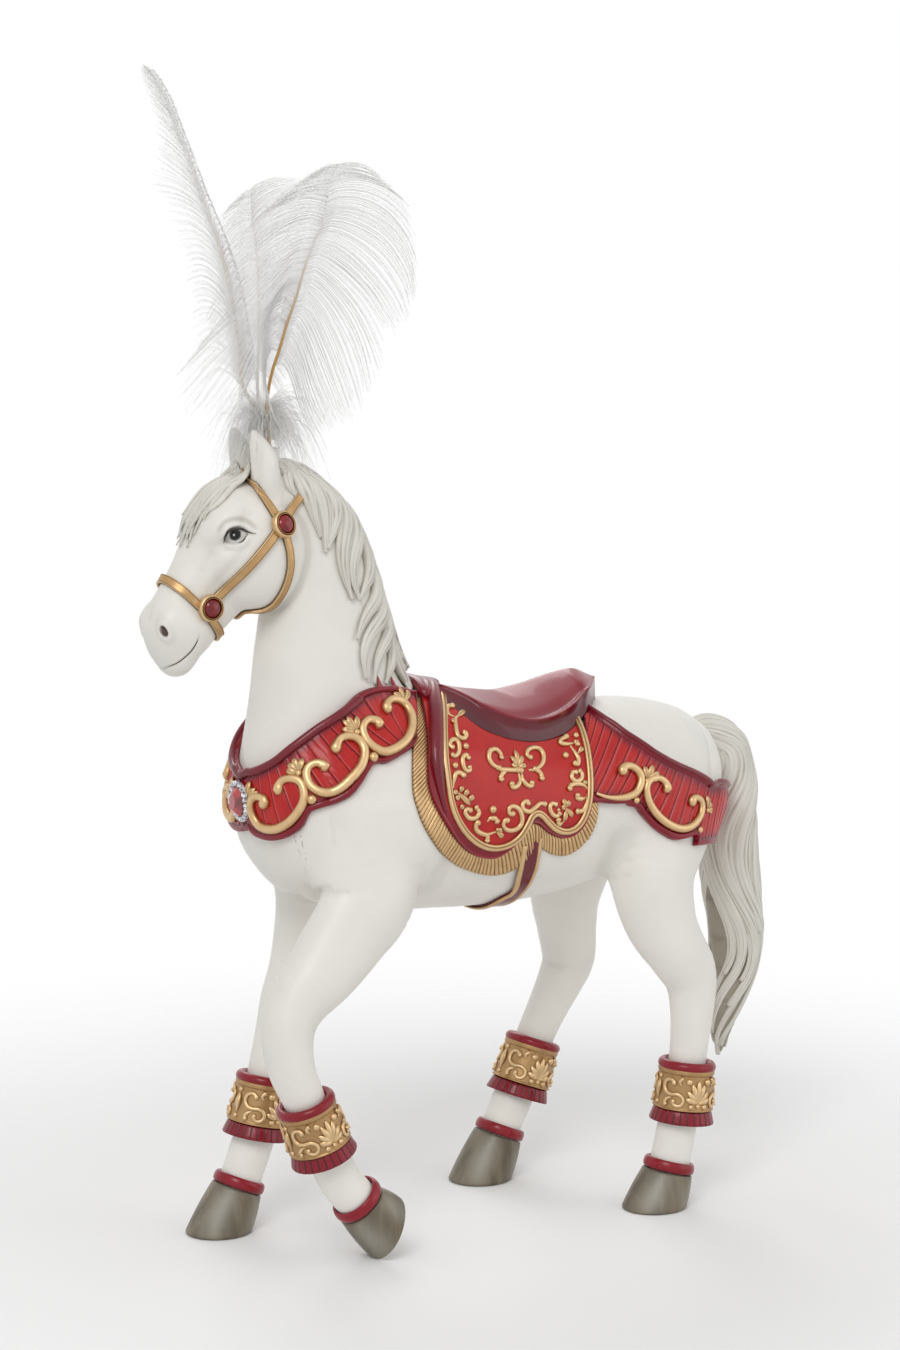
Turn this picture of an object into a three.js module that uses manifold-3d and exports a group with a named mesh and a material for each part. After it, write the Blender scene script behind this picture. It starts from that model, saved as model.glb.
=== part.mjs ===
// A white show horse in a walking pose, with red and gold tack and a feather plume.
// Lengths are in millimetres. +Z is up, the horse faces -X and its left side is towards -Y.
import * as THREE from 'three';
import { mergeVertices } from 'three/addons/utils/BufferGeometryUtils.js';
import Module from 'manifold-3d';

const wasm = await Module();
wasm.setup();

// Driving dimensions
const chestDepth = 100;        // withers to girth line: tables of places are shares of it
const fitGap = 0.35;           // clearance between neighbouring pieces
const drapeRise = 0.5;         // how much higher a draped rod lies, so that its chords stay clear
const overrun = 60;            // how far cutting solids and outlines run past what they cut
const tackThickness = 2.6;     // collar and breeching
const clothThickness = 2.4;
const fringeThickness = 2;
const girthThickness = 1.4;
const girthWidth = 9;
const edgingWidth = 2;
const strapThickness = 1.3;    // bridle
const strapWidth = 4.2;
const pipingRadius = 1.7;      // dark piping along the top of collar and breeching
const frontRollRadius = 3;     // padded roll at the front of the saddle cloth
const cordRadius = 1.1;        // gold cord round the saddle cloth
const scrollRadius = 1.8;      // heavy scrolls on collar and breeching
const filigreeRadius = 1;      // fine scrolls on the saddle cloth
const rosetteRadius = 5.4;
const rosetteHeight = 2.4;
const cabochonRadius = 3.6;
const crystalWidth = 9.5;
const crystalHeight = 11.5;
const crystalDepth = 3;
const stoneRingRadius = 1.3;
const ringStones = 16;
const eyeRadius = 4.2;
const cuffHeight = 24;
const cuffRollRadius = 2.2;
const sleeveThickness = 1;
const plateThickness = 1;
const skirtHeight = 5.5;
const skirtFlare = 1.6;
const pleatDepth = 0.5;
const pleats = 8;
const plateSides = 12;
const coronetHeight = 4.6;
const coronetThickness = 1.8;
const quillRadius = 1.1;
const quillSpacing = 3.2;
const bindingRadius = 5.2;
const bindingHeight = 16;

const sideways = new THREE.Vector3(0, 1, 0);
const downwards = new THREE.Vector3(0, 0, -1);
const forwards = new THREE.Vector3(-1, 0, 0);
const spot = ([x, y, z]) => new THREE.Vector3(x, y, z).multiplyScalar(chestDepth);

// Solids: a closed three.js geometry becomes a solid that can be joined and cut
function solidOf(geometry) {
  const bare = geometry.index ? geometry.toNonIndexed() : geometry.clone();
  bare.deleteAttribute('normal');
  bare.deleteAttribute('uv');
  const merged = mergeVertices(bare, 1e-4);
  const vertProperties = merged.attributes.position.array;
  const triVerts = new Uint32Array(merged.index.array);
  return new wasm.Manifold(new wasm.Mesh({ numProp: 3, vertProperties, triVerts }));
}

function geometryOf(solid) {
  const mesh = solid.getMesh();
  const geometry = new THREE.BufferGeometry();
  geometry.setAttribute('position', new THREE.BufferAttribute(mesh.vertProperties, mesh.numProp));
  geometry.setIndex(new THREE.BufferAttribute(mesh.triVerts, 1));
  geometry.computeVertexNormals();
  return geometry;
}

const joined = (solids) => solids.reduce((whole, solid) => whole.add(solid));

// A closed skin through rings of equal length, with one point closing each end.
// grow moves every point outwards along its normal.
function skin(rings, first, last, grow = 0) {
  const sides = rings[0].length;
  const positions = [first, ...rings.flat(), last].flatMap((p) => [p.x, p.y, p.z]);
  const faces = [];
  const at = (ring, i) => 1 + ring * sides + (i % sides);
  const end = 1 + rings.length * sides;
  for (let i = 0; i < sides; i++) {
    faces.push(0, at(0, i + 1), at(0, i));
    faces.push(end, at(rings.length - 1, i), at(rings.length - 1, i + 1));
    for (let ring = 0; ring + 1 < rings.length; ring++) {
      faces.push(at(ring, i), at(ring, i + 1), at(ring + 1, i));
      faces.push(at(ring, i + 1), at(ring + 1, i + 1), at(ring + 1, i));
    }
  }
  const geometry = new THREE.BufferGeometry();
  geometry.setAttribute('position', new THREE.Float32BufferAttribute(positions, 3));
  geometry.setIndex(faces);
  if (grow) {
    geometry.computeVertexNormals();
    const { position, normal } = geometry.attributes;
    const point = new THREE.Vector3();
    const away = new THREE.Vector3();
    for (let i = 0; i < position.count; i++) {
      away.fromBufferAttribute(normal, i);
      point.fromBufferAttribute(position, i).addScaledVector(away, grow);
      position.setXYZ(i, point.x, point.y, point.z);
    }
  }
  return solidOf(geometry);
}

// An elliptical ring: across and side are unit vectors, a and b the half sizes along them
function ellipse(centre, across, side, a, b, sides) {
  return Array.from({ length: sides }, (_, i) => {
    const turn = (2 * Math.PI * i) / sides;
    return centre.clone()
      .addScaledVector(across, a * Math.cos(turn))
      .addScaledVector(side, b * Math.sin(turn));
  });
}

// A limb runs through stations [x, y, z, half depth, half width], in shares of chestDepth.
// Its rings stand square to its path and stay level from side to side.
function limb(stationShares, { sides = 14, steps = 16, grow = 0, tipShare = 0.5 } = {}) {
  const path = new THREE.CatmullRomCurve3(stationShares.map(spot), false, 'catmullrom', 0.5);
  const sizes = stationShares.map(([, , , depth, width]) => spot([depth, width, 0]));
  const girths = new THREE.CatmullRomCurve3(sizes, false, 'catmullrom', 0.5);
  const rings = [];
  for (let i = 0; i <= steps; i++) {
    const along = path.getTangent(i / steps);
    const across = new THREE.Vector3().crossVectors(sideways, along).normalize();
    const side = new THREE.Vector3().crossVectors(along, across);
    const size = girths.getPoint(i / steps);
    rings.push(ellipse(path.getPoint(i / steps), across, side, size.x, size.y, sides));
  }
  const end = (t, sign) => {
    const reach = sign * tipShare * girths.getPoint(t).y;
    return path.getPoint(t).addScaledVector(path.getTangent(t), reach);
  };
  return skin(rings, end(0, -1), end(1, 1), grow);
}

// A round rod through points, whose radius follows a list of radii spread evenly along it
function rod(points, radii, { sides = 6, steps = 12, grow = 0 } = {}) {
  const path = new THREE.CatmullRomCurve3(points);
  const frames = path.computeFrenetFrames(steps, false);
  const radiusAt = (t) => {
    const place = t * (radii.length - 1);
    const i = Math.min(Math.floor(place), radii.length - 2);
    return THREE.MathUtils.lerp(radii[i], radii[i + 1], place - i);
  };
  const rings = frames.tangents.map((_, i) => {
    const radius = radiusAt(i / steps);
    const centre = path.getPointAt(i / steps);
    return ellipse(centre, frames.normals[i], frames.binormals[i], radius, radius, sides);
  });
  const end = (i, sign) => {
    const reach = (sign * radiusAt(i / steps)) / 2;
    return path.getPointAt(i / steps).addScaledVector(frames.tangents[i], reach);
  };
  return skin(rings, end(0, -1), end(steps, 1), grow);
}

const even = (radius) => [radius, radius];

// A round rod that closes on itself. square is the direction that its plane faces.
function hoop(points, radius, square, { sides = 6, grow = 0 } = {}) {
  const count = points.length;
  const size = radius + grow;
  const positions = points.flatMap((point, i) => {
    const along = points[(i + 1) % count].clone().sub(points[(i + count - 1) % count]).normalize();
    const across = new THREE.Vector3().crossVectors(square, along).normalize();
    const out = new THREE.Vector3().crossVectors(along, across);
    return ellipse(point, across, out, size, size, sides).flatMap((corner) => corner.toArray());
  });
  const at = (ring, i) => (ring % count) * sides + (i % sides);
  const faces = points.flatMap((_, ring) => Array.from({ length: sides }, (_, i) => [
    at(ring, i), at(ring, i + 1), at(ring + 1, i),
    at(ring, i + 1), at(ring + 1, i + 1), at(ring + 1, i),
  ]).flat());
  const geometry = new THREE.BufferGeometry();
  geometry.setAttribute('position', new THREE.Float32BufferAttribute(positions, 3));
  geometry.setIndex(faces);
  return solidOf(geometry);
}

const ballRingShare = 0.7;     // rings of a ball for each of its sides
function ball(centre, radius, sides = 5) {
  const geometry = new THREE.SphereGeometry(radius, sides, Math.ceil(sides * ballRingShare));
  geometry.translate(centre.x, centre.y, centre.z);
  return solidOf(geometry);
}

// A turned piece: its profile [radius, height] runs round the axis from a seat, towards direction
function turned(profile, seat, direction, sides = 20) {
  const points = profile.map(([radius, height]) => new THREE.Vector2(radius, height));
  const geometry = new THREE.LatheGeometry(points, sides);
  geometry.applyQuaternion(new THREE.Quaternion().setFromUnitVectors(sideways, direction));
  geometry.translate(seat.x, seat.y, seat.z);
  return solidOf(geometry);
}

// A side outline of [x, z] points, extruded from side to side right across the figure
function sidePrism(outline) {
  const shape = new THREE.Shape(outline.map(([x, z]) => new THREE.Vector2(x, z)));
  const span = chestDepth + 2 * overrun;
  const geometry = new THREE.ExtrudeGeometry(shape, { depth: span, bevelEnabled: false });
  geometry.rotateX(Math.PI / 2);
  geometry.translate(0, span / 2, 0);
  return solidOf(geometry);
}

const sized = (shares) => shares.map(([x, z]) => [x * chestDepth, z * chestDepth]);

// The same outline with each corner moved outwards by a distance
function widened(outline, by) {
  const turn = THREE.ShapeUtils.area(outline.map(([x, y]) => ({ x, y }))) > 0 ? 1 : -1;
  return outline.map(([x, z], i) => {
    const [px, pz] = outline[(i + outline.length - 1) % outline.length];
    const [nx, nz] = outline[(i + 1) % outline.length];
    const before = new THREE.Vector2(z - pz, px - x).normalize();
    const after = new THREE.Vector2(nz - z, x - nx).normalize();
    const out = before.add(after).normalize().multiplyScalar(turn * by);
    return [x + out.x, z + out.y];
  });
}

// A strip beside a line of [x, z] points, from one side distance to another
function strip(line, from, to) {
  const beside = (distance) => line.map(([x, z], i) => {
    const [px, pz] = line[Math.max(i - 1, 0)];
    const [nx, nz] = line[Math.min(i + 1, line.length - 1)];
    const out = new THREE.Vector2(nz - pz, px - nx).normalize().multiplyScalar(distance);
    return [x + out.x, z + out.y];
  });
  return [...beside(from), ...beside(to).reverse()];
}

// The figure
// Trunk stations [x, z, half depth, half width], chest to buttock
const trunkShares = [
  [-1.125, 1.79, 0.07, 0.08], [-1.09, 1.80, 0.19, 0.20], [-1.00, 1.81, 0.31, 0.30],
  [-0.84, 1.82, 0.40, 0.37], [-0.62, 1.82, 0.44, 0.395], [-0.38, 1.80, 0.45, 0.40],
  [-0.12, 1.755, 0.42, 0.405], [0.14, 1.735, 0.395, 0.405], [0.38, 1.76, 0.38, 0.40],
  [0.60, 1.80, 0.35, 0.385], [0.80, 1.79, 0.325, 0.35], [0.955, 1.75, 0.28, 0.27],
  [1.05, 1.72, 0.20, 0.17], [1.085, 1.71, 0.08, 0.07],
].map(([x, z, depth, width]) => [x, 0, z, depth, width]);

// Neck stations [x, z, half depth, half width], chest to poll
const neckShares = [
  [-0.74, 1.95, 0.40, 0.30], [-0.77, 2.15, 0.36, 0.26],
  [-0.795, 2.35, 0.305, 0.21], [-0.805, 2.55, 0.27, 0.18],
  [-0.83, 2.75, 0.225, 0.165], [-0.89, 2.93, 0.20, 0.15],
  [-0.97, 3.05, 0.17, 0.14], [-1.03, 3.10, 0.12, 0.11],
].map(([x, z, depth, width]) => [x, 0, z, depth, width]);

// The head's axis runs from the poll down to the muzzle at 45 degrees.
// Rows are [distance along it, forehead height, jaw depth, half width]
const pollShares = [-1.00, 3.03];
const headShares = [
  [-0.04, 0.13, -0.10, 0.10], [0.06, 0.215, -0.20, 0.16],
  [0.15, 0.25, -0.25, 0.18], [0.25, 0.245, -0.255, 0.18],
  [0.35, 0.212, -0.22, 0.155], [0.45, 0.183, -0.17, 0.125],
  [0.55, 0.16, -0.155, 0.112], [0.65, 0.13, -0.16, 0.115],
  [0.72, 0.08, -0.16, 0.10], [0.76, 0.02, -0.14, 0.06],
].map(([along, top, bottom, width]) => {
  const middle = (top + bottom) / 2;
  const x = pollShares[0] - (along + middle) * Math.SQRT1_2;
  const z = pollShares[1] - (along - middle) * Math.SQRT1_2;
  return [x, 0, z, (top - bottom) / 2, width];
});

// Ear stations from base to tip, left side
const earShares = [
  [-1.085, -0.075, 3.10, 0.045, 0.045], [-1.10, -0.085, 3.17, 0.058, 0.05],
  [-1.115, -0.09, 3.24, 0.05, 0.042],
  [-1.135, -0.085, 3.31, 0.028, 0.026], [-1.15, -0.08, 3.345, 0.008, 0.008],
];
const earHollowShares = [
  [-1.15, -0.115, 3.16, 0.02, 0.02], [-1.155, -0.12, 3.22, 0.028, 0.026],
  [-1.16, -0.105, 3.29, 0.012, 0.012],
];

// Leg stations [x, y, z, half depth, half width], from inside the trunk to the hoof's coronet
const foreLeftLegShares = [
  [-0.74, -0.20, 1.80, 0.24, 0.20], [-0.76, -0.26, 1.60, 0.22, 0.15], [-0.765, -0.29, 1.47, 0.20, 0.145],
  [-0.855, -0.31, 1.36, 0.178, 0.135], [-0.975, -0.325, 1.23, 0.155, 0.125],
  [-1.085, -0.33, 1.12, 0.126, 0.112],
  [-1.136, -0.33, 1.03, 0.113, 0.106], [-1.145, -0.33, 0.93, 0.104, 0.098],
  [-1.125, -0.33, 0.825, 0.094, 0.088],
  [-1.075, -0.33, 0.709, 0.085, 0.082], [-1.015, -0.33, 0.559, 0.083, 0.080],
  [-0.955, -0.33, 0.44, 0.086, 0.083],
  [-0.90, -0.33, 0.34, 0.086, 0.085], [-0.82, -0.33, 0.25, 0.086, 0.086],
];
const foreRightLegShares = [
  [-0.70, 0.20, 1.80, 0.24, 0.20], [-0.715, 0.245, 1.55, 0.17, 0.14], [-0.715, 0.26, 1.37, 0.135, 0.125],
  [-0.753, 0.28, 1.12, 0.116, 0.110], [-0.80, 0.30, 0.95, 0.108, 0.104],
  [-0.84, 0.31, 0.80, 0.093, 0.090],
  [-0.90, 0.31, 0.58, 0.085, 0.083], [-0.94, 0.31, 0.42, 0.087, 0.084],
  [-0.985, 0.31, 0.30, 0.086, 0.086],
  [-1.03, 0.31, 0.19, 0.086, 0.086],
];
const hindLeftLegShares = [
  [0.72, -0.17, 1.76, 0.30, 0.20], [0.66, -0.25, 1.58, 0.25, 0.165], [0.615, -0.31, 1.41, 0.19, 0.145],
  [0.643, -0.335, 1.24, 0.159, 0.128], [0.717, -0.35, 1.10, 0.130, 0.112],
  [0.786, -0.35, 0.985, 0.114, 0.098],
  [0.798, -0.35, 0.862, 0.097, 0.088], [0.789, -0.35, 0.734, 0.084, 0.080],
  [0.775, -0.35, 0.62, 0.080, 0.078],
  [0.75, -0.35, 0.457, 0.082, 0.079], [0.73, -0.35, 0.373, 0.084, 0.082],
  [0.705, -0.35, 0.26, 0.085, 0.083],
  [0.68, -0.35, 0.165, 0.086, 0.086],
];
const hindRightLegShares = [
  [0.70, 0.17, 1.74, 0.30, 0.20], [0.63, 0.25, 1.52, 0.22, 0.16], [0.60, 0.31, 1.27, 0.165, 0.14],
  [0.63, 0.35, 1.105, 0.135, 0.12], [0.66, 0.38, 0.952, 0.120, 0.105], [0.625, 0.39, 0.85, 0.104, 0.095],
  [0.565, 0.40, 0.733, 0.090, 0.085], [0.497, 0.40, 0.607, 0.083, 0.080],
  [0.43, 0.40, 0.439, 0.085, 0.080],
  [0.375, 0.40, 0.335, 0.088, 0.084], [0.335, 0.40, 0.26, 0.086, 0.085],
  [0.31, 0.40, 0.20, 0.086, 0.086],
];
const legShares = {
  fore_left: foreLeftLegShares, fore_right: foreRightLegShares,
  hind_left: hindLeftLegShares, hind_right: hindRightLegShares,
};
const legNames = Object.keys(legShares);
const shankShare = 0.086;      // widest half depth of a leg inside its cuff and coronet band

const trunk = (grow) => limb(trunkShares, { sides: 16, steps: 13, grow });
const neck = (grow) => limb(neckShares, { sides: 14, steps: 7, grow });
const head = (grow) => limb(headShares, { sides: 12, steps: 9, grow });
const leg = (name, grow = 0) => limb(legShares[name], { sides: 10, steps: 10, grow, tipShare: 0 });

// Trunk, neck and legs carry the tack. Grown copies are kept, because many pieces seat on them.
const torsos = new Map();
function torso(grow = 0) {
  if (!torsos.has(grow)) {
    const limbs = legNames.map((name) => leg(name, grow));
    torsos.set(grow, joined([trunk(grow), neck(grow), ...limbs]));
  }
  return torsos.get(grow);
}
const figure = (grow) => torso(grow).add(head(grow));

// A layer of material lying on a grown figure, cut to a side outline
function layer(base, outline, under, thickness) {
  return base(under + thickness).subtract(base(under)).intersect(sidePrism(outline));
}

// Points on a grown surface: each place is moved towards the figure's middle until it lands.
// level aims at the centre plane between chest and rump, square straight across, and round at the
// barrel's axis.
const chestShare = -0.85;
const rumpShare = 0.75;
const barrelShare = 1.80;
const aims = {
  level: ([x, , z]) => [THREE.MathUtils.clamp(x, chestShare, rumpShare), 0, z],
  square: ([x, , z]) => [x, 0, z],
  round: ([x]) => [x, 0, barrelShare],
};
const targets = new Map();
function landed(base, place, lift, aim = 'level') {
  const key = `${base.name} ${lift}`;
  if (!targets.has(key)) targets.set(key, new THREE.Mesh(geometryOf(base(lift))));
  const middle = spot(aims[aim](place));
  const inwards = middle.clone().sub(spot(place)).normalize();
  const start = middle.clone().addScaledVector(inwards, -chestDepth - overrun);
  return new THREE.Raycaster(start, inwards).intersectObject(targets.get(key))[0];
}
const mirrored = ([x, y, ...rest], side) => [x, -y * side, ...rest];
const draped = (shares, lift, side = -1, aim = 'level') =>
  shares.map((place) => landed(torso, mirrored(place, side), lift, aim).point);
// A smooth line through the places, so that a draped rod follows the surface between them
function traced(shares, steps) {
  const line = new THREE.CatmullRomCurve3(shares.map((row) => new THREE.Vector3(...row)));
  return line.getPoints(steps).map((point) => point.toArray());
}

const group = new THREE.Group();
const finishes = {
  resin: [0xd9d5cc, 0.45, 0], hair: [0xcfcabd, 0.55, 0], horn: [0x6b6350, 0.5, 0],
  red: [0xa31621, 0.35, 0],
  burgundy: [0x6e1524, 0.35, 0], gold: [0xc09860, 0.4, 0.6], garnet: [0x8c0f14, 0.1, 0],
  crystal: [0xc8101c, 0.05, 0], rhinestone: [0xdfe2e6, 0.1, 0.3], ink: [0x14100e, 0.15, 0],
  feather: [0xefedea, 0.9, 0],
};
function place(name, solid, finish) {
  const [color, roughness, metalness] = finishes[finish];
  const material = new THREE.MeshStandardMaterial({ color, roughness, metalness });
  const mesh = new THREE.Mesh(geometryOf(solid), material);
  mesh.name = name;
  group.add(mesh);
}
const sides = { left: -1, right: 1 };

// Mane: a crest and locks that fall down both sides of the neck
const crestShares = [
  [-1.02, 0, 3.19, 0.035, 0.05], [-0.93, 0, 3.17, 0.05, 0.075], [-0.80, 0, 3.07, 0.05, 0.08],
  [-0.68, 0, 2.93, 0.05, 0.085], [-0.60, 0, 2.75, 0.05, 0.085], [-0.545, 0, 2.58, 0.05, 0.08],
  [-0.49, 0, 2.44, 0.045, 0.07], [-0.42, 0, 2.34, 0.03, 0.05],
];
// Each lock runs from the crest through [x, z] places on the side of the neck to its tip
const lockShares = [
  [[-0.80, 3.07], [-0.85, 3.01], [-0.91, 2.93]], [[-0.76, 3.02], [-0.79, 2.92], [-0.86, 2.82]],
  [[-0.69, 2.93], [-0.71, 2.81], [-0.78, 2.69]], [[-0.63, 2.82], [-0.67, 2.69], [-0.74, 2.56]],
  [[-0.59, 2.71], [-0.62, 2.58], [-0.69, 2.45]], [[-0.55, 2.59], [-0.59, 2.48], [-0.65, 2.37]],
];
const lockRadiiShares = [0.035, 0.044, 0.035, 0.01];
const lockRootShare = 0.045;   // how far to the side of the crest a lock starts
const lockLiftShare = 0.8;     // how high a lock's middle lies, as a share of its widest radius
function mane(grow) {
  const lift = fitGap + Math.max(...lockRadiiShares) * chestDepth * lockLiftShare;
  const radii = lockRadiiShares.map((share) => share * chestDepth);
  const locks = Object.values(sides).flatMap((side) => lockShares.map((lock) => {
    const [[rootX, rootZ], ...rest] = lock;
    const points = rest.map(([x, z]) => landed(torso, [x, side, z], lift, 'square').point);
    const root = spot([rootX, side * lockRootShare, rootZ]);
    return rod([root, ...points], radii, { sides: 4, steps: 3, grow });
  }));
  return joined([limb(crestShares, { sides: 7, steps: 8, grow }), ...locks]).subtract(figure(fitGap));
}
const maneClear = mane(fitGap);

// Forelock: strands from the poll that fan down the forehead
const forelockShares = [
  [
    [-1.16, 0.03, 3.19, 0.03, 0.04], [-1.27, 0.01, 3.15, 0.03, 0.05],
    [-1.37, -0.02, 3.03, 0.025, 0.04], [-1.43, -0.03, 2.90, 0.008, 0.01],
  ], [
    [-1.16, -0.03, 3.19, 0.03, 0.04], [-1.26, -0.07, 3.13, 0.03, 0.045],
    [-1.34, -0.10, 3.02, 0.02, 0.03], [-1.38, -0.09, 2.93, 0.008, 0.01],
  ], [
    [-1.16, 0.02, 3.19, 0.03, 0.04], [-1.26, 0.08, 3.13, 0.03, 0.045],
    [-1.34, 0.11, 3.02, 0.02, 0.03], [-1.38, 0.10, 2.95, 0.008, 0.01],
  ],
];
function forelock(grow) {
  const strands = forelockShares.map((strand) => limb(strand, { sides: 5, steps: 4, grow }));
  return joined(strands).subtract(figure(fitGap));
}
const forelockClear = forelock(fitGap);

// Body casting: the figure with ears, eye sockets, nostrils and the hole that the plume stands in
const eyeShares = [-1.27, -0.125, 2.95];
const nostrilShares = [-1.545, -0.12, 2.62];
const nostrilShare = 0.035;
const plumeShares = [-1.03, 0, 3.16];
const plumeLean = new THREE.Vector3(-0.1, 0, 1).normalize();
const bindingFoot = spot(plumeShares).addScaledVector(plumeLean, -bindingHeight / 3);
function binding(grow) {
  const radius = bindingRadius + grow;
  const height = bindingHeight + grow;
  const profile = [[0, -grow], [radius, -grow], [radius, height], [0, height]];
  return turned(profile, bindingFoot, plumeLean, 12);
}
function ear(side, grow = 0) {
  return limb(earShares.map((row) => mirrored(row, side)), { sides: 8, steps: 5, grow });
}
const earsClear = joined(Object.values(sides).map((side) => ear(side, fitGap)));
function bodyCasting() {
  let solid = figure(0);
  for (const side of Object.values(sides)) {
    const hollow = limb(earHollowShares.map((row) => mirrored(row, side)), { sides: 6, steps: 3 });
    solid = solid.add(ear(side).subtract(hollow));
    solid = solid.subtract(ball(spot(mirrored(eyeShares, side)), eyeRadius + fitGap, 7));
    solid = solid.subtract(ball(spot(mirrored(nostrilShares, side)), nostrilShare * chestDepth, 6));
  }
  return solid.subtract(binding(fitGap));
}

// Tail: hangs clear of the rump from its root and ends in separate locks
const tailShares = [
  [1.03, 0, 1.98, 0.05, 0.05], [1.13, 0, 1.95, 0.085, 0.08], [1.245, 0, 1.85, 0.11, 0.10],
  [1.31, 0, 1.72, 0.11, 0.12], [1.285, 0, 1.50, 0.155, 0.13], [1.265, 0, 1.28, 0.16, 0.135],
  [1.26, 0, 1.05, 0.14, 0.11], [1.25, 0, 0.88, 0.10, 0.08], [1.225, 0, 0.70, 0.06, 0.05],
  [1.20, 0, 0.54, 0.02, 0.02],
];
const tailLockShares = [
  [[1.33, -0.05, 1.10, 0.07, 0.06], [1.365, -0.06, 0.95, 0.05, 0.05], [1.385, -0.05, 0.82, 0.015, 0.015]],
  [[1.20, 0.05, 1.10, 0.07, 0.06], [1.16, 0.08, 0.92, 0.05, 0.05], [1.12, 0.09, 0.76, 0.015, 0.015]],
];
function tail() {
  const locks = tailLockShares.map((lock) => limb(lock, { sides: 6, steps: 3 }));
  const whole = joined([limb(tailShares, { sides: 8, steps: 9 }), ...locks]);
  return whole.subtract(torso(fitGap)).subtract(breechingClear);
}

// Hooves: each widens from the coronet to its sole. Three stand flat and the left fore stands on its toe.
// Sole places are [x, z], one for each leg; the side place is the leg's own.
const soleShares = [[-0.70, 0.1345], [-1.12, 0.015], [0.61, 0.015], [0.215, 0.015]];
const soleTilts = [67, 0, 0, 0];   // degrees
const groundLevel = soleShares.at(-1)[1] * chestDepth;
const hoofTopShare = 0.105;
const soleLengthShare = 0.142;
const soleWidthShare = 0.132;
const hoofRingShares = [0, 0.5, 0.9, 1];
const legEnd = (name) => spot(legShares[name].at(-1));
const legAim = (name) => legEnd(name).sub(spot(legShares[name].at(-2))).normalize();
function hoof(name) {
  const [x, z] = soleShares[legNames.indexOf(name)];
  const top = legEnd(name).addScaledVector(legAim(name), fitGap);
  const sole = spot([x, legShares[name].at(-1)[1], z]);
  const slope = THREE.MathUtils.degToRad(soleTilts[legNames.indexOf(name)]);
  const soleAcross = new THREE.Vector3(Math.cos(slope), 0, Math.sin(slope));
  const topAcross = new THREE.Vector3().crossVectors(legAim(name), sideways).normalize();
  const rings = hoofRingShares.map((share) => {
    const across = topAcross.clone().lerp(soleAcross, share).normalize();
    const length = THREE.MathUtils.lerp(hoofTopShare, soleLengthShare, share) * chestDepth;
    const width = THREE.MathUtils.lerp(hoofTopShare, soleWidthShare, share) * chestDepth;
    return ellipse(top.clone().lerp(sole, share), sideways, across, width, length, 12);
  });
  const block = [[0, 0], [overrun, 0], [overrun, overrun], [0, overrun]];
  return skin(rings, top, sole).subtract(turned(block, sole.clone().setZ(groundLevel), downwards, 8));
}

// A red band round each coronet, just above the hoof
const shankRadius = shankShare * chestDepth;
function coronetBand(name) {
  const outer = shankRadius + fitGap + coronetThickness;
  const round = coronetHeight / 4;
  const profile = [
    [0, 0], [outer - round, 0], [outer, round],
    [outer, coronetHeight - round], [outer - round, coronetHeight], [0, coronetHeight],
  ];
  const up = legAim(name).negate();
  return turned(profile, legEnd(name), up, 8).subtract(leg(name, fitGap));
}

// Cuffs: a red lining with a rolled top and a pleated skirt, and a gold plate round its sleeve.
// Places are [x, z] of the roll and of the skirt's hem; the side place is the leg's own.
const cuffShares = [
  [[-1.068, 0.69], [-0.975, 0.445]], [[-0.895, 0.63], [-0.945, 0.40]],
  [[0.775, 0.61], [0.748, 0.38]], [[0.488, 0.586], [0.412, 0.383]],
];
const sleeveRadius = shankRadius + fitGap + sleeveThickness;
const cuffSplay = 1.2;         // how much wider a cuff is at its lower end
function cuffFrame(name) {
  const [[topX, topZ], [hemX, hemZ]] = cuffShares[legNames.indexOf(name)];
  const sidePlace = legShares[name].at(-1)[1];
  const top = spot([topX, sidePlace, topZ]);
  return { top, down: spot([hemX, sidePlace, hemZ]).sub(top).normalize() };
}
function cuffLining(name) {
  const { top, down } = cuffFrame(name);
  const side = new THREE.Vector3().crossVectors(down, sideways).normalize();
  const hem = cuffHeight - skirtHeight;
  const outer = sleeveRadius + cuffRollRadius;
  const skirtRadius = sleeveRadius + cuffSplay + plateThickness;
  const rows = [
    [-cuffRollRadius, sleeveRadius, 0], [-cuffRollRadius / 2, outer, 0],
    [cuffRollRadius / 2, outer, 0], [cuffRollRadius, sleeveRadius, 0],
    [hem, sleeveRadius + cuffSplay, 0], [hem, skirtRadius, pleatDepth],
    [cuffHeight, skirtRadius + skirtFlare, pleatDepth * 2],
  ];
  const rings = rows.map(([height, radius, pleat]) => Array.from({ length: pleats * 2 }, (_, i) => {
    const turn = (Math.PI * i) / pleats;
    const reach = radius - (i % 2) * pleat;
    const out = sideways.clone().multiplyScalar(Math.cos(turn)).addScaledVector(side, Math.sin(turn));
    return top.clone().addScaledVector(down, height).addScaledVector(out, reach);
  }));
  const first = top.clone().addScaledVector(down, -cuffRollRadius);
  return skin(rings, first, top.clone().addScaledVector(down, cuffHeight)).subtract(leg(name, fitGap));
}
function cuffPlate(name) {
  const { top, down } = cuffFrame(name);
  const start = cuffRollRadius + fitGap;
  const end = cuffHeight - skirtHeight - fitGap;
  const flatness = Math.cos(Math.PI / plateSides);
  const splayAt = (height) => (cuffSplay * height) / (cuffHeight - skirtHeight);
  const inside = (height) => (sleeveRadius + fitGap + splayAt(height)) / flatness;
  const lip = plateThickness / 2;
  const profile = [
    [inside(start), start], [inside(start) + plateThickness + lip, start],
    [inside(start) + plateThickness, start + 2 * lip], [inside(end) + plateThickness, end - 2 * lip],
    [inside(end) + plateThickness + lip, end], [inside(end), end],
  ];
  return turned([...profile, profile[0]], top, down, plateSides);
}

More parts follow.
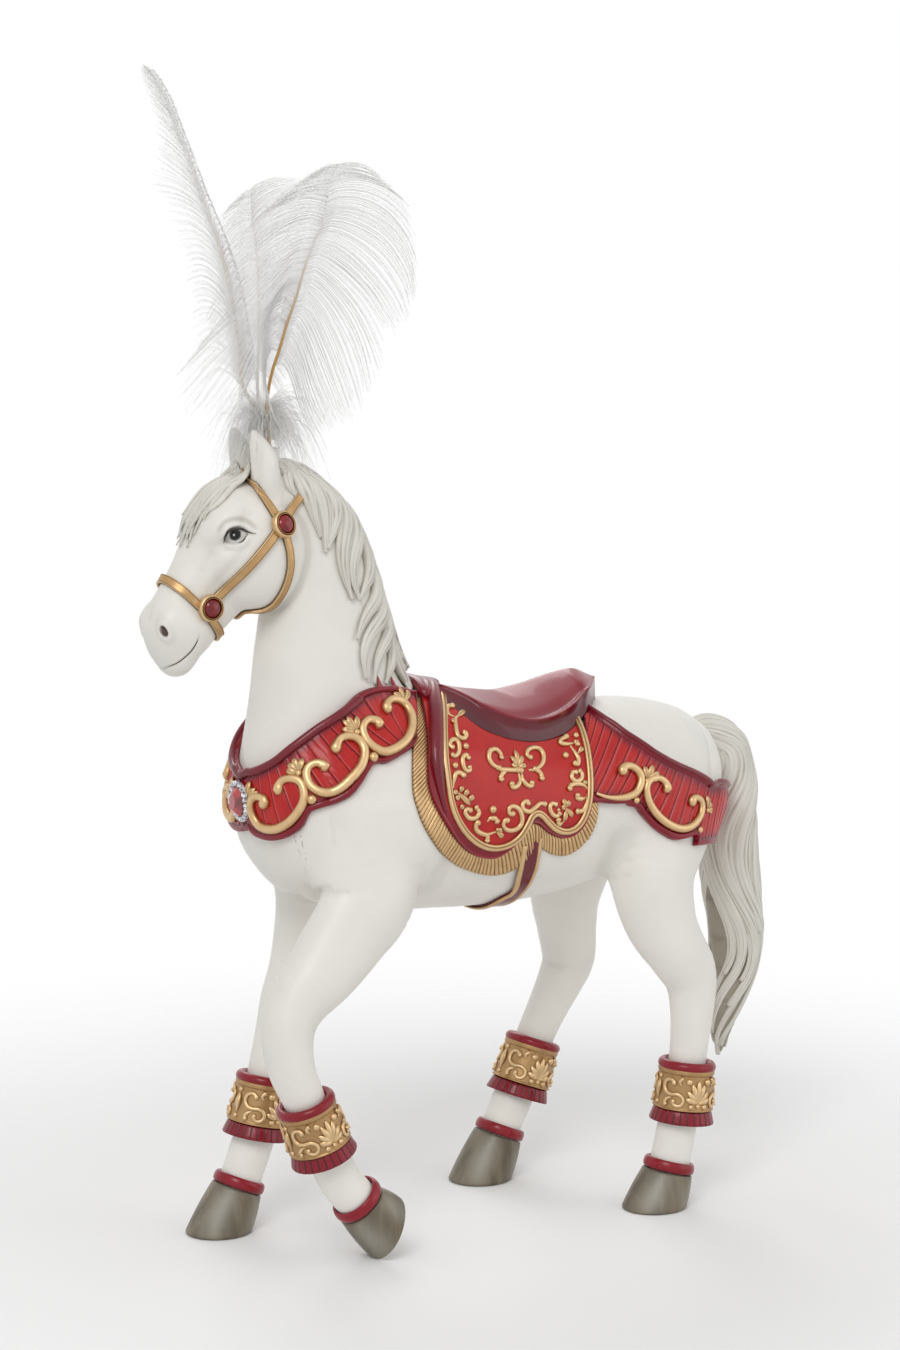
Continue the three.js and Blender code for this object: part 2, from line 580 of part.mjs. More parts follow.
// Scroll work lies on the tack: rods that swell into a knob at each end, leaf fans and beads
const knobShare = 1.35;
const swellShares = [knobShare, 0.7, 0.9, 1, 1, 1, 0.9, 0.7, knobShare];
function scroll(places, lift, side, radius, steps) {
  const line = draped(traced(places, steps), lift, side);
  return rod(line, swellShares.map((share) => share * radius), { sides: 4, steps });
}
const petalWidestShare = 0.6;  // how far along a petal its widest place is
const petalRadiiShares = [0.5, 1, 0.3];
function leafFan([root, ...tips], radius) {
  const radii = petalRadiiShares.map((share) => share * radius);
  const petals = tips.map((tip) =>
    rod([root, root.clone().lerp(tip, petalWidestShare), tip], radii, { sides: 4, steps: 2 }));
  return joined([ball(root, radius), ...petals]);
}

// Collar: a scalloped breast band with a piping along its top edge
const collarTopShares = [
  [-0.46, 2.33], [-0.58, 2.36], [-0.72, 2.34], [-0.81, 2.28], [-0.90, 2.24], [-0.98, 2.18],
  [-1.04, 2.12], [-1.10, 2.06], [-1.16, 2.01],
];
const collarLowShares = [
  [-1.17, 1.74], [-1.12, 1.72], [-1.06, 1.81], [-1.025, 1.865], [-0.97, 1.875], [-0.90, 1.91],
  [-0.83, 1.965], [-0.775, 2.015], [-0.71, 2.03], [-0.64, 2.055], [-0.57, 2.09], [-0.50, 2.12],
  [-0.40, 2.14],
];
const collarOutline = [
  ...sized(collarTopShares), [-chestDepth - overrun, collarTopShares.at(-1)[1] * chestDepth],
  [-chestDepth - overrun, collarLowShares[0][1] * chestDepth], ...sized(collarLowShares),
];
const collarPipingShares = [
  [-0.72, -0.24, 2.315], [-0.90, -0.25, 2.22], [-1.04, -0.20, 2.10], [-1.13, -0.11, 2.02],
  [-1.165, 0, 1.985],
];
const bothSides = (shares) => [...shares, ...shares.slice(0, -1).reverse().map((row) => mirrored(row, 1))];

// Breeching: the matching band round the rump, below the tail
const breechingShares = [
  [0.20, 2.20], [0.36, 2.12], [0.46, 2.04], [0.59, 1.95], [0.74, 1.87], [0.91, 1.80], [1.05, 1.76],
  [1.40, 1.74], [1.40, 1.50], [0.98, 1.50], [0.88, 1.53], [0.80, 1.58], [0.75, 1.61], [0.68, 1.605],
  [0.60, 1.62], [0.54, 1.67], [0.46, 1.75], [0.40, 1.77], [0.20, 1.79],
];
const breechingPipingShares = [
  [0.38, -0.25, 2.08], [0.50, -0.35, 1.99], [0.66, -0.38, 1.89], [0.85, -0.34, 1.80],
  [1.02, -0.22, 1.75], [1.12, 0, 1.74],
];

// Saddle cloth with its fringe, cord, front roll and girth
const clothShares = [
  [-0.44, 2.60], [-0.445, 2.28], [-0.51, 2.12], [-0.55, 1.97], [-0.53, 1.87], [-0.48, 1.78],
  [-0.42, 1.70], [-0.33, 1.635], [-0.24, 1.61], [-0.16, 1.635], [-0.10, 1.71], [-0.05, 1.74],
  [0.00, 1.71], [0.06, 1.66], [0.13, 1.655], [0.19, 1.70], [0.235, 1.80], [0.245, 1.90],
  [0.255, 2.02], [0.26, 2.60],
];
const fringeShares = [
  [-0.47, 2.60], [-0.475, 2.28], [-0.57, 2.11], [-0.61, 2.00], [-0.60, 1.88], [-0.55, 1.76],
  [-0.48, 1.66], [-0.37, 1.58], [-0.27, 1.54], [-0.17, 1.525], [-0.10, 1.555], [-0.06, 1.60],
  [-0.045, 1.64], [0.01, 1.60], [0.09, 1.575], [0.17, 1.60], [0.23, 1.67], [0.27, 1.76],
  [0.28, 1.88], [0.29, 2.02], [0.30, 2.60],
];
const cordShares = [
  [-0.395, 2.20], [-0.425, 2.10], [-0.455, 1.96], [-0.435, 1.85], [-0.38, 1.745], [-0.31, 1.685],
  [-0.23, 1.66], [-0.15, 1.69], [-0.10, 1.755], [-0.05, 1.785], [0.00, 1.755], [0.06, 1.705],
  [0.12, 1.695], [0.17, 1.73], [0.20, 1.80], [0.215, 1.90], [0.225, 2.01],
];
const frontRollShares = [
  [-0.465, -0.42, 1.81], [-0.495, -0.41, 1.92], [-0.495, -0.36, 2.05], [-0.45, -0.28, 2.18],
  [-0.395, -0.17, 2.26], [-0.375, 0, 2.30],
];
const girthLineShares = [[-0.05, 1.70], [-0.05, 1.55], [-0.06, 1.45], [-0.09, 1.35], [-0.12, 1.20]];

// Saddle: a dished seat with a raised cantle, its lower edge cut to a long curve
const seatShares = [
  [-0.335, 0, 2.19, 0.05, 0.06], [-0.26, 0, 2.13, 0.135, 0.22], [-0.14, 0, 2.08, 0.155, 0.34],
  [0.02, 0, 2.04, 0.18, 0.385], [0.18, 0, 2.04, 0.205, 0.385], [0.31, 0, 2.06, 0.22, 0.35],
  [0.41, 0, 2.09, 0.195, 0.27], [0.48, 0, 2.12, 0.11, 0.15],
];
const seatOutlineShares = [
  [-0.345, 2.60], [-0.345, 2.20], [-0.30, 2.15], [-0.21, 2.095], [-0.12, 2.065], [0.00, 2.045],
  [0.12, 2.045], [0.24, 2.06], [0.37, 2.09], [0.46, 2.13], [0.56, 2.19], [0.60, 2.60],
];

const overCloth = fitGap + clothThickness + fitGap;
const overTack = fitGap + tackThickness + fitGap;
const clothOutline = sized(clothShares);
const fringeOutline = sized(fringeShares);
const tackClear = sidePrism(widened(fringeOutline, fitGap));
const collar = layer(torso, collarOutline, fitGap, tackThickness).subtract(tackClear).subtract(maneClear);
const breechingOutline = sized(breechingShares);
const breeching = layer(torso, breechingOutline, fitGap, tackThickness).subtract(tackClear);
function piping(shares, steps, grow = 0) {
  const line = draped(traced(bothSides(shares), steps), overTack + drapeRise + pipingRadius);
  return rod(line, even(pipingRadius), { sides: 4, steps, grow });
}
const breechingPipingSteps = 24;
const pipingClear = piping(breechingPipingShares, breechingPipingSteps, fitGap);
const breechingClear = layer(torso, breechingOutline, fitGap, tackThickness + fitGap).add(pipingClear);
const cloth = layer(torso, clothOutline, fitGap, clothThickness).subtract(maneClear);
const fringe = layer(torso, fringeOutline, fitGap, fringeThickness)
  .subtract(sidePrism(widened(clothOutline, fitGap))).subtract(maneClear);
const frontRollLift = overCloth + frontRollRadius;
const frontRollRadiiShares = [0.3, 0.8, 1, 1, 1, 1, 1, 1, 0.8, 0.3];
const frontRollRadii = frontRollRadiiShares.map((share) => share * frontRollRadius);
const frontRollSteps = 16;
const frontRollPlaces = traced(bothSides(frontRollShares), frontRollSteps);
const frontRollLine = draped(frontRollPlaces, frontRollLift, -1, 'round');
const frontRoll = rod(frontRollLine, frontRollRadii, { sides: 5, steps: frontRollSteps })
  .subtract(torso(overCloth)).subtract(maneClear);
const seatTipShare = 0.3;
const saddle = limb(seatShares, { sides: 14, steps: 9, tipShare: seatTipShare })
  .intersect(sidePrism(sized(seatOutlineShares))).subtract(torso(overCloth));
const girthLine = sized(girthLineShares);
const girthBand = (from, to) =>
  layer(torso, strip(girthLine, from, to), fitGap, girthThickness).subtract(tackClear);

// Places on the cloth are [x, z], beside the barrel
const barrelSideShare = -0.42;
const cordSteps = 22;
function goldCord(side) {
  const places = cordShares.map(([x, z]) => [x, barrelSideShare, z]);
  const line = draped(traced(places, cordSteps), overCloth + drapeRise + cordRadius, side);
  return rod(line, even(cordRadius), { sides: 4, steps: cordSteps });
}

// Brooch: a step-cut crystal in an oval ring of small stones, on the front of the collar
const broochShares = [-1.19, 0, 1.865];
function broochRing(grow = 0) {
  const halfWidth = crystalWidth / 2 + stoneRingRadius + 3 * fitGap;
  const halfHeight = crystalHeight / 2 + stoneRingRadius + 3 * fitGap;
  const centre = spot(broochShares);
  const points = Array.from({ length: ringStones }, (_, i) => {
    const turn = (2 * Math.PI * i) / ringStones;
    const y = halfWidth * Math.sin(turn);
    const z = centre.z + halfHeight * Math.cos(turn);
    const place = [broochShares[0], y / chestDepth, z / chestDepth];
    return landed(torso, place, overTack + stoneRingRadius).point;
  });
  return hoop(points, stoneRingRadius, forwards, { sides: 5, grow }).subtract(torso(overTack - grow));
}
const ringClear = broochRing(fitGap);
const crystalCornerShare = 0.28;   // corner cut, as a share of the width
const cornerDrawShare = 0.4;       // how much of each step's inset the corner cut loses
// Steps of the cut: [inset as a share of the width, rise as a share of the depth]
const crystalStepShares = [[0, 0], [0, 0.4], [0.14, 0.75], [0.3, 1]];
function broochCrystal() {
  const front = landed(torso, broochShares, overTack).point;
  const corner = crystalWidth * crystalCornerShare;
  const octagon = (inset) => {
    const halfWidth = crystalWidth / 2 - inset;
    const halfHeight = crystalHeight / 2 - inset;
    const cut = corner - inset * cornerDrawShare;
    return [
      [halfWidth, cut - halfHeight], [halfWidth - cut, -halfHeight],
      [cut - halfWidth, -halfHeight], [-halfWidth, cut - halfHeight],
      [-halfWidth, halfHeight - cut], [cut - halfWidth, halfHeight],
      [halfWidth - cut, halfHeight], [halfWidth, halfHeight - cut],
    ];
  };
  const rings = crystalStepShares.map(([inset, rise]) => octagon(inset * crystalWidth).map(([y, z]) =>
    new THREE.Vector3(front.x - rise * crystalDepth, y, front.z + z)));
  const middle = (rise) => new THREE.Vector3(front.x - rise * crystalDepth, 0, front.z);
  return skin(rings, middle(0), middle(1)).subtract(torso(overTack));
}

// Collar scrolls, front to back, as [x, y, z] places on the left side. Neighbours share the places
// where they meet, and each fan and bead sits on such a place.
const collarScrollShares = [
  [
    [-1.155, -0.155, 1.90], [-1.165, -0.125, 1.925], [-1.17, -0.11, 1.87], [-1.155, -0.125, 1.80],
    [-1.11, -0.20, 1.775], [-1.05, -0.29, 1.84], [-1.04, -0.295, 1.90], [-1.04, -0.285, 1.955],
    [-1.06, -0.26, 1.985], [-1.10, -0.22, 1.975], [-1.105, -0.21, 1.94],
  ], [
    [-0.95, -0.30, 2.035], [-0.985, -0.27, 2.05], [-1.025, -0.27, 2.015], [-1.04, -0.285, 1.955],
    [-1.01, -0.32, 1.91], [-0.95, -0.35, 1.90], [-0.87, -0.37, 1.94], [-0.80, -0.36, 2.02],
    [-0.778, -0.33, 2.08], [-0.80, -0.30, 2.125], [-0.84, -0.29, 2.135], [-0.875, -0.28, 2.12],
    [-0.89, -0.29, 2.085],
  ], [
    [-0.70, -0.28, 2.19], [-0.74, -0.27, 2.19], [-0.78, -0.29, 2.15], [-0.778, -0.33, 2.08],
    [-0.70, -0.35, 2.08], [-0.62, -0.35, 2.11], [-0.585, -0.33, 2.17], [-0.60, -0.27, 2.23],
    [-0.64, -0.25, 2.23], [-0.655, -0.26, 2.20],
  ],
];
const collarFanShares = [
  [[-1.06, -0.26, 1.985], [-1.10, -0.20, 2.01], [-1.075, -0.22, 2.05], [-1.03, -0.24, 2.045]],
  [[-0.80, -0.30, 2.125], [-0.87, -0.26, 2.165], [-0.83, -0.26, 2.205], [-0.78, -0.26, 2.20]],
];
const collarBeadShares = [[-1.04, -0.285, 1.955], [-0.778, -0.33, 2.08]];
const breechingScrollShares = [
  [
    [0.33, -0.42, 1.82], [0.40, -0.43, 1.81], [0.47, -0.42, 1.82], [0.505, -0.415, 1.855],
    [0.485, -0.405, 1.905], [0.435, -0.40, 1.925], [0.395, -0.41, 1.895],
  ], [
    [0.61, -0.41, 1.81], [0.605, -0.41, 1.86], [0.555, -0.41, 1.875], [0.505, -0.415, 1.855],
    [0.50, -0.42, 1.79], [0.53, -0.41, 1.73], [0.60, -0.42, 1.68], [0.71, -0.42, 1.65], [0.80, -0.39, 1.69],
    [0.805, -0.39, 1.75], [0.765, -0.40, 1.745],
  ],
];
const breechingFanShares = [
  [[0.505, -0.415, 1.855], [0.47, -0.40, 1.95], [0.53, -0.39, 1.94], [0.575, -0.39, 1.905]],
];
const breechingBeadShares = [[0.505, -0.415, 1.855]];
const collarWork = { scrolls: collarScrollShares, fans: collarFanShares, beads: collarBeadShares };
const breechingWork = {
  scrolls: breechingScrollShares, fans: breechingFanShares, beads: breechingBeadShares,
};
function heavyScrolls({ scrolls, fans, beads }, side) {
  const lift = overTack + scrollRadius * knobShare;
  const pieces = [
    ...scrolls.map((shares) => scroll(shares, lift, side, scrollRadius, 10)),
    ...fans.map((shares) => leafFan(draped(shares, lift, side), scrollRadius)),
    ...beads.map((share) => ball(draped([share], lift, side)[0], scrollRadius * knobShare)),
  ];
  return joined(pieces).subtract(pipingClear).subtract(ringClear);
}

// Fine scrolls on the cloth: an emblem of four scrolls and a leaf bud
const emblemShares = [-0.105, 1.94];
const emblemCurlShares = [
  [[0, -0.01], [0.055, -0.015], [0.10, 0.02], [0.12, 0.06], [0.085, 0.085], [0.055, 0.06]],
  [[0, -0.01], [0.02, -0.05], [0.06, -0.085], [0.08, -0.055]],
];
const budShares = [[0, -0.01], [-0.035, 0.055], [0, 0.10], [0.035, 0.055]];
function emblem(side) {
  const [x, z] = emblemShares;
  const lift = overCloth + filigreeRadius * knobShare;
  const around = (rows, hand) => rows.map(([dx, dz]) => [x + hand * dx, barrelSideShare, z + dz]);
  const curls = [-1, 1].flatMap((hand) =>
    emblemCurlShares.map((rows) => scroll(around(rows, hand), lift, side, filigreeRadius, 5)));
  return joined([...curls, leafFan(draped(around(budShares, 1), lift, side), filigreeRadius)]);
}

// Bridle: one gilt harness of straps, with a rosette where they cross
const cheekpieceShares = [[-1.09, 2.98], [-1.39, 2.665]];
const nosebandShares = [[-1.62, 2.86], [-1.53, 2.80], [-1.39, 2.665], [-1.33, 2.60], [-1.20, 2.47]];
const browbandShares = [[-1.09, 2.98], [-1.125, 3.08], [-1.14, 3.16], [-1.15, 3.40]];
const crownShares = [[-1.09, 2.98], [-1.04, 3.03], [-0.98, 3.10], [-0.90, 3.40]];
const throatlatchShares = [[-1.085, 2.98], [-1.03, 2.82], [-1.05, 2.68], [-1.14, 2.60], [-1.30, 2.55]];
const strapShares = [cheekpieceShares, nosebandShares, browbandShares, crownShares, throatlatchShares];
function bridle() {
  const lines = strapShares.map(sized);
  const bands = joined(lines.map((line) => sidePrism(strip(line, -strapWidth / 2, strapWidth / 2))));
  const bed = joined([head(fitGap), neck(fitGap), earsClear, maneClear, forelockClear]);
  return head(fitGap + strapThickness).intersect(bands).subtract(bed);
}
const upperRosetteShares = [-1.09, -1, 2.98];
const lowerRosetteShares = [-1.39, -1, 2.665];
const rosetteShares = { upper: upperRosetteShares, lower: lowerRosetteShares };
const rosetteShoulderShare = 0.6;   // heights on the rim, as shares of the rosette's height
const rosetteLipShare = 0.8;
const overStrap = fitGap + strapThickness + fitGap;
function rosetteSeat(height, side) {
  const hit = landed(head, mirrored(rosetteShares[height], side), overStrap, 'square');
  return { seat: hit.point, direction: hit.face.normal.clone() };
}
function rosetteRim(height, side) {
  const { seat, direction } = rosetteSeat(height, side);
  const inner = cabochonRadius + fitGap;
  const floor = rosetteHeight / 3;
  const profile = [
    [0, 0], [rosetteRadius, 0],
    [rosetteRadius, rosetteHeight * rosetteShoulderShare], [(rosetteRadius + inner) / 2, rosetteHeight],
    [inner, rosetteHeight * rosetteLipShare], [inner, floor], [0, floor],
  ];
  return turned(profile, seat, direction, 10);
}
const domeSteps = [0, 40, 70];   // degrees up the cabochon's dome
function cabochon(height, side) {
  const { seat, direction } = rosetteSeat(height, side);
  const floor = rosetteHeight / 3 + fitGap;
  const rise = rosetteHeight / 2;
  const dome = domeSteps.map((degrees) => {
    const turn = THREE.MathUtils.degToRad(degrees);
    return [cabochonRadius * Math.cos(turn), floor + rise + rise * Math.sin(turn)];
  });
  const profile = [[0, floor], [cabochonRadius, floor], ...dome, [0, floor + 2 * rise]];
  return turned(profile, seat, direction, 10);
}

const eye = (side) => ball(spot(mirrored(eyeShares, side)), eyeRadius, 7);

// Plume: three feathers and a ruff of down, held in a binding that stands in the poll.
// Shaft stations are [x, y, z, half depth, half width] of the vane round the shaft.
const tallFeatherShares = [
  [-1.13, 0, 3.60, 0.02, 0.015], [-1.17, -0.01, 3.78, 0.10, 0.04], [-1.22, -0.01, 3.98, 0.13, 0.05],
  [-1.32, 0, 4.22, 0.10, 0.04], [-1.44, 0, 4.48, 0.05, 0.03], [-1.555, 0, 4.70, 0.012, 0.01],
];
const middleFeatherShares = [
  [-1.08, 0.09, 3.60, 0.02, 0.015], [-1.09, 0.15, 3.80, 0.16, 0.04], [-1.08, 0.18, 4.00, 0.22, 0.045],
  [-1.06, 0.19, 4.18, 0.20, 0.04], [-1.03, 0.18, 4.30, 0.10, 0.03], [-1.00, 0.16, 4.36, 0.02, 0.015],
];
const rightFeatherShares = [
  [-1.07, -0.10, 3.55, 0.02, 0.015], [-1.02, -0.16, 3.68, 0.20, 0.04], [-0.93, -0.19, 3.90, 0.30, 0.045],
  [-0.82, -0.20, 4.12, 0.30, 0.045], [-0.70, -0.21, 4.30, 0.18, 0.04], [-0.62, -0.21, 4.36, 0.04, 0.02],
];
const featherShares = { tall: tallFeatherShares, middle: middleFeatherShares, right: rightFeatherShares };
const quillPlaces = { tall: 0, middle: 1, right: -1 };
function feather(name, grow = 0) {
  const vane = limb(featherShares[name], { sides: 8, steps: 7, grow });
  const foot = bindingFoot.clone().addScaledVector(plumeLean, bindingHeight / 3);
  foot.y += quillPlaces[name] * quillSpacing;
  const mouth = foot.clone().addScaledVector(plumeLean, bindingHeight);
  const rows = featherShares[name].slice(0, 3).map(spot);
  const radii = [quillRadius, quillRadius, quillRadius / 2];
  return vane.add(rod([foot, mouth, ...rows], radii, { sides: 4, steps: 4, grow }));
}
const featherNames = Object.keys(featherShares);
const quillsClear = joined(featherNames.map((name) => feather(name, fitGap)));
const fluffShares = [
  [-1.05, 0, 3.37, 0.15, 0.15], [-1.07, 0, 3.42, 0.20, 0.20], [-1.09, 0, 3.48, 0.20, 0.20],
  [-1.10, 0, 3.53, 0.12, 0.12],
];
const fluffTipShare = 0.1;
function fluff() {
  const ruff = limb(fluffShares, { sides: 8, steps: 4, tipShare: fluffTipShare });
  return ruff.subtract(quillsClear).subtract(earsClear);
}

place('body_casting', bodyCasting(), 'resin');
place('mane', mane(0).subtract(binding(fitGap)).subtract(earsClear), 'hair');
place('forelock', forelock(0).subtract(binding(fitGap)).subtract(maneClear).subtract(earsClear), 'hair');
place('tail', tail(), 'hair');
for (const name of legNames) {
  place(`hoof_${name}`, hoof(name), 'horn');
  place(`coronet_band_${name}`, coronetBand(name), 'red');
  place(`cuff_lining_${name}`, cuffLining(name), 'red');
  place(`cuff_plate_${name}`, cuffPlate(name), 'gold');
}
place('collar', collar, 'red');
place('collar_piping', piping(collarPipingShares, 18), 'burgundy');
place('breeching', breeching, 'red');
place('breeching_piping', piping(breechingPipingShares, breechingPipingSteps), 'burgundy');
place('saddle_cloth', cloth, 'red');
place('fringe', fringe, 'gold');
place('saddle_front_roll', frontRoll, 'burgundy');
place('saddle', saddle, 'burgundy');
const girthEdge = girthWidth / 2;
const edgingStart = girthEdge + fitGap;
place('girth', girthBand(-girthEdge, girthEdge), 'burgundy');
place('girth_edging_front', girthBand(edgingStart, edgingStart + edgingWidth), 'gold');
place('girth_edging_rear', girthBand(-edgingStart - edgingWidth, -edgingStart), 'gold');
for (const [hand, side] of Object.entries(sides)) {
  place(`gold_cord_${hand}`, goldCord(side), 'gold');
  place(`collar_scrolls_${hand}`, heavyScrolls(collarWork, side), 'gold');
  place(`breeching_scrolls_${hand}`, heavyScrolls(breechingWork, side), 'gold');
  place(`cloth_emblem_${hand}`, emblem(side), 'gold');
  place(`eye_${hand}`, eye(side), 'ink');
  for (const height of Object.keys(rosetteShares)) {
    place(`rosette_rim_${height}_${hand}`, rosetteRim(height, side), 'gold');
    place(`rosette_cabochon_${height}_${hand}`, cabochon(height, side), 'garnet');
  }
}
place('bridle', bridle(), 'gold');
place('brooch_stone_ring', broochRing(), 'rhinestone');
place('brooch_crystal', broochCrystal(), 'crystal');
place('plume_binding', binding(0).subtract(quillsClear), 'feather');
for (const name of featherNames) place(`feather_${name}`, feather(name), 'feather');
place('plume_fluff', fluff(), 'feather');

// The origin is on the ground, under the middle of the figure's box
const box = new THREE.Box3().setFromObject(group);
const middle = box.getCenter(new THREE.Vector3());
for (const mesh of group.children) mesh.geometry.translate(-middle.x, -middle.y, -box.min.z);

export default group;
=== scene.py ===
import bpy
import bmesh
import math
import numpy as np
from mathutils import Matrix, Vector


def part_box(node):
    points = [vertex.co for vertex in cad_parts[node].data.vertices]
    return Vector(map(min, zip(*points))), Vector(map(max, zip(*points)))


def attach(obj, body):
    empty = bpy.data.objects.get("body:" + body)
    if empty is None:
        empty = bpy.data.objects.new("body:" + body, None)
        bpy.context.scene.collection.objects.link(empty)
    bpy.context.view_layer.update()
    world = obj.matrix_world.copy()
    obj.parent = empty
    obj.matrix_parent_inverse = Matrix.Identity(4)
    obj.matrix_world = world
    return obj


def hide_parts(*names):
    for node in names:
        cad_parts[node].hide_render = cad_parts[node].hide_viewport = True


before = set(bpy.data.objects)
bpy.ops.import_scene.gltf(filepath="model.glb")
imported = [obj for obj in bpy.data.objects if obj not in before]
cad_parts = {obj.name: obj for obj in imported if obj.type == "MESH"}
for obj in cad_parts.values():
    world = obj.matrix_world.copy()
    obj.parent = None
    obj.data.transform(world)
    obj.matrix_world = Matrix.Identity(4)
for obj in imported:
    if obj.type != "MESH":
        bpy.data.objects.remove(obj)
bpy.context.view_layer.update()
print("frame loaded")

# The model is in metres, +Z up; the horse faces -X and its left side is towards -Y.
# Places are shares of the chest depth, from the ground under the withers.
mm = 0.001
chestDepth = 100 * mm
rng = np.random.default_rng(7)
soleRear = 0.468     # the left hind sole begins this many shares behind the withers
groundShare = 0.015
collarLow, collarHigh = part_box("collar")
origin = np.array([
    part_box("hoof_hind_left")[0].x - soleRear * chestDepth,
    (collarLow.y + collarHigh.y) / 2,
    -groundShare * chestDepth,
])


def spots(shares):
    return np.asarray(shares, float)[..., :3] * chestDepth + origin


def unit(v):
    return v / np.maximum(np.linalg.norm(v, axis=-1, keepdims=True), 1e-12)


# The camera stands in front of the horse's left side, a little above its back
target = spots([0, 0.30, 2.25])
view = unit(np.array([-0.5248, -0.8398, 0.1392]))


def flow(points, count, closed=False):
    # uniform Catmull-Rom line through the points: the mean of two parabolas in each span
    p = np.asarray(points, float)
    p = np.vstack([p[-1], p, p[0], p[1]] if closed else [2 * p[0] - p[1], p, 2 * p[-1] - p[-2]])
    t = np.linspace(0, len(p) - 3, count, endpoint=not closed)
    i = np.minimum(t.astype(int), len(p) - 4)
    f = (t - i)[:, None]
    a, b, c, d = p[i], p[i + 1], p[i + 2], p[i + 3]
    return 0.5 * (2 * b + (c - a) * f + (2 * a - 5 * b + 4 * c - d) * f * f
                  + (3 * b - a - 3 * c + d) * f ** 3)


def paced(line, count):
    # the same line with its samples evenly spaced along its length
    reach = np.concatenate([[0], np.cumsum(np.linalg.norm(np.diff(line, axis=0), axis=1))])
    at = np.linspace(0, reach[-1], count)
    return np.stack([np.interp(at, reach, line[:, k]) for k in range(line.shape[1])], 1)


def curveThrough(points, count):
    return paced(flow(points, max(8 * len(points), 2 * count)), count)


def twinLines(first, second, count):
    # two lines through paired places, sampled side by side and evenly along their mean length
    many = 30 * len(first)
    pair = flow(np.hstack([first, second]), many)
    step = np.diff(pair, axis=0)
    reach = (np.linalg.norm(step[:, :3], axis=1) + np.linalg.norm(step[:, 3:], axis=1)) / 2
    reach = np.concatenate([[0], np.cumsum(reach)])
    at = np.linspace(0, reach[-1], count)
    pair = np.stack([np.interp(at, reach, pair[:, k]) for k in range(6)], 1)
    return pair[:, :3], pair[:, 3:]


def steps(values, low, high):
    # smooth rise from 0 at low to 1 at high
    t = np.clip((values - low) / (high - low), 0, 1)
    return t * t * (3 - 2 * t)


def bell(values, centre, width):
    return np.exp(-(((values - centre) / width) ** 2))


def mirrorRows(rows):
    rows = np.array(rows, float)
    rows[:, 1] *= -1
    return rows


def gridFaces(rows, cols, loop=False, ring=False, start=0):
    # quads of a rows by cols grid; loop closes it along the columns, ring along the rows
    r = np.arange(rows if ring else rows - 1)[:, None]
    c = np.arange(cols if loop else cols - 1)[None, :]
    at = lambda i, j: start + (i % rows) * cols + (j % cols)
    return np.stack([at(r, c), at(r, c + 1), at(r + 1, c + 1), at(r + 1, c)], -1).reshape(-1, 4)


def closedTube(rings, start=0):
    # rings (n, m, 3) become a tube with a pole in the middle of each end
    n, m, _ = rings.shape
    verts = np.vstack([rings.reshape(-1, 3), rings[0].mean(0), rings[-1].mean(0)])
    j = np.arange(m)
    k = (j + 1) % m
    first, last = start + n * m, start + n * m + 1
    quads = gridFaces(n, m, loop=True, start=start)
    head = np.stack([np.full(m, first), start + k, start + j, np.full(m, first)], 1)
    tail = np.stack([np.full(m, last), start + (n - 1) * m + j, start + (n - 1) * m + k,
                     np.full(m, last)], 1)
    return verts, np.vstack([quads, head, tail])


def turned(faces):
    # the same faces wound the other way; a triangle still repeats its first corner last
    triangle = faces[:, 3] == faces[:, 0]
    back = faces[:, ::-1].copy()
    back[triangle] = faces[triangle][:, [0, 2, 1, 0]]
    return back


class Build:
    # gathers verts, faces and named point values of many small shapes into one mesh
    def __init__(self):
        self.verts, self.faces, self.values, self.count = [], [], {}, 0

    def add(self, verts, faces, **values):
        # faces are turned round where they would enclose a negative volume
        faces = np.asarray(faces)
        corners = verts - verts.mean(0)
        a, b, c, d = (corners[faces[:, min(k, faces.shape[1] - 1)]] for k in range(4))
        volume = (a * np.cross(b, c)).sum() + (a * np.cross(c, d)).sum()
        if volume < 0:
            faces = np.hstack([faces[:, :1], faces[:, :0:-1]]) if faces.shape[1] == 3 else turned(faces)
        self.verts.append(verts)
        self.faces.append(faces + self.count)
        for name in set(self.values) | set(values):
            fill = values.get(name, 0.0)
            if name not in self.values:
                self.values[name] = [np.zeros(self.count)] if self.count else []
            self.values[name].append(np.broadcast_to(np.asarray(fill, float), (len(verts),)))
        self.count += len(verts)

    def tube(self, rings, **values):
        n, m, _ = rings.shape
        verts, faces = closedTube(rings)
        full = {}
        for name, v in values.items():
            # a row of values holds one for each ring
            v = np.broadcast_to(np.asarray(v, float)[:, None] if np.ndim(v) == 1 else v, (n, m))
            full[name] = np.concatenate([v.ravel(), [v[0].mean(), v[-1].mean()]])
        self.add(verts, faces, **full)

    def ball(self, centre, radius, normal, squash=1.0, sides=12, **values):
        across, side, up = frameOf(normal)
        lat = np.linspace(-np.pi / 2, np.pi / 2, sides // 2 + 3)[1:-1]
        lon = np.linspace(0, 2 * np.pi, sides, endpoint=False)
        x = np.cos(lat)[:, None] * np.cos(lon)
        y = np.cos(lat)[:, None] * np.sin(lon)
        z = np.repeat(np.sin(lat)[:, None], sides, 1) * squash
        rings = centre + radius * (x[..., None] * across + y[..., None] * side + z[..., None] * up)
        self.tube(rings, **values)

    def piece(self, name, *nodes, slot, finish, smooth=True):
        verts = np.vstack(self.verts)
        faces = np.vstack([f if f.shape[1] == 4 else np.hstack([f, f[:, :1]]) for f in self.faces])
        values = {k: np.concatenate(v) for k, v in self.values.items()}
        return makePiece(name, verts, faces, nodes, finish, values, smooth)


def frameOf(normal):
    up = unit(np.asarray(normal, float))
    guess = np.array([0, 0, 1.0]) if abs(up[2]) < 0.9 else np.array([1.0, 0, 0])
    across = unit(np.cross(guess, up))
    return across, np.cross(up, across), up


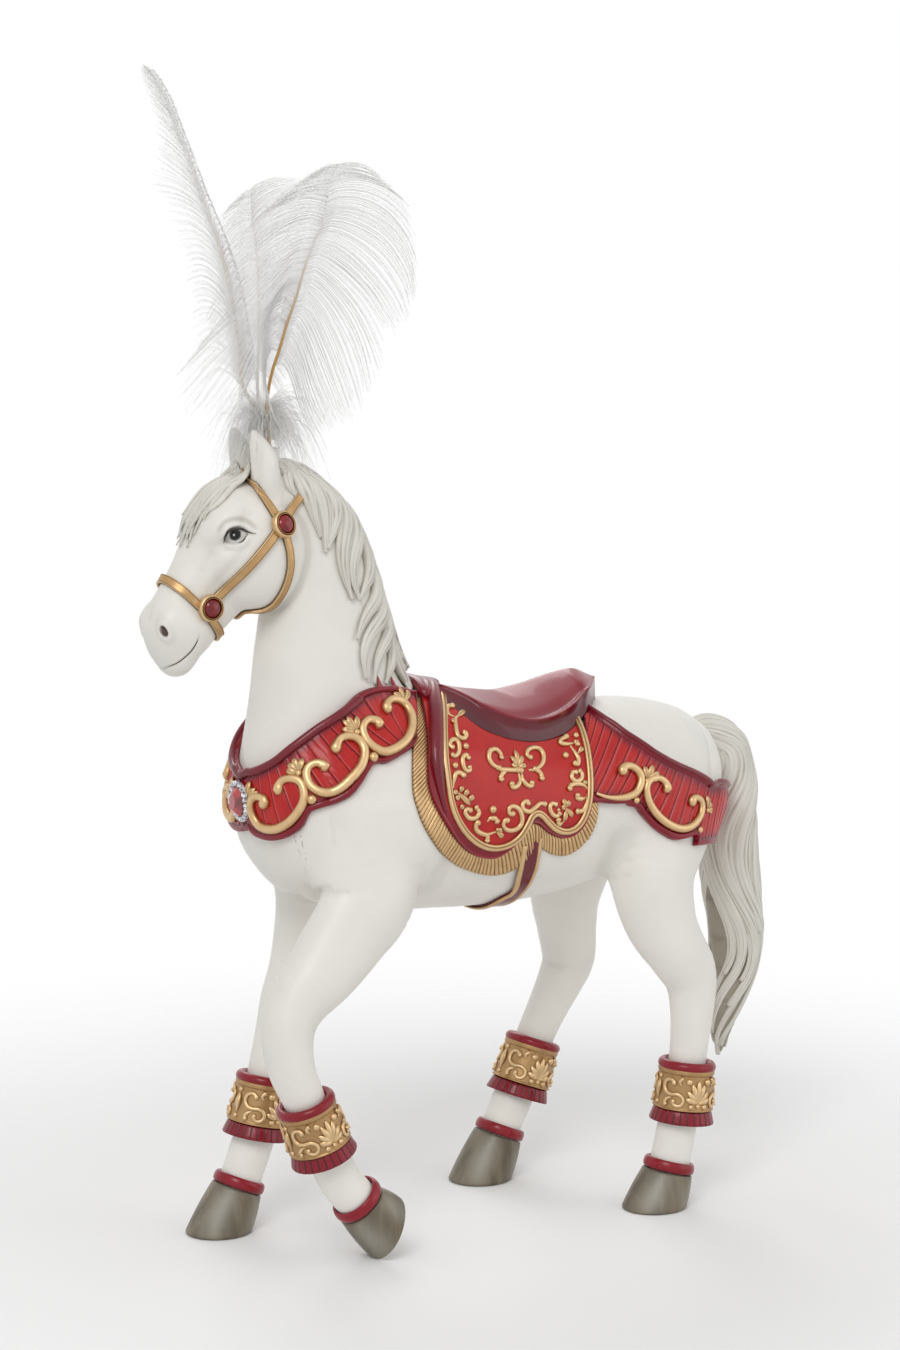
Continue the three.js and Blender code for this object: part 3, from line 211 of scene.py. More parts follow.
def makePiece(name, verts, faces, nodes, finish, values, smooth):
    # faces hold four corners; a triangle repeats its first corner last
    verts = np.asarray(verts, np.float32)
    faces = np.asarray(faces, np.int32)
    triangle = faces[:, 3] == faces[:, 0]
    sizes = np.where(triangle, 3, 4)
    keep = np.ones(faces.shape, bool)
    keep[triangle, 3] = False
    mesh = bpy.data.meshes.new(name)
    mesh.vertices.add(len(verts))
    mesh.vertices.foreach_set("co", verts.ravel())
    mesh.loops.add(int(sizes.sum()))
    mesh.loops.foreach_set("vertex_index", faces[keep])
    mesh.polygons.add(len(faces))
    mesh.polygons.foreach_set("loop_start", np.concatenate([[0], np.cumsum(sizes)[:-1]]).astype(np.int32))
    mesh.polygons.foreach_set("use_smooth", np.full(len(faces), smooth))
    mesh.update(calc_edges=True)
    for key, data in values.items():
        mesh.attributes.new(key, "FLOAT", "POINT").data.foreach_set("value", np.asarray(data, np.float32))
    mesh.validate()
    mesh.materials.append(finish.material)
    piece = bpy.data.objects.new(name, mesh)
    bpy.context.scene.collection.objects.link(piece)
    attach(piece, "root")
    if nodes:
        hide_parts(*nodes)
    print("made", name, len(verts), "points")
    return piece


class Sock:
    # a shader value that can be added, scaled and compared like a number
    def __init__(self, finish, out):
        self.finish, self.out = finish, out

    def calc(self, operation, *others):
        values = {i: v for i, v in enumerate(others)}
        return self.finish.node("Math", {"operation": operation}, values)

    def __add__(self, other):
        return self.calc("ADD", self, other)

    def __radd__(self, other):
        return self.calc("ADD", other, self)

    def __sub__(self, other):
        return self.calc("SUBTRACT", self, other)

    def __rsub__(self, other):
        return self.calc("SUBTRACT", other, self)

    def __mul__(self, other):
        return self.calc("MULTIPLY", self, other)

    def __rmul__(self, other):
        return self.calc("MULTIPLY", other, self)

    def clip(self):
        return self.finish.node("Clamp", {}, {"Value": self})

    def ramp(self, low, high):
        return self.finish.node("MapRange", {"clamp": True, "interpolation_type": "SMOOTHSTEP"},
                                {"Value": self, "From Min": low, "From Max": high})


class Finish:
    # one material: a Principled shader, and short calls for the nodes that feed it
    def __init__(self, name, **fixed):
        self.material = bpy.data.materials.new(name)
        self.material.use_nodes = True
        self.tree = self.material.node_tree
        self.shader = self.tree.nodes["Principled BSDF"]
        for socket, value in fixed.items():
            self.shader.inputs[socket.replace("_", " ")].default_value = value

    def node(self, kind, settings, values, pick=0):
        made = self.tree.nodes.new("ShaderNode" + kind)
        for key, value in settings.items():
            setattr(made, key, value)
        for key, value in values.items():
            self.feed(made.inputs[key], value)
        return Sock(self, made.outputs[pick])

    def feed(self, socket, value):
        if isinstance(value, Sock):
            self.tree.links.new(value.out, socket)
        elif isinstance(value, (tuple, list)) and socket.type == "RGBA":
            socket.default_value = (*value, 1) if len(value) == 3 else value
        else:
            socket.default_value = value

    def place(self):
        return self.node("TexCoord", {}, {}, pick=3)

    def value(self, name):
        return self.node("Attribute", {"attribute_name": name}, {}, pick=2)

    def noise(self, scale, detail=3.0, stretch=None):
        vector = self.place()
        if stretch:
            vector = self.node("Mapping", {}, {"Vector": vector, "Scale": stretch})
        return self.node("TexNoise", {}, {"Vector": vector, "Scale": scale, "Detail": detail,
                                          "Roughness": 0.55})

    def blend(self, factor, first, second):
        made = self.tree.nodes.new("ShaderNodeMix")
        made.data_type = "RGBA"
        for key, value in ((0, factor), (6, first), (7, second)):
            self.feed(made.inputs[key], value)
        return Sock(self, made.outputs[2])

    def bump(self, height, strength, distance):
        return self.node("Bump", {}, {"Height": height, "Strength": strength, "Distance": distance})

    def colour(self, value):
        self.feed(self.shader.inputs["Base Color"], value)

    def rough(self, value):
        self.feed(self.shader.inputs["Roughness"], value)

    def relief(self, value):
        self.feed(self.shader.inputs["Normal"], value)


# The figure: each limb is an elliptical tube along a smooth line of stations
# [x, y, z, half depth, half width], and the whole is their soft union
sideways = np.array([0, 1.0, 0])


class Limb:
    def __init__(self, stations, samples=48, tips=(0.5, 0.5)):
        rows = flow(stations, samples)
        self.centre = rows[:, :3] * chestDepth + origin
        self.size = np.maximum(rows[:, 3:5], 0.004) * chestDepth
        self.along = unit(np.gradient(self.centre, axis=0))
        self.across = unit(np.cross(sideways, self.along))
        self.side = np.cross(self.along, self.across)
        self.cap = np.linspace(*tips, samples)  # length of the rounded ends, as a share of the width
        self.step = np.diff(self.centre, axis=0)
        self.stepSquare = (self.step ** 2).sum(1)

    def distance(self, points):
        # distance to the nearest place on the line, less the ellipse's radius in that direction
        reach = self.size.max() + 22 * mm
        near = np.all((points > self.centre.min(0) - reach) & (points < self.centre.max(0) + reach),
                      axis=1)
        out = np.full(len(points), 60 * mm)
        p = points[near]
        if not len(p):
            return out
        a = self.centre[:-1]
        dots = p @ self.step.T - (a * self.step).sum(1)
        t = np.clip(dots / self.stepSquare, 0, 1)
        square = ((p ** 2).sum(1)[:, None] - 2 * p @ a.T + (a ** 2).sum(1)
                  + t * (t * self.stepSquare - 2 * dots))
        i = square.argmin(1)
        t = t[np.arange(len(p)), i][:, None]
        mix = lambda rows: rows[i] * (1 - t) + rows[i + 1] * t
        off = p - mix(self.centre)
        size = mix(self.size)
        u = (off * mix(self.across)).sum(1)
        v = (off * mix(self.side)).sum(1)
        w = (off * mix(self.along)).sum(1)
        cap = np.maximum(self.cap[i] * size[:, 1], 1 * mm)
        r = np.sqrt((u / size[:, 0]) ** 2 + (v / size[:, 1]) ** 2 + (w / cap) ** 2)
        q = np.sqrt(u * u + v * v + w * w)
        out[near] = q - q / np.maximum(r, 0.05)
        return out

    def rings(self, count, sides, shrink=0.0):
        rows = np.linspace(0, len(self.centre) - 1, count).astype(int)
        turn = np.linspace(0, 2 * np.pi, sides, endpoint=False)
        a = np.maximum(self.size[rows] - shrink, 0.3 * mm)
        return (self.centre[rows, None]
                + self.across[rows, None] * (a[:, 0, None] * np.cos(turn))[..., None]
                + self.side[rows, None] * (a[:, 1, None] * np.sin(turn))[..., None])


def midline(rows):
    return [(x, 0, z, depth, width) for x, z, depth, width in rows]


foreLeft = [
    (-0.74, -0.20, 1.80, 0.24, 0.20), (-0.76, -0.26, 1.60, 0.22, 0.15),
    (-0.765, -0.29, 1.47, 0.20, 0.145), (-0.855, -0.31, 1.36, 0.178, 0.135),
    (-0.975, -0.325, 1.23, 0.155, 0.125), (-1.085, -0.33, 1.12, 0.126, 0.112),
    (-1.136, -0.33, 1.03, 0.113, 0.106), (-1.145, -0.33, 0.93, 0.104, 0.098),
    (-1.125, -0.33, 0.825, 0.094, 0.088), (-1.075, -0.33, 0.709, 0.085, 0.082),
    (-1.015, -0.33, 0.559, 0.083, 0.080), (-0.955, -0.33, 0.44, 0.086, 0.083),
    (-0.90, -0.33, 0.34, 0.086, 0.085), (-0.82, -0.33, 0.25, 0.086, 0.086),
]
foreRight = [
    (-0.70, 0.20, 1.80, 0.24, 0.20), (-0.715, 0.245, 1.55, 0.17, 0.14),
    (-0.715, 0.26, 1.37, 0.135, 0.125), (-0.753, 0.28, 1.12, 0.116, 0.110),
    (-0.80, 0.30, 0.95, 0.108, 0.104), (-0.84, 0.31, 0.80, 0.093, 0.090),
    (-0.90, 0.31, 0.58, 0.085, 0.083), (-0.94, 0.31, 0.42, 0.087, 0.084),
    (-0.985, 0.31, 0.30, 0.086, 0.086), (-1.03, 0.31, 0.19, 0.086, 0.086),
]
hindLeft = [
    (0.72, -0.17, 1.76, 0.30, 0.20), (0.66, -0.25, 1.58, 0.25, 0.165), (0.615, -0.31, 1.41, 0.19, 0.145),
    (0.643, -0.335, 1.24, 0.159, 0.128), (0.717, -0.35, 1.10, 0.130, 0.112),
    (0.786, -0.35, 0.985, 0.114, 0.098), (0.798, -0.35, 0.862, 0.097, 0.088),
    (0.789, -0.35, 0.734, 0.084, 0.080), (0.775, -0.35, 0.62, 0.080, 0.078),
    (0.75, -0.35, 0.457, 0.082, 0.079), (0.73, -0.35, 0.373, 0.084, 0.082),
    (0.705, -0.35, 0.26, 0.085, 0.083), (0.68, -0.35, 0.165, 0.086, 0.086),
]
hindRight = [
    (0.70, 0.17, 1.74, 0.30, 0.20), (0.63, 0.25, 1.52, 0.22, 0.16), (0.60, 0.31, 1.27, 0.165, 0.14),
    (0.63, 0.35, 1.105, 0.135, 0.12), (0.66, 0.38, 0.952, 0.120, 0.105),
    (0.625, 0.39, 0.85, 0.104, 0.095), (0.565, 0.40, 0.733, 0.090, 0.085),
    (0.497, 0.40, 0.607, 0.083, 0.080), (0.43, 0.40, 0.439, 0.085, 0.080),
    (0.375, 0.40, 0.335, 0.088, 0.084), (0.335, 0.40, 0.26, 0.086, 0.085),
    (0.31, 0.40, 0.20, 0.086, 0.086),
]
torsoLimbs = [
    Limb(midline([
        (-0.95, 1.812, 0.345, 0.325), (-0.84, 1.82, 0.40, 0.37), (-0.62, 1.82, 0.44, 0.395),
        (-0.38, 1.80, 0.45, 0.40), (-0.12, 1.755, 0.42, 0.405), (0.14, 1.735, 0.395, 0.405),
        (0.38, 1.76, 0.38, 0.40), (0.60, 1.80, 0.35, 0.385), (0.80, 1.79, 0.325, 0.35),
        (0.90, 1.765, 0.295, 0.30),
    ]), tips=(0.53, 0.63)), Limb(midline([
        (-0.74, 1.95, 0.40, 0.30), (-0.77, 2.15, 0.36, 0.26), (-0.795, 2.35, 0.305, 0.21),
        (-0.805, 2.55, 0.27, 0.18), (-0.83, 2.75, 0.225, 0.165), (-0.89, 2.93, 0.20, 0.15),
        (-0.97, 3.05, 0.17, 0.14), (-1.03, 3.10, 0.12, 0.11),
    ])),
    Limb(foreLeft, 60), Limb(foreRight, 50), Limb(hindLeft, 56), Limb(hindRight, 56),
]

# The head's own axis runs from the poll down to the muzzle at 45 degrees
pollX, pollZ = -1.00, 3.03
diagonal = 1 / math.sqrt(2)


def headSpot(rows):
    # (along, up, side) shares of the head become places; the left side is negative
    rows = np.atleast_2d(np.asarray(rows, float))
    along, up, side = rows[:, 0], rows[:, 1], rows[:, 2]
    return spots(np.stack([pollX - (along + up) * diagonal, side, pollZ - (along - up) * diagonal], 1))


def headShares(points):
    off = (points - spots([pollX, 0, pollZ])) / chestDepth
    return (-off[:, 0] - off[:, 2]) * diagonal, (off[:, 2] - off[:, 0]) * diagonal, off[:, 1]


def headLine(rows):
    # (along, top, bottom, half width) of a part of the head
    out = []
    for along, top, bottom, width in rows:
        middle = (top + bottom) / 2
        out.append((pollX - (along + middle) * diagonal, 0, pollZ - (along - middle) * diagonal,
                    (top - bottom) / 2, width))
    return out


skull = Limb(headLine([
    (-0.04, 0.13, -0.10, 0.10), (0.06, 0.21, -0.17, 0.135), (0.15, 0.25, -0.19, 0.155),
    (0.25, 0.245, -0.18, 0.155), (0.35, 0.212, -0.17, 0.135), (0.45, 0.183, -0.16, 0.112),
    (0.55, 0.160, -0.155, 0.100), (0.62, 0.130, -0.155, 0.101), (0.675, 0.100, -0.140, 0.100),
]), tips=(0.5, 0.78))
# Rounded masses of the head: (along, up, side), radii in the same order
headMasses = [
    ((0.215, -0.040, 0.078), (0.205, 0.215, 0.102)),   # cheek
    ((0.640, 0.000, 0.040), (0.092, 0.110, 0.078)),    # muzzle
    ((0.728, -0.092, 0.0), (0.062, 0.056, 0.076)),     # chin
    ((0.722, -0.035, 0.0), (0.058, 0.080, 0.080)),     # lips
    ((0.652, 0.055, 0.084), (0.056, 0.050, 0.034)),    # nostril flare
    ((0.225, 0.170, 0.085), (0.110, 0.065, 0.085)),    # brow
]
# Ears [x, y, z, half depth, half width], left side
earLine = [
    (-1.075, -0.075, 3.07, 0.050, 0.050), (-1.09, -0.085, 3.15, 0.060, 0.055),
    (-1.10, -0.09, 3.22, 0.056, 0.050), (-1.125, -0.088, 3.29, 0.038, 0.034),
    (-1.14, -0.083, 3.335, 0.016, 0.014), (-1.146, -0.08, 3.352, 0.006, 0.006),
]
ears = [Limb(earLine, 30), Limb(mirrorRows(earLine), 30)]
earHollow = [
    (-1.155, -0.120, 3.12, 0.020, 0.016), (-1.168, -0.128, 3.18, 0.034, 0.026),
    (-1.172, -0.128, 3.24, 0.032, 0.022), (-1.168, -0.112, 3.30, 0.014, 0.010),
]
hollows = [Limb(earHollow, 20), Limb(mirrorRows(earHollow), 20)]

# Soft swellings (+) and dents (-) of the flesh: place shares, radii shares, height in mm
swells = [
    ((-0.98, -0.27, 1.66), (0.20, 0.12, 0.17), 1.6),    # breast
    ((-0.62, -0.40, 1.62), (0.20, 0.12, 0.22), 1.8),    # shoulder
    ((-0.44, -0.42, 1.46), (0.05, 0.14, 0.16), -2.6),   # behind the elbow
    ((-0.99, -0.20, 1.50), (0.07, 0.10, 0.10), -1.8),   # between the breast and the fore leg
    ((-0.93, -0.28, 2.42), (0.10, 0.14, 0.50), 0.7),    # windpipe side
    ((-0.72, -0.28, 2.20), (0.10, 0.12, 0.16), -0.8),
    ((0.40, -0.40, 1.52), (0.08, 0.14, 0.16), -2.4),    # flank
    ((0.62, -0.44, 1.66), (0.17, 0.12, 0.22), 1.8),     # thigh
    ((0.52, -0.40, 1.44), (0.09, 0.12, 0.12), 1.3),     # stifle
    ((0.92, -0.26, 1.60), (0.12, 0.12, 0.20), 1.2),     # buttock
    ((0.86, -0.38, 1.10), (0.05, 0.10, 0.12), 1.0),     # hock point
    ((0.79, -0.42, 1.02), (0.04, 0.06, 0.10), -0.8),
    ((-1.20, -0.36, 1.03), (0.06, 0.09, 0.08), 0.9),    # left knee
    ((-1.05, -0.42, 1.00), (0.05, 0.06, 0.10), -0.7),
    ((0.10, -0.30, 2.10), (0.60, 0.20, 0.10), 0.6),     # along the back
]


def softUnion(distances, blend):
    low = np.minimum.reduce(distances)
    return low - blend * np.log(sum(np.exp(-(d - low) / blend) for d in distances))


def polylineDistance(points, line):
    # distance to a line and the share of the way along it
    a, step = line[:-1], np.diff(line, axis=0)
    dots = points @ step.T - (a * step).sum(1)
    length = (step ** 2).sum(1)
    t = np.clip(dots / length, 0, 1)
    square = ((points ** 2).sum(1)[:, None] - 2 * points @ a.T + (a ** 2).sum(1)
              + t * (t * length - 2 * dots))
    i = square.argmin(1)
    rows = np.arange(len(points))
    return np.sqrt(np.maximum(square[rows, i], 0)), (i + t[rows, i]) / len(step)


def massDistance(points, centre, radii):
    s, h, y = headShares(points)
    q = np.stack([(s - centre[0]) / radii[0], (h - centre[1]) / radii[1],
                  (np.abs(y) - centre[2]) / radii[2]], 1)
    r = np.maximum(np.linalg.norm(q, axis=1), 1e-3)
    return (r - 1) * chestDepth * (r / np.linalg.norm(q / radii, axis=1))


def torsoField(points):
    field = softUnion([limb.distance(points) for limb in torsoLimbs], 2.6 * mm)
    p = (points - origin) / chestDepth
    for place, radii, height in swells:
        off = np.stack([p[:, 0], -np.abs(p[:, 1]), p[:, 2]], 1) - place
        field -= height * mm * np.exp(-((off / radii) ** 2).sum(1))
    return field


def headField(points):
    parts = [skull.distance(points)] + [massDistance(points, *mass) for mass in headMasses]
    field = softUnion(parts, 1.8 * mm)
    s, h, y = headShares(points)
    side = np.abs(y)
    # hollow under the cheekbone, the eye's orbit and the flat of the nose
    field += 1.5 * mm * bell(s, 0.42, 0.10) * bell(h, 0.02, 0.07) * steps(side, 0.03, 0.09)
    field += 2.2 * mm * bell(s, 0.262, 0.058) * bell(h, 0.128, 0.042) * steps(side, 0.06, 0.12)
    field += 0.9 * mm * bell(s, 0.16, 0.045) * bell(h, 0.145, 0.05) * steps(side, 0.06, 0.12)
    cheekbone = 0.9 * mm * bell(s, 0.34, 0.10) * bell(h, 0.085 - 0.12 * (s - 0.34), 0.022)
    field -= cheekbone * steps(side, 0.05, 0.11)
    field -= 0.5 * mm * bell(s, 0.50, 0.20) * bell(side, 0.085, 0.03) * steps(h, 0.04, 0.12)
    return field


def bodyField(points):
    out = np.empty(len(points))
    for start in range(0, len(points), 16000):
        p = points[start:start + 16000]
        torso = torsoField(p)
        field = torso
        head = np.flatnonzero(np.all(np.abs(p - headSpot([(0.36, 0.0, 0.0)])) < 62 * mm, axis=1))
        if len(head):
            q = p[head]
            field = torso.copy()
            skin = softUnion([headField(q), torso[head]], 1.3 * mm)
            earField = softUnion([skin] + [ear.distance(q) for ear in ears], 1.2 * mm)
            hollow = np.minimum.reduce([part.distance(q) for part in hollows])
            brim = 0.5 * mm * np.exp(-(np.abs(earField + hollow) / (1 * mm)))
            field[head] = np.maximum(earField, -hollow) + brim
        out[start:start + 16000] = field
    return out


def slopes(points, reach=0.5 * mm):
    # the field's gradient from the four corners of a tetrahedron round each point
    corners = np.array([(1, -1, -1), (-1, -1, 1), (-1, 1, -1), (1, 1, 1)]) * reach
    return sum(corner * bodyField(points + corner)[:, None] for corner in corners) / (4 * reach ** 2)


def seat(points, height, rounds, normals=False):
    # move points onto the surface that lies a height above the flesh
    points = np.array(points, float).reshape(-1, 3)
    height = np.broadcast_to(np.asarray(height, float).ravel() if np.ndim(height) else height,
                             (len(points),))
    for turn in range(rounds):
        if turn % 2 == 0:
            slope = slopes(points)
            square = np.maximum((slope ** 2).sum(1), 0.25)
        move = ((bodyField(points) - height) / square)[:, None] * slope
        size = np.linalg.norm(move, axis=1, keepdims=True)
        points -= move * np.minimum(1, 6 * mm / np.maximum(size, 1e-9))
    if normals:
        return points, unit(slopes(points, 0.8 * mm))
    return points


def sculpt(name, limbs, voxel):
    # lofts joined by a voxel remesh give an even net, which is then drawn onto the field
    verts, faces, count = [], [], 0
    lat = np.linspace(-1.5, 1.5, 14)[:, None]
    lon = np.linspace(0, 2 * np.pi, 20, endpoint=False)
    balls = [headSpot(np.stack([centre[0] + radii[0] * np.sin(lat) + 0 * lon,
                                centre[1] + radii[1] * np.cos(lat) * np.cos(lon),
                                side * centre[2] + radii[2] * np.cos(lat) * np.sin(lon)],
                                -1).reshape(-1, 3)
                      ).reshape(14, 20, 3) for centre, radii in headMasses for side in (-1, 1)]
    for rings in [limb.rings(26, 20) for limb in limbs] + balls:
        v, f = closedTube(rings, count)
        verts.append(v)
        faces.append(f)
        count += len(v)
    base = bpy.data.meshes.new(name)
    rows = [list(dict.fromkeys(row)) for row in np.vstack(faces).tolist()]
    base.from_pydata(np.vstack(verts).tolist(), [], rows)
    holder = bpy.data.objects.new(name, base)
    bpy.context.scene.collection.objects.link(holder)
    remesh = holder.modifiers.new("even", "REMESH")
    remesh.mode = "VOXEL"
    remesh.voxel_size = voxel
    even = bpy.data.meshes.new_from_object(holder.evaluated_get(bpy.context.evaluated_depsgraph_get()))
    bpy.data.objects.remove(holder)
    bpy.data.meshes.remove(base)
    return even


def coordinates(mesh):
    flat = np.empty(len(mesh.vertices) * 3, np.float32)
    mesh.vertices.foreach_get("co", flat)
    return flat.reshape(-1, 3).astype(float)


def refine(mesh, chosen):
    # split the faces whose every corner is chosen
    net = bmesh.new()
    net.from_mesh(mesh)
    net.verts.ensure_lookup_table()
    edges = [e for e in net.edges if chosen[e.verts[0].index] and chosen[e.verts[1].index]]
    bmesh.ops.subdivide_edges(net, edges=edges, cuts=1, use_grid_fill=True)
    bmesh.ops.triangulate(net, faces=[f for f in net.faces if len(f.verts) > 4])
    net.to_mesh(mesh)
    net.free()


def relax(mesh, points, rounds, share):
    # each point moves towards the mean of its neighbours
    edges = np.empty(len(mesh.edges) * 2, np.int32)
    mesh.edges.foreach_get("vertices", edges)
    a, b = edges.reshape(-1, 2).T
    degree = np.bincount(np.concatenate([a, b]), minlength=len(points))[:, None]
    for _ in range(rounds):
        total = np.stack([np.bincount(a, row[b], len(row)) + np.bincount(b, row[a], len(row))
                          for row in points.T], 1)
        points = points + share * (total / degree - points)
    return points


body = sculpt("flesh", torsoLimbs + [skull] + ears, 1.56 * mm)
flesh = coordinates(body)
s, h, y = headShares(flesh)
refine(body, (s > -0.12) & (s < 0.95) & (h > -0.30) & (h < 0.36) & ((s > 0.1) | (h > -0.2)))
flesh = coordinates(body)
s, h, y = headShares(flesh)
eyeAlong, eyeUp = 0.247, 0.136
refine(body, np.hypot(s - eyeAlong, h - eyeUp) < 0.10 * np.where(np.abs(y) > 0.04, 1, 0))
flesh = coordinates(body)
flesh = seat(flesh, 0, 3)
flesh = relax(body, flesh, 3, 0.5)
flesh = seat(flesh, 0, 2)
print("flesh", len(flesh), "points", len(body.polygons), "faces")

# Gold, red and burgundy paint. "recess" is 1 where dark wash and painted shade lie in grooves, under rods
# and inside things, "edge" 1 where the paint is darker, as painted shade near the edges of bands and as a
# darker tone of whole pieces, and the highlight value 1 where a painted highlight lightens crowns and
# ridges
def gilding(name):
    made = Finish(name, Metallic=0.75)
    deep = made.value("recess")
    dustAndShade = made.noise(260, 3)
    light = made.blend(dustAndShade.ramp(0.3, 0.75), (0.53, 0.325, 0.145), (0.66, 0.43, 0.21))
    # painted highlight: pale gold where the highlight value is high, on crowns, ridges and rims
    light = made.blend(made.value("rub").clip(), light, (0.86, 0.68, 0.42))
    # dark brown where recess is high: dark wash and painted shade in grooves and under rods, speckled by
    # the noise
    made.colour(made.blend((deep * 1.1 + dustAndShade * 0.25 - 0.12).clip(), light, (0.12, 0.055, 0.016)))
    made.rough((deep * 0.2 + dustAndShade * 0.16 + 0.27).clip())
    made.relief(made.bump(made.noise(900, 2), 0.12, 0.0002))
    return made


gold = gilding("antique gold")

red = Finish("scarlet paint", IOR=1.5, Coat_Roughness=0.09, Coat_Weight=0.3)
red.shader.inputs["Specular IOR Level"].default_value = 0.25
mottle = red.noise(90, 4)
scarlet = red.blend(mottle.ramp(0.35, 0.72), (0.46, 0.007, 0.006), (0.54, 0.013, 0.007))
crimson = red.blend(mottle.ramp(0.3, 0.7), (0.19, 0.002, 0.010), (0.26, 0.004, 0.018))
# edge turns scarlet into crimson: painted shade near the edges of bands, and the darker tone of whole
# pieces
shaded = red.blend((red.value("edge") * 1.1 + mottle * 0.3 - 0.15).clip(), scarlet, crimson)
# painted highlight: pink on ridges and crowns
shaded = red.blend(red.value("rub").clip(), shaded, (0.74, 0.16, 0.18))
# painted shade and dark wash: near black in grooves and under rods
red.colour(red.blend((red.value("recess") * 1.1).clip(), shaded, (0.085, 0.001, 0.006)))
red.rough(mottle * 0.16 + 0.27)
red.relief(red.bump(red.noise(420, 3), 0.10, 0.0003))

burgundy = Finish("burgundy paint", IOR=1.5, Coat_Roughness=0.10, Coat_Weight=0.35)
burgundy.shader.inputs["Specular IOR Level"].default_value = 0.3
rubbed = burgundy.noise(60, 4)
wine = burgundy.blend(rubbed.ramp(0.3, 0.75), (0.17, 0.003, 0.012), (0.23, 0.006, 0.019))
# edge darkens towards near black: painted shade low on the saddle's wall, and a darker tone on the rolls
# and the girth
wine = burgundy.blend((burgundy.value("edge") * 1.1).clip(), wine, (0.045, 0.003, 0.009))
# painted highlight: rosy on the saddle's top and along its rim
burgundy.colour(burgundy.blend(burgundy.value("rub").clip(), wine, (0.36, 0.025, 0.045)))
burgundy.rough(rubbed * 0.14 + 0.25)
burgundy.relief(burgundy.bump(burgundy.noise(420, 3), 0.08, 0.0003))

# Tracing: places on the left side are pixels of the 900 by 1350 picture, laid on the figure along
# the line of sight
eyePoint = target + 1.5 * view
right = unit(np.cross(-view, [0, 0, 1]))
upright = np.cross(right, -view)
focus = 95.2 / 36 * 1350
tackHeight = 2.95 * mm     # top of the collar and the breeching above the flesh
clothHeight = 2.75 * mm
underside = 0.2 * mm


def sightLines(pixels):
    pixels = np.asarray(pixels, float).reshape(-1, 2)
    u, v = pixels[:, :1] - 450, pixels[:, 1:] - 675
    return unit(-view + right * (u / focus) - upright * (v / focus))


def traced(pixels, height):
    rays = sightLines(pixels)
    points = eyePoint + rays * 1.30
    nearest, found = np.full(len(points), np.inf), points.copy()
    for _ in range(24):
        gap = bodyField(points) - height
        better = np.abs(gap) < nearest
        nearest[better], found[better] = np.abs(gap)[better], points[better]
        points = points + rays * np.clip(gap * 0.95, -6 * mm, 40 * mm)[:, None]
    missed = nearest > 0.1 * mm
    if missed.any():
        found[missed] = seat(found[missed], np.broadcast_to(height, missed.shape)[missed], 3)
    return found


def mirrored(points):
    points = np.array(points, float)
    points[..., 1] = 2 * origin[1] - points[..., 1]
    return points


bothHands = (("left", np.array), ("right", mirrored))


def aimOver(normals, hand):
    # directions mirror without the shift of the middle plane
    return mirrored(normals + origin) - origin if hand == "right" else normals


def rodRings(line, radii, normals, sides=10, squash=1.0, crease=0.0):
    # circles square to the line; squash flattens them towards the normal, crease cuts a valley on top
    along = unit(np.gradient(line, axis=0))
    side = unit(np.cross(along, normals))
    up = np.cross(side, along)
    turn = np.linspace(0, 2 * np.pi, sides, endpoint=False)
    r = np.asarray(radii, float)[:, None] * (1 - crease * np.exp(-((turn - np.pi / 2) / 0.42) ** 2))
    return (line[:, None] + side[:, None] * (r * np.cos(turn))[..., None]
            + up[:, None] * (r * np.sin(turn) * squash)[..., None])


def ribbon(build, line, radii, height, sides=12, squash=0.9, crease=0.0, low=-0.35, **values):
    # a rod lying at a height above the flesh, with painted shade on its underside and a painted highlight
    # on its crown
    line, normals = seat(line, height + 0.45 * np.asarray(radii), 3, normals=True)
    rings = rodRings(line, radii, normals, sides, squash, crease)
    turn = np.linspace(0, 2 * np.pi, sides, endpoint=False)
    valley = np.exp(-((turn - np.pi / 2) / 0.3) ** 2)
    recess = np.clip((low + 0.5 - np.sin(turn)) * 1.3, 0, 1) + crease * 1.6 * valley
    values = {"recess": recess[None], "rub": 0.35 * np.clip(np.sin(turn), 0, 1)[None] ** 3, **values}
    build.tube(rings, **{k: np.broadcast_to(v, rings.shape[:2]) for k, v in values.items()})


def swell(count, size, knob=1.3, waist=0.72):
    # radii of a scroll: a knob at each curled end and the full width halfway
    t = np.linspace(0, 1, count)
    body = waist + (1 - waist) * np.sin(np.pi * t) ** 0.8
    ends = (knob - waist) * (bell(t, 0, 0.055) + bell(t, 1, 0.055))
    return size * (body + ends) * np.sqrt(np.clip(t / 0.03, 0.03, 1) * np.clip((1 - t) / 0.03, 0.03, 1))


def hook(count, size, knob=1.3, thin=0.4):
    # radii of a curl that starts slim and ends in a knob
    t = np.linspace(0, 1, count)
    r = thin + (1 - thin) * steps(t, 0, 0.5) + (knob - 1) * bell(t, 0.96, 0.06)
    return size * r * np.sqrt(np.clip((1 - t) / 0.03, 0.03, 1))


def leaf(count, size):
    # radii of a teardrop: widest two thirds of the way to its tip
    t = np.linspace(0, 1, count)
    return size * np.clip(np.sin(np.pi * t ** 1.35) ** 0.75, 0.12, 1)


def petal(build, root, tip, width, height):
    line = root + (tip - root) * np.linspace(0, 1, 12)[:, None]
    ribbon(build, line, leaf(12, width), height, 12, 0.8, 0.3)


def bead(build, place, radius, height):
    place, normal = seat(place, height + 0.35 * radius, 3, normals=True)
    # the bead is painted a little lighter as a highlight
    build.ball(place[0], radius, normal[0], 0.9, 14, recess=0.0, rub=0.2)


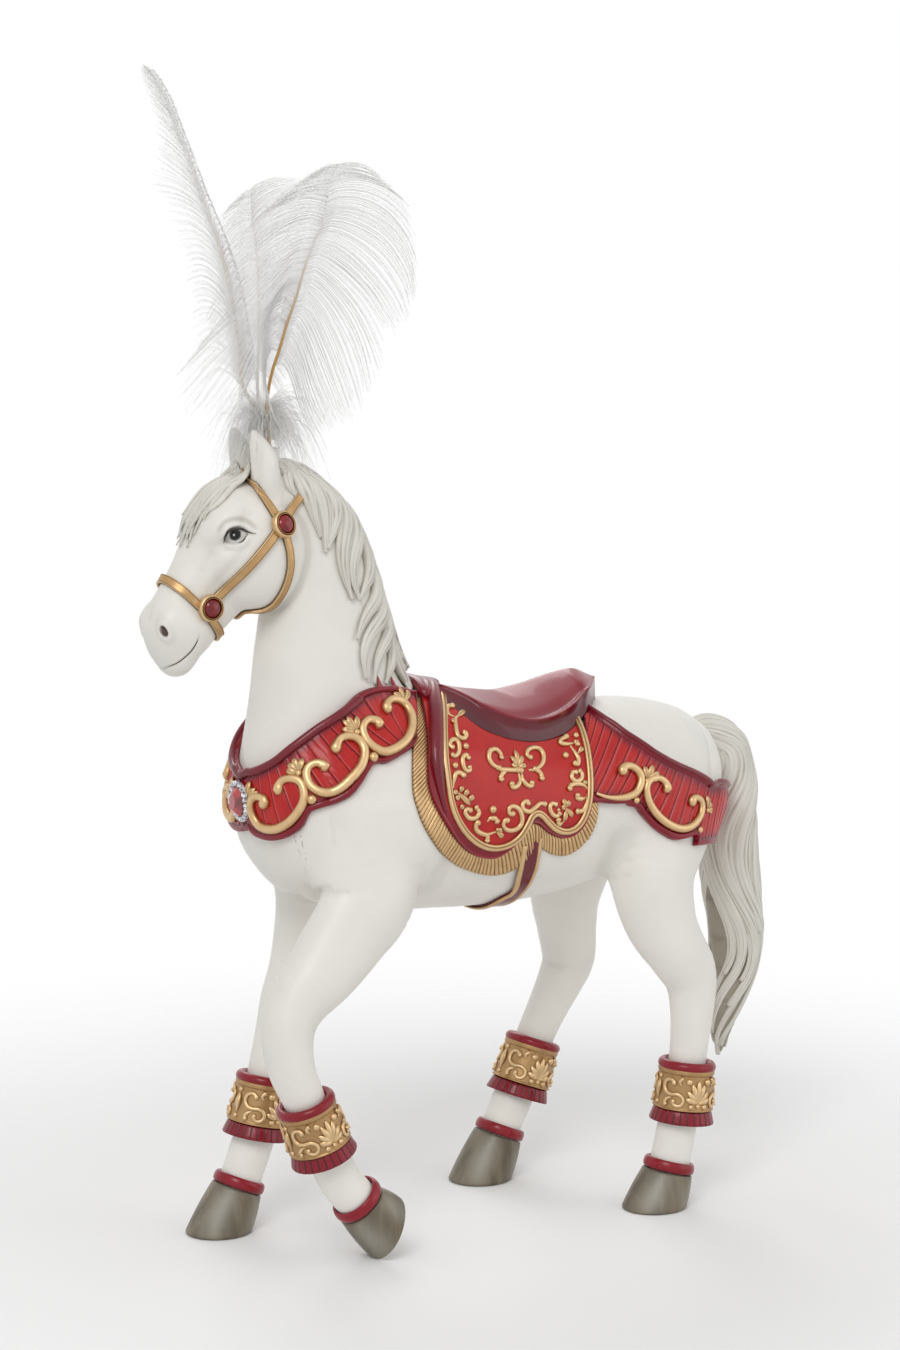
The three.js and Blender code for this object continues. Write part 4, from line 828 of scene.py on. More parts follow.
def goldWork(build, work, height, size, turnOver=np.array):
    # scrolls have two knobs, curls one, leaves a root and a tip, beads a radius in pixels
    for row in work.get("scrolls", []):
        line = curveThrough(turnOver(traced(row, height + size)), 64)
        ribbon(build, line, swell(64, size), height - 0.3 * size, 14)
    for row in work.get("curls", []):
        line = curveThrough(turnOver(traced(row, height + size)), 44)
        ribbon(build, line, hook(44, size), height - 0.3 * size, 10)
    for root, *tips in work.get("leaves", []):
        places = turnOver(traced([root, *tips], height + size))
        for tip in places[1:]:
            petal(build, places[0], tip, work.get("leafWidth", 0.7) * size, height - 0.1 * mm)
    for u, v, radius in work.get("beads", []):
        bead(build, turnOver(traced([(u, v)], height + size))[0], radius * 0.42 * mm, height - 0.2 * mm)


def bandSkin(first, second, rows, count):
    # a net between two lines laid on the flesh, and its outward directions, then drawn finer
    t = np.linspace(0, 1, rows)[None, :, None]
    net = first[:, None] * (1 - t) + second[:, None] * t
    places, normals = seat(net.reshape(-1, 3), 0, 5, normals=True)
    shape = (len(first), rows * 3)
    finer = lambda grid: flow(grid.reshape(shape), count).reshape(count, rows, 3)
    return finer(places), unit(finer(normals))


def across(skin, shares):
    # the net's value at shares of the way across it
    at = np.asarray(shares) * (skin.shape[1] - 1)
    i = np.minimum(at.astype(int), skin.shape[1] - 2)
    f = (at - i)[None, :, None]
    return skin[:, i] * (1 - f) + skin[:, i + 1] * f


def layBand(build, skin, normals, profile, height, **values):
    # the top runs from one edge to the other at its height, and the underside runs back
    over = across(skin, profile) + across(normals, profile) * height[..., None]
    back = across(skin, profile[::-1]) + across(normals, profile[::-1]) * underside
    full = {k: np.concatenate([np.broadcast_to(v, height.shape), np.ones(height.shape)], 1)
            for k, v in values.items()}
    build.tube(np.concatenate([over, back], 1), **full)


def bandPair(name, node, skin, normals, profile, height, slot, finish, **values):
    # the same band on both sides; the left one stands for the solid
    for hand, turnOver in bothHands:
        made = Build()
        layBand(made, turnOver(skin), aimOver(normals, hand), profile, height, **values)
        made.piece(f"{name}_{hand}", *([node] if hand == "left" else []), slot=slot, finish=finish)


def reachAlong(skin):
    middle = skin[:, skin.shape[1] // 2]
    return np.concatenate([[0], np.cumsum(np.linalg.norm(np.diff(middle, axis=0), axis=1))])


def wholeWay(leftLine):
    # the left half of a line, whose last point is on the middle plane, and its mirror image
    return np.vstack([leftLine, mirrored(leftLine[:-1])[::-1]])


pleatPlan = {"base": 0.55 * mm, "groove": 0.55 * mm, "grooveWide": 0.24 * mm, "ridge": 0.22 * mm,
             "ridgeAt": 0.55 * mm, "ridgeWide": 0.26 * mm, "slope": 0.16 * mm, "lip": 1.5 * mm,
             "lipRise": 0.75 * mm, "lowDrop": 1.9 * mm, "topDrop": 1.6 * mm}


def pleatedBand(name, node, rungs, middle, pleat, roll, turnBack):
    # rungs: (top u, v, low u, v) from one end to the middle plane; shares of the middle's two places
    rungs = np.asarray(rungs, float)
    middle = spots(middle)
    top = np.vstack([traced(rungs[:, :2], tackHeight), middle[:1]])
    low = np.vstack([traced(rungs[:, 2:], tackHeight), middle[1:]])
    top, low = twinLines(wholeWay(top), wholeWay(low), 220)
    skin, normals = bandSkin(top, low, 9, 1040)
    share = np.concatenate([np.linspace(0, 0.1, 8), np.linspace(0.12, 0.78, 18), np.linspace(0.8, 1, 18)])
    width = np.linalg.norm(skin[:, 0] - skin[:, -1], axis=1)[:, None]
    fromTop, fromLow = share * width, (1 - share) * width
    reach = reachAlong(skin)[:, None]
    beat = (reach - reach[-1] / 2) / pleat
    beat = (beat - np.round(beat)) * pleat * np.where(reach > reach[-1] / 2, 1, -1) * turnBack
    flat = steps(fromLow, 3.0 * mm, 3.8 * mm) * steps(fromTop, roll * 1.5, roll * 1.5 + 1.2 * mm)
    groove = flat * bell(beat, 0, pleatPlan["grooveWide"])
    ridge = flat * bell(beat, pleatPlan["ridgeAt"], pleatPlan["ridgeWide"])
    slope = flat * pleatPlan["slope"] * np.clip(0.5 - beat / pleat, 0, 1)
    height = (tackHeight - pleatPlan["base"] - groove * pleatPlan["groove"] + ridge * pleatPlan["ridge"]
              + slope)
    lip = np.sqrt(np.clip(1 - ((fromLow - pleatPlan["lip"]) / pleatPlan["lip"]) ** 2, 0, 1))
    height = (height + lip * pleatPlan["lipRise"]
              - pleatPlan["lowDrop"] * (1 - steps(fromLow, 0, 0.45 * mm)))
    rollRise = np.sqrt(np.clip(1 - ((fromTop - roll * 0.7) / (roll * 0.7)) ** 2, 0, 1))
    height = (height + rollRise * 0.7 * roll
              - pleatPlan["topDrop"] * (1 - steps(fromTop, 0, 0.4 * mm)))
    # step: painted shade in the creases where the lip and the roll meet the panels; grooves are painted
    # dark as shade and ridges pink as highlights
    step = bell(fromLow, 3.2 * mm, 0.3 * mm) * 0.8 + bell(fromTop, roll * 1.55, 0.3 * mm) * 0.7
    shade = 1.3 - steps(fromLow, 2 * mm, 8 * mm) - 0.3 + 1.1 * (1 - steps(fromTop, roll * 1.2, 7 * mm))
    made = Build()
    layBand(made, skin, normals, share, height, recess=np.clip(groove * 0.85 + step, 0, 1),
            edge=np.clip(shade, 0, 1), rub=ridge * 0.55)
    made.piece(name, node, slot="red_paint", finish=red)
    return top


def topRoll(name, node, line, radius, height):
    made = Build()
    line = paced(line, 240)
    t = np.linspace(0, 1, 240)
    radii = radius * np.sqrt(np.clip(np.minimum(t, 1 - t) / 0.01, 0.05, 1))
    ribbon(made, line, radii, height, 14, 0.8, low=-0.6, edge=0.15, rub=0.0)
    made.piece(name, node, slot="burgundy_paint", finish=burgundy)


# Collar: a band of pleats that fan out round the breast, with a rolled top and a scalloped lip
collarPlan = {"pleat": 6.2 * mm, "fold": 1.9 * mm, "roll": 1.75 * mm, "rollSunk": 0.5 * mm,
              "scroll": 2.0 * mm, "tongue": 2.7 * mm, "tongueSunk": 2.2 * mm}
collarRungs = [
    (416, 690, 417, 742), (400, 686, 414, 746), (378, 686, 411, 748.5), (362, 692, 409, 750),
    (348, 704, 406, 752), (336, 712.5, 389.3, 761.4), (327, 718, 376, 763.5), (315, 725.5, 363, 783),
    (303, 735, 352, 795), (293, 743, 335, 804), (283, 751, 314, 811), (279, 754, 308.5, 815),
    (274, 758.5, 301, 828), (268, 762, 289, 837), (262, 765, 276, 841.5), (255, 768, 264, 841),
    (249, 770, 254, 837), (245, 770.8, 248.5, 831.5),
]
pleatedBand("collar_band", "collar", collarRungs, [[-1.165, 0, 1.985], [-1.165, 0, 1.735]],
            collarPlan["pleat"], collarPlan["fold"], 1)
collarRollLine = [(362, 697), (350, 707), (336, 717), (318, 728.5), (303, 739.5), (288, 751),
                  (275, 761.5), (262, 768.5), (252, 772)]
rollLeft = np.vstack([traced(collarRollLine, tackHeight),
                      spots([[-1.155, -0.05, 1.99], [-1.168, 0, 1.972]])])
topRoll("collar_roll", "collar_piping", curveThrough(wholeWay(rollLeft), 300), collarPlan["roll"],
        tackHeight - collarPlan["rollSunk"])

collarWork = {
    "scrolls": [
        [(258.9, 808.8), (262.5, 801.6), (257.1, 797.1), (250, 798), (246.8, 806.1), (249.1, 816.8),
         (257.1, 827.5), (271.4, 830.2), (285.7, 823.9), (297.3, 811.4), (303.2, 797.1), (300, 782.9),
         (291.1, 777.9), (280.4, 780.2), (276.4, 788.2), (278.6, 795)],
        [(323.2, 770.4), (325, 765), (317.9, 761.4), (308.9, 765), (305.7, 773.9), (309.8, 784.6),
         (321.4, 791.4), (335.7, 790), (350, 779.3), (362.5, 765), (366.4, 750.7), (362.5, 740),
         (353.9, 735), (342.9, 736.4), (336.6, 745.4), (337.9, 752.5)],
        [(379.1, 726.6), (380.4, 720.4), (372.3, 717.7), (366.1, 722.1), (365.2, 731.1), (371.4, 741.8),
         (383.9, 749.8), (396.4, 747.1), (408, 738.2), (413.9, 725.7), (413.4, 711.4), (407.1, 700.7),
         (396.4, 697.1), (389.3, 702.5), (390.2, 712.3)],
    ],
    "leaves": [
        [(297.3, 773), (283.9, 769.5), (286, 762), (292, 756), (302.2, 756.4)],
        [(358.6, 731.1), (342.9, 727.5), (344, 719), (348.2, 715), (358.6, 714.1)],
        [(408.6, 699.3), (396.4, 690.9), (400.9, 683.8), (410.7, 687.3)],
        [(242.9, 799.8), (246.8, 781.1), (252, 788.2), (255, 792)],
    ],
    "beads": [(311.1, 799.5, 4.8), (375, 755.7, 4.8), (297.3, 772.5, 3.2), (358.6, 730.7, 3.2),
              (408.6, 699.6, 3.0)],
    "leafWidth": 0.72,
}
# Two flame-shaped tongues stand over the collar's rear end
collarTongues = [[(386, 700), (383, 688), (380.6, 673.5)], [(401, 697), (397, 684), (394, 672.5)]]
for hand, turnOver in bothHands:
    made = Build()
    goldWork(made, collarWork, tackHeight, collarPlan["scroll"], turnOver)
    made.piece("collar_gilt_" + hand, "collar_scrolls_" + hand, slot="antique_gold", finish=gold)
    made = Build()
    for row in collarTongues:
        line = curveThrough(turnOver(traced(row, tackHeight)), 16)
        t = np.linspace(0, 1, 16)
        ribbon(made, line, collarPlan["tongue"] * np.clip((1 - t) ** 0.8, 0.05, 1),
               tackHeight - collarPlan["tongueSunk"], 12, 0.45, edge=0.9)
    made.piece("collar_tongues_" + hand, slot="red_paint", finish=red)
print("collar done")

# Breeching: the matching band round the rump
breechingPlan = {"pleat": 5.0 * mm, "fold": 1.4 * mm, "roll": 1.25 * mm, "rollSunk": 0.3 * mm,
                 "scroll": 1.75 * mm}
breechingRungs = [
    (584, 704, 585, 722), (592, 709.5, 586, 740), (603, 717, 588, 762), (614, 724, 590, 784),
    (624, 731.5, 592, 801.5), (634, 738, 603, 803), (644, 744.5, 614, 804.5), (653, 751, 623, 804.5),
    (657, 753.5, 628.5, 803.8), (661, 756, 631, 807), (668, 760, 638, 809.5), (672, 762, 643, 817),
    (679, 765.5, 653, 827.5), (686, 768.5, 664, 834.5), (693, 771.5, 675, 839.3), (700, 775, 684, 839.7),
    (706, 778.5, 692, 837.4), (709, 780.5, 696.5, 835.8), (711, 782, 699.7, 839), (714, 783.7, 702, 846),
]
breechingTop = pleatedBand("breeching_band", "breeching", breechingRungs,
                           [[1.10, 0, 1.745], [1.085, 0, 1.53]],
                           breechingPlan["pleat"], breechingPlan["fold"], -1)
topRoll("breeching_roll", "breeching_piping", breechingTop, breechingPlan["roll"],
        tackHeight - breechingPlan["rollSunk"])
breechingWork = {
    "scrolls": [
        [(666.6, 792.5), (669.5, 787.5), (667, 781), (661, 777.5), (654, 778.5), (649.5, 784), (649, 793),
         (652, 804), (660, 815.8), (671, 824.4), (683.4, 828.5), (694.3, 826), (702, 817.9), (705, 809),
         (704.2, 801), (699, 797.5), (695, 800), (694.5, 807)],
    ],
    "curls": [
        [(599, 793), (608, 796.5), (618, 798), (629, 797), (638, 792.5), (642.5, 784), (642.8, 775.5),
         (638.5, 768.5), (632, 765), (626, 766.5), (622.7, 774)],
    ],
    "leaves": [
        [(649, 779), (646, 765), (655, 763.5), (662, 771.5), (661.5, 778)],
        [(710.8, 810), (709.5, 795.5), (713, 802), (714, 811)],
    ],
    "beads": [(638.4, 800.6, 3.5), (702.9, 829.9, 3.3), (649, 780.5, 2.8), (710.8, 810.5, 2.6)],
    "leafWidth": 0.8,
}
for hand, turnOver in bothHands:
    made = Build()
    goldWork(made, breechingWork, tackHeight, breechingPlan["scroll"], turnOver)
    made.piece("breeching_gilt_" + hand, "breeching_scrolls_" + hand, slot="antique_gold", finish=gold)
print("breeching done")

# Saddle cloth: it hangs from the back ridge to a scalloped edge, with a fringe all round.
clothPlan = {"tuck": 0.7 * mm, "hemDrop": 1.9 * mm, "hemSoft": 0.5 * mm, "welt": 0.25 * mm,
             "weltAt": 0.9 * mm, "weltWide": 0.6 * mm, "shadeFrom": 2.5 * mm, "shadeTo": 11 * mm}
fringePlan = {"strand": 1.75 * mm, "endHeight": 1.2 * mm, "base": 1.05, "rib": 0.75, "uneven": 0.22,
              "drift": 0.5, "fine": 0.10, "rounding": 1.1 * mm}
cordPlan = {"radius": 1.45 * mm, "lift": 0.35 * mm, "flat": 0.72, "points": 560, "sides": 20,
            "valleyAt": np.pi * 0.58, "valleyDepth": 0.34}
rollPlan = {"radius": 3.0 * mm, "taper": 0.22, "flat": 0.85, "points": 260}
# Pairs of places (inner u, v, outer u, v): the fringe's strands run from the first to the second
fringeRungs = [
    (421, 683, 412, 696), (422, 697, 412.5, 712), (425, 715, 413, 731), (428, 740, 413, 757),
    (428.5, 762, 413, 778), (429, 782, 415, 798), (434, 800, 422, 820), (443, 818, 431, 838),
    (454, 836, 442, 854), (465, 849, 453.5, 864.5), (475, 855.5, 467, 871), (485, 858.5, 480, 875),
    (496, 858, 495, 876.5), (507, 852, 509, 873.5), (517, 843, 521, 867), (526, 830, 530, 857),
    (531, 825.5, 533, 850), (535.5, 823.5, 535.5, 843), (541, 826, 541, 848), (548, 832, 547, 852.5),
    (556, 836.5, 555, 856), (565, 838.5, 566, 856.5), (575, 835, 578, 850.5), (584, 825.5, 590, 838),
    (590, 811, 597, 822), (592.5, 792, 599, 804), (592, 770, 599, 784), (589, 748, 595.5, 762),
    (585, 733, 592, 746), (579, 719, 587, 731.5),
]
fringeRungs = np.array(fringeRungs, float)
hem = traced(fringeRungs[:, :2], clothHeight - clothPlan["tuck"])
fringeEnd = traced(fringeRungs[:, 2:], fringePlan["endHeight"])
hem, fringeEnd = twinLines(hem, fringeEnd, 150)
ridgeFront, ridgeRear, ridgeHeight = -0.40, 0.27, 2.20   # shares: the cloth's middle line along the back
ridgeX = np.clip(hem[:, 0], *spots([[ridgeFront, 0, 0], [ridgeRear, 0, 0]])[:, 0])
ridge = np.stack([ridgeX, np.full(150, origin[1]), np.full(150, spots([0, 0, ridgeHeight])[2])], 1)
skin, normals = bandSkin(seat(ridge, 0, 4), hem, 26, 420)
share = np.concatenate([np.linspace(0, 0.8, 20), np.linspace(0.82, 1, 22)])
width = np.linalg.norm(skin[:, 0] - skin[:, -1], axis=1)[:, None]
fromHem = (1 - share) * width
# height = cloth height - hemDrop * (1 - step over the last half millimetre) + a welt along the hem
height = (clothHeight - clothPlan["hemDrop"] * (1 - steps(fromHem, -0.1 * mm, clothPlan["hemSoft"]))
          + clothPlan["welt"] * bell(fromHem, clothPlan["weltAt"], clothPlan["weltWide"]))
shade = 1.15 * (1 - steps(fromHem, clothPlan["shadeFrom"], clothPlan["shadeTo"]))
# painted shade darkens the cloth towards the hem, and a painted highlight runs along the welt by the hem
bandPair("cloth", "saddle_cloth", skin, normals, share, height, "red_paint", red, recess=0.0, edge=shade,
         rub=0.25 * bell(fromHem, 1.0 * mm, 0.5 * mm))

# Fringe: strands lie side by side, each a low round rib that bends a little towards its end
strand = fringePlan["strand"]
skin, normals = bandSkin(hem, fringeEnd, 7, 1300)
reach = reachAlong(skin)[:, None]
share = np.linspace(0, 1, 16)[None]
width = np.linalg.norm(skin[:, 0] - skin[:, -1], axis=1)[:, None]
count = int(reach[-1, 0] / strand)
thick = rng.uniform(-fringePlan["uneven"], fringePlan["uneven"], count + 3)
drift = rng.uniform(-fringePlan["drift"], fringePlan["drift"], count + 3)
drift = np.interp(np.linspace(0, count + 2, 40), np.arange(count + 3), drift)
phase = reach / strand + 0.5 * share ** 2 * np.interp(reach, np.linspace(0, reach[-1, 0], 40), drift)
index = np.clip(np.floor(phase).astype(int), 0, count + 2)
inside = phase - index - 0.5
rib = np.sqrt(np.clip(1 - (2 * inside) ** 2, 0, 1))
fine = 0.5 + 0.5 * np.cos(2 * np.pi * 3 * (phase + 0.37 * index))
out = share * width
edgeRise = np.sqrt(np.clip(1 - (1 - np.clip((width - out) / fringePlan["rounding"], 0, 1)) ** 2, 0, 1))
ribRise = (fringePlan["rib"] + thick[index]) * mm * rib * (0.35 + 0.65 * steps(share, 0.0, 0.25))
height = fringePlan["base"] * mm + ribRise * (1 - 0.3 * share) + fringePlan["fine"] * mm * fine * rib
height = height * (0.35 + 0.65 * edgeRise)
# a painted highlight of random strength on the ribs' crowns; dark wash and painted shade between the ribs
# and on the outer bevel
ribHighlight = np.clip(0.9 * rib ** 3 - 0.35, 0, 1) * (0.5 + 0.5 * rng.random(count + 3)[index])
hollow = np.clip(1.15 - 1.25 * rib - 0.1 * edgeRise, 0, 1) + 0.35 * (1 - edgeRise)
bandPair("fringe", "fringe", skin, normals, share[0], height, "antique_gold", gold,
         recess=np.clip(hollow, 0, 1), rub=ribHighlight * 0.6)

# Gold cord with two ridges, between the hem and the middle of the cloth
cordLine = [
    (425, 666), (430.5, 672), (437, 681), (441.5, 692), (443.9, 708), (444.2, 730), (445, 755),
    (447.2, 775), (450.4, 798), (455.8, 815.5), (465, 831), (476, 841.5), (488, 847), (499, 847.5),
    (510, 844), (520, 836.5), (527.5, 825), (532, 816.5), (537.5, 813.3), (543, 816), (549, 822.5),
    (556.5, 829), (566, 831.5), (575.6, 828), (583, 819), (588.3, 804), (590, 785), (589, 765),
    (586, 745), (581.5, 730), (576, 718),
]
line = paced(flow(traced(cordLine, clothHeight), 600), cordPlan["points"])
turn = np.linspace(0, 2 * np.pi, cordPlan["sides"], endpoint=False)
valley = 1 - cordPlan["valleyDepth"] * np.exp(-((turn - cordPlan["valleyAt"]) / 0.26) ** 2)
# dark: painted shade under the cord and in the valley between its ridges; bright: a painted highlight
# along the ridge tops
dark = np.clip(0.1 - np.sin(turn), 0, 1) * 1.2 + 0.9 * np.exp(-((turn - cordPlan["valleyAt"]) / 0.2) ** 2)
bright = 0.45 * np.clip(np.sin(turn), 0, 1) ** 2 * (valley > 0.93)
for hand, turnOver in bothHands:
    made = Build()
    seated, normals = seat(turnOver(line), clothHeight + cordPlan["lift"], 3, normals=True)
    rings = rodRings(seated, np.full(len(line), cordPlan["radius"]), normals, len(turn), cordPlan["flat"])
    middle = seated[:, None]
    rings = middle + (rings - middle) * valley[None, :, None]
    made.tube(rings, recess=np.broadcast_to(dark, rings.shape[:2]),
              rub=np.broadcast_to(bright, rings.shape[:2]))
    made.piece("cord_" + hand, "gold_cord_" + hand, slot="antique_gold", finish=gold)

# Padded roll down the front of the cloth; it tapers to a point by the lower corner
rollLine = [(424, 676), (429.5, 684), (433.5, 696), (435.3, 712), (435.8, 735), (436, 755), (438.2, 775),
            (441.8, 795), (444.5, 808), (446.8, 816.5)]
rollLeft = np.vstack([traced(rollLine, clothHeight)[::-1],
                      spots([[-0.40, -0.16, 2.26], [-0.375, 0, 2.30]])])
line = curveThrough(wholeWay(rollLeft), rollPlan["points"])
t = np.abs(np.linspace(-1, 1, rollPlan["points"]))
radii = rollPlan["radius"] * np.clip(((1 - t) / rollPlan["taper"]) ** 0.7, 0.06, 1)
made = Build()
ribbon(made, line, radii, clothHeight - 0.25 * radii, 24, rollPlan["flat"], low=-0.62, rub=0.0, edge=0.1)
made.piece("front_roll", "saddle_front_roll", slot="burgundy_paint", finish=burgundy)
print("cloth done")

# Emblem and vine on the cloth: scrolls, curls, leaves and beads
vineWork = {
    "scrolls": [
        [(502.5, 758.4), (502, 753), (497, 748.3), (491.3, 750.3), (490.3, 757.6), (494.3, 764.1),
         (501.5, 768.1)],
        [(533.2, 757.6), (528.5, 754.3), (529, 749.4), (533.4, 746.6), (539.9, 747.3), (544.2, 752.7),
         (544.2, 760.8), (540.2, 766.5), (534, 769)],
        [(454.5, 747.5), (451.3, 744.4), (452, 740), (456.1, 738.5), (459.8, 742.9), (459.8, 751.1),
         (456.1, 755.4), (452, 753.5)],
        [(469.9, 758.5), (467.5, 754), (464, 757), (464.2, 764.1), (466.9, 769.8), (471.2, 769.6),
         (469.9, 765.7)],
        [(476.4, 806.4), (480.2, 812.9), (476.4, 818.2), (469.9, 818.2), (466.3, 812.9), (468.3, 809.2),
         (472.4, 811.2)],
        [(510.6, 821.4), (506.5, 820.6), (504.5, 825.9), (508.1, 830.4), (515.5, 830.4), (521.6, 825.9),
         (523.2, 817.7), (520, 809.2), (514, 806.2), (510.2, 809), (511, 814), (516, 813.5)],
        [(529.3, 805), (528.5, 801.1), (524.4, 803.1), (524, 808.8), (530.1, 811.7), (536.6, 807.6),
         (541.5, 803.5), (547.2, 804.3)],
        [(557.7, 804.7), (553.3, 803.5), (551, 808), (553.3, 814.1), (558.2, 816.5), (561, 812.9)],
        [(578.1, 771.8), (574, 771.4), (573, 777.1), (577.3, 780.8), (582.2, 778.3), (583, 772.8),
         (579.7, 769.6)],
    ],
    "curls": [
        [(510.6, 769), (504.5, 772.2), (502, 776.5), (502.5, 780)],
        [(530.1, 769), (538.2, 769.8), (542.1, 773.8), (542.9, 779)],
        [(520.3, 771.8), (521.2, 780.3), (518.5, 785.6), (513.8, 786.8), (512.4, 782)],
        [(523.2, 771.8), (524.4, 779.9), (528.5, 784.8), (532.8, 785.2), (532.4, 781.2)],
        [(490.9, 757), (499, 767.5), (509, 769.3), (520.3, 769.5)],
        [(455.5, 714.8), (449.8, 712.3), (447.6, 708), (449.8, 704.3), (454.4, 704.6)],
        [(464, 711), (457.5, 716), (456.6, 724), (458.8, 734.2), (464.4, 737.4), (466.9, 734),
         (463.5, 730.2)],
        [(454.6, 788), (455, 781), (457, 773), (461.8, 772.6), (465.3, 776)],
        [(488.9, 822.2), (491.3, 818.8), (496, 818.8), (498.2, 822.2)],
        [(497.6, 832.4), (487, 835.2), (478.1, 831.2), (477, 825.1), (480.3, 822)],
        [(483, 834.2), (488.2, 836.4), (487.8, 841.5)],
        [(590, 790), (586.2, 785.6), (579.5, 783.4), (572.6, 784.6), (570, 789.6)],
        [(589, 793), (588.1, 803.1), (584, 810.5), (577, 811.5)],
        [(588, 797), (583, 798.6), (578.6, 798), (578.4, 794.2)],
        [(571.5, 744), (576, 751.6), (579.3, 757.6), (578.5, 763.4), (574.2, 762.1)],
        [(576.5, 741), (568.5, 742.6), (562, 741.9), (561.6, 738.5), (567.9, 734.6)],
        [(565, 822.4), (560, 824.5), (559.2, 819.5)],
    ],
    "leaves": [
        [(520.3, 766.5), (515.5, 748), (511.6, 755), (523.2, 754), (512.6, 763.5), (527.3, 764)],
        [(456.9, 716), (466.5, 708.6)], [(457, 721.5), (451.8, 718.5)],
        [(459, 795), (454.6, 790.3)], [(461, 793), (463.4, 785.6)], [(464.5, 796.5), (469.5, 789.2)],
        [(468.5, 801), (475.4, 795.4)], [(462, 799.5), (456.4, 796.6)], [(465.5, 804.5), (461, 808.6)],
        [(457.5, 791), (472, 806)], [(497.6, 832.4), (499.5, 828.6)], [(497.6, 832.4), (504.6, 838)],
        [(497.6, 832.4), (503.4, 829.6)],
        [(567.5, 808), (564, 798.6)], [(567.5, 808), (570.6, 800)], [(567.5, 808), (562.4, 807)],
        [(567.5, 808), (574.2, 817.4)], [(567.5, 808), (565, 822.4)], [(586.2, 785.8), (585.7, 779.6)],
        [(577.4, 745), (576.2, 738)], [(579, 752), (583.8, 746)],
    ],
    "beads": [
        (522, 769.8, 3.2), (466.7, 745.4, 3.3), (456.1, 764.9, 3.3), (493.8, 809.6, 3.9),
        (576.5, 734, 3.2), (566.4, 754.3, 3.4), (578.7, 743, 2.6), (559.8, 810, 2.0),
    ],
    "leafWidth": 1.05,
}
for hand, turnOver in bothHands:
    made = Build()
    goldWork(made, vineWork, clothHeight, 1.12 * mm, turnOver)
    made.piece("cloth_gilt_" + hand, "cloth_emblem_" + hand, slot="antique_gold", finish=gold)

# Girth: a burgundy strap round the belly with gilt edges
girthPlan = {"height": 1.6 * mm, "edgeDrop": 1.0 * mm, "edgeSoft": 0.06, "giltHeight": 1.0 * mm,
             "giltFlat": 0.55, "frontGilt": 1.25 * mm, "rearGilt": 0.8 * mm}
girthRungs = [(525, 846, 541, 839), (522.5, 861, 539.8, 850), (519, 877, 536.6, 868),
              (513, 893, 530, 884)]
girthRungs = np.array(girthRungs, float)
underBelly = spots([[-0.09, -0.20, 1.38], [-0.09, 0, 1.34], [0.0, -0.20, 1.38], [0.0, 0, 1.34]])
front = np.vstack([traced(girthRungs[:, :2], girthPlan["height"]), underBelly[:2]])
rear = np.vstack([traced(girthRungs[:, 2:], girthPlan["height"]), underBelly[2:]])
front, rear = twinLines(wholeWay(front), wholeWay(rear), 120)
skin, normals = bandSkin(front, rear, 5, 200)
share = np.linspace(0, 1, 18)
edges = bell(share, 0, girthPlan["edgeSoft"]) + bell(share, 1, girthPlan["edgeSoft"])
height = np.broadcast_to(girthPlan["height"] - girthPlan["edgeDrop"] * edges, (200, 18))
made = Build()
layBand(made, skin, normals, share, height, recess=0.0, edge=0.35, rub=0.0)
made.piece("girth_strap", "girth", slot="burgundy_paint", finish=burgundy)
for place, line in (("front", front), ("rear", rear)):
    made = Build()
    ribbon(made, curveThrough(line, 200), np.full(200, girthPlan[place + "Gilt"]),
           girthPlan["giltHeight"], 14, girthPlan["giltFlat"])
    made.piece(f"girth_{place}_gilt", "girth_edging_" + place, slot="antique_gold", finish=gold)
print("girth done")

# Saddle: a dished seat whose rim stands on a wall; the wall's foot follows a long curve on the cloth
saddlePlan = {"count": 220, "rimShares": [0, 0.3, 0.75, 1],
              "rimHeights": [5.0 * mm, 6.2 * mm, 9.5 * mm, 11.5 * mm],
              "fullWidth": 22 * mm, "tuck": 1.1 * mm, "arch": 3.4, "dish": 1.6, "bead": 0.9 * mm}
footPixels = [(424, 690), (433, 694), (443, 700), (453.7, 707.5), (465, 716), (478.1, 726), (494.3, 734),
              (513.8, 739.8), (535, 741.8), (554.5, 738.1), (569, 731), (580.5, 720.2), (589.5, 708)]
rimPixels = [(430, 679), (441, 685), (455, 690.5), (469.9, 697.5), (484.6, 706), (504.1, 714.8),
             (523.6, 720.2), (543.1, 720), (560, 714), (574, 704), (583.5, 692.5), (590.5, 687)]
count = saddlePlan["count"]
foot = np.vstack([spots([[-0.365, 0, 2.21]]), traced(footPixels, clothHeight),
                  spots([[0.535, 0, 2.115]])])
rimHeights = np.interp(np.linspace(0, 1, len(rimPixels)), saddlePlan["rimShares"],
                       saddlePlan["rimHeights"])
rim = np.vstack([spots([[-0.36, 0, 2.262]]), traced(rimPixels, rimHeights), spots([[0.53, 0, 2.235]])])
foot, rim = curveThrough(foot, count), curveThrough(rim, count)
crownX = spots([[-0.36, 0, 0], [-0.26, 0, 0], [-0.14, 0, 0], [0.02, 0, 0], [0.18, 0, 0], [0.31, 0, 0],
                [0.42, 0, 0], [0.53, 0, 0]])[:, 0]
crownZ = spots([[0, 0, z] for z in (2.262, 2.272, 2.245, 2.222, 2.245, 2.275, 2.288, 2.238)])[:, 2]
crown = np.stack([rim[:, 0], np.full(count, origin[1]), np.interp(rim[:, 0], crownX, crownZ)], 1)
crown[:, 2] = np.convolve(np.pad(crown[:, 2], 8, "edge"), np.ones(17) / 17, "valid")
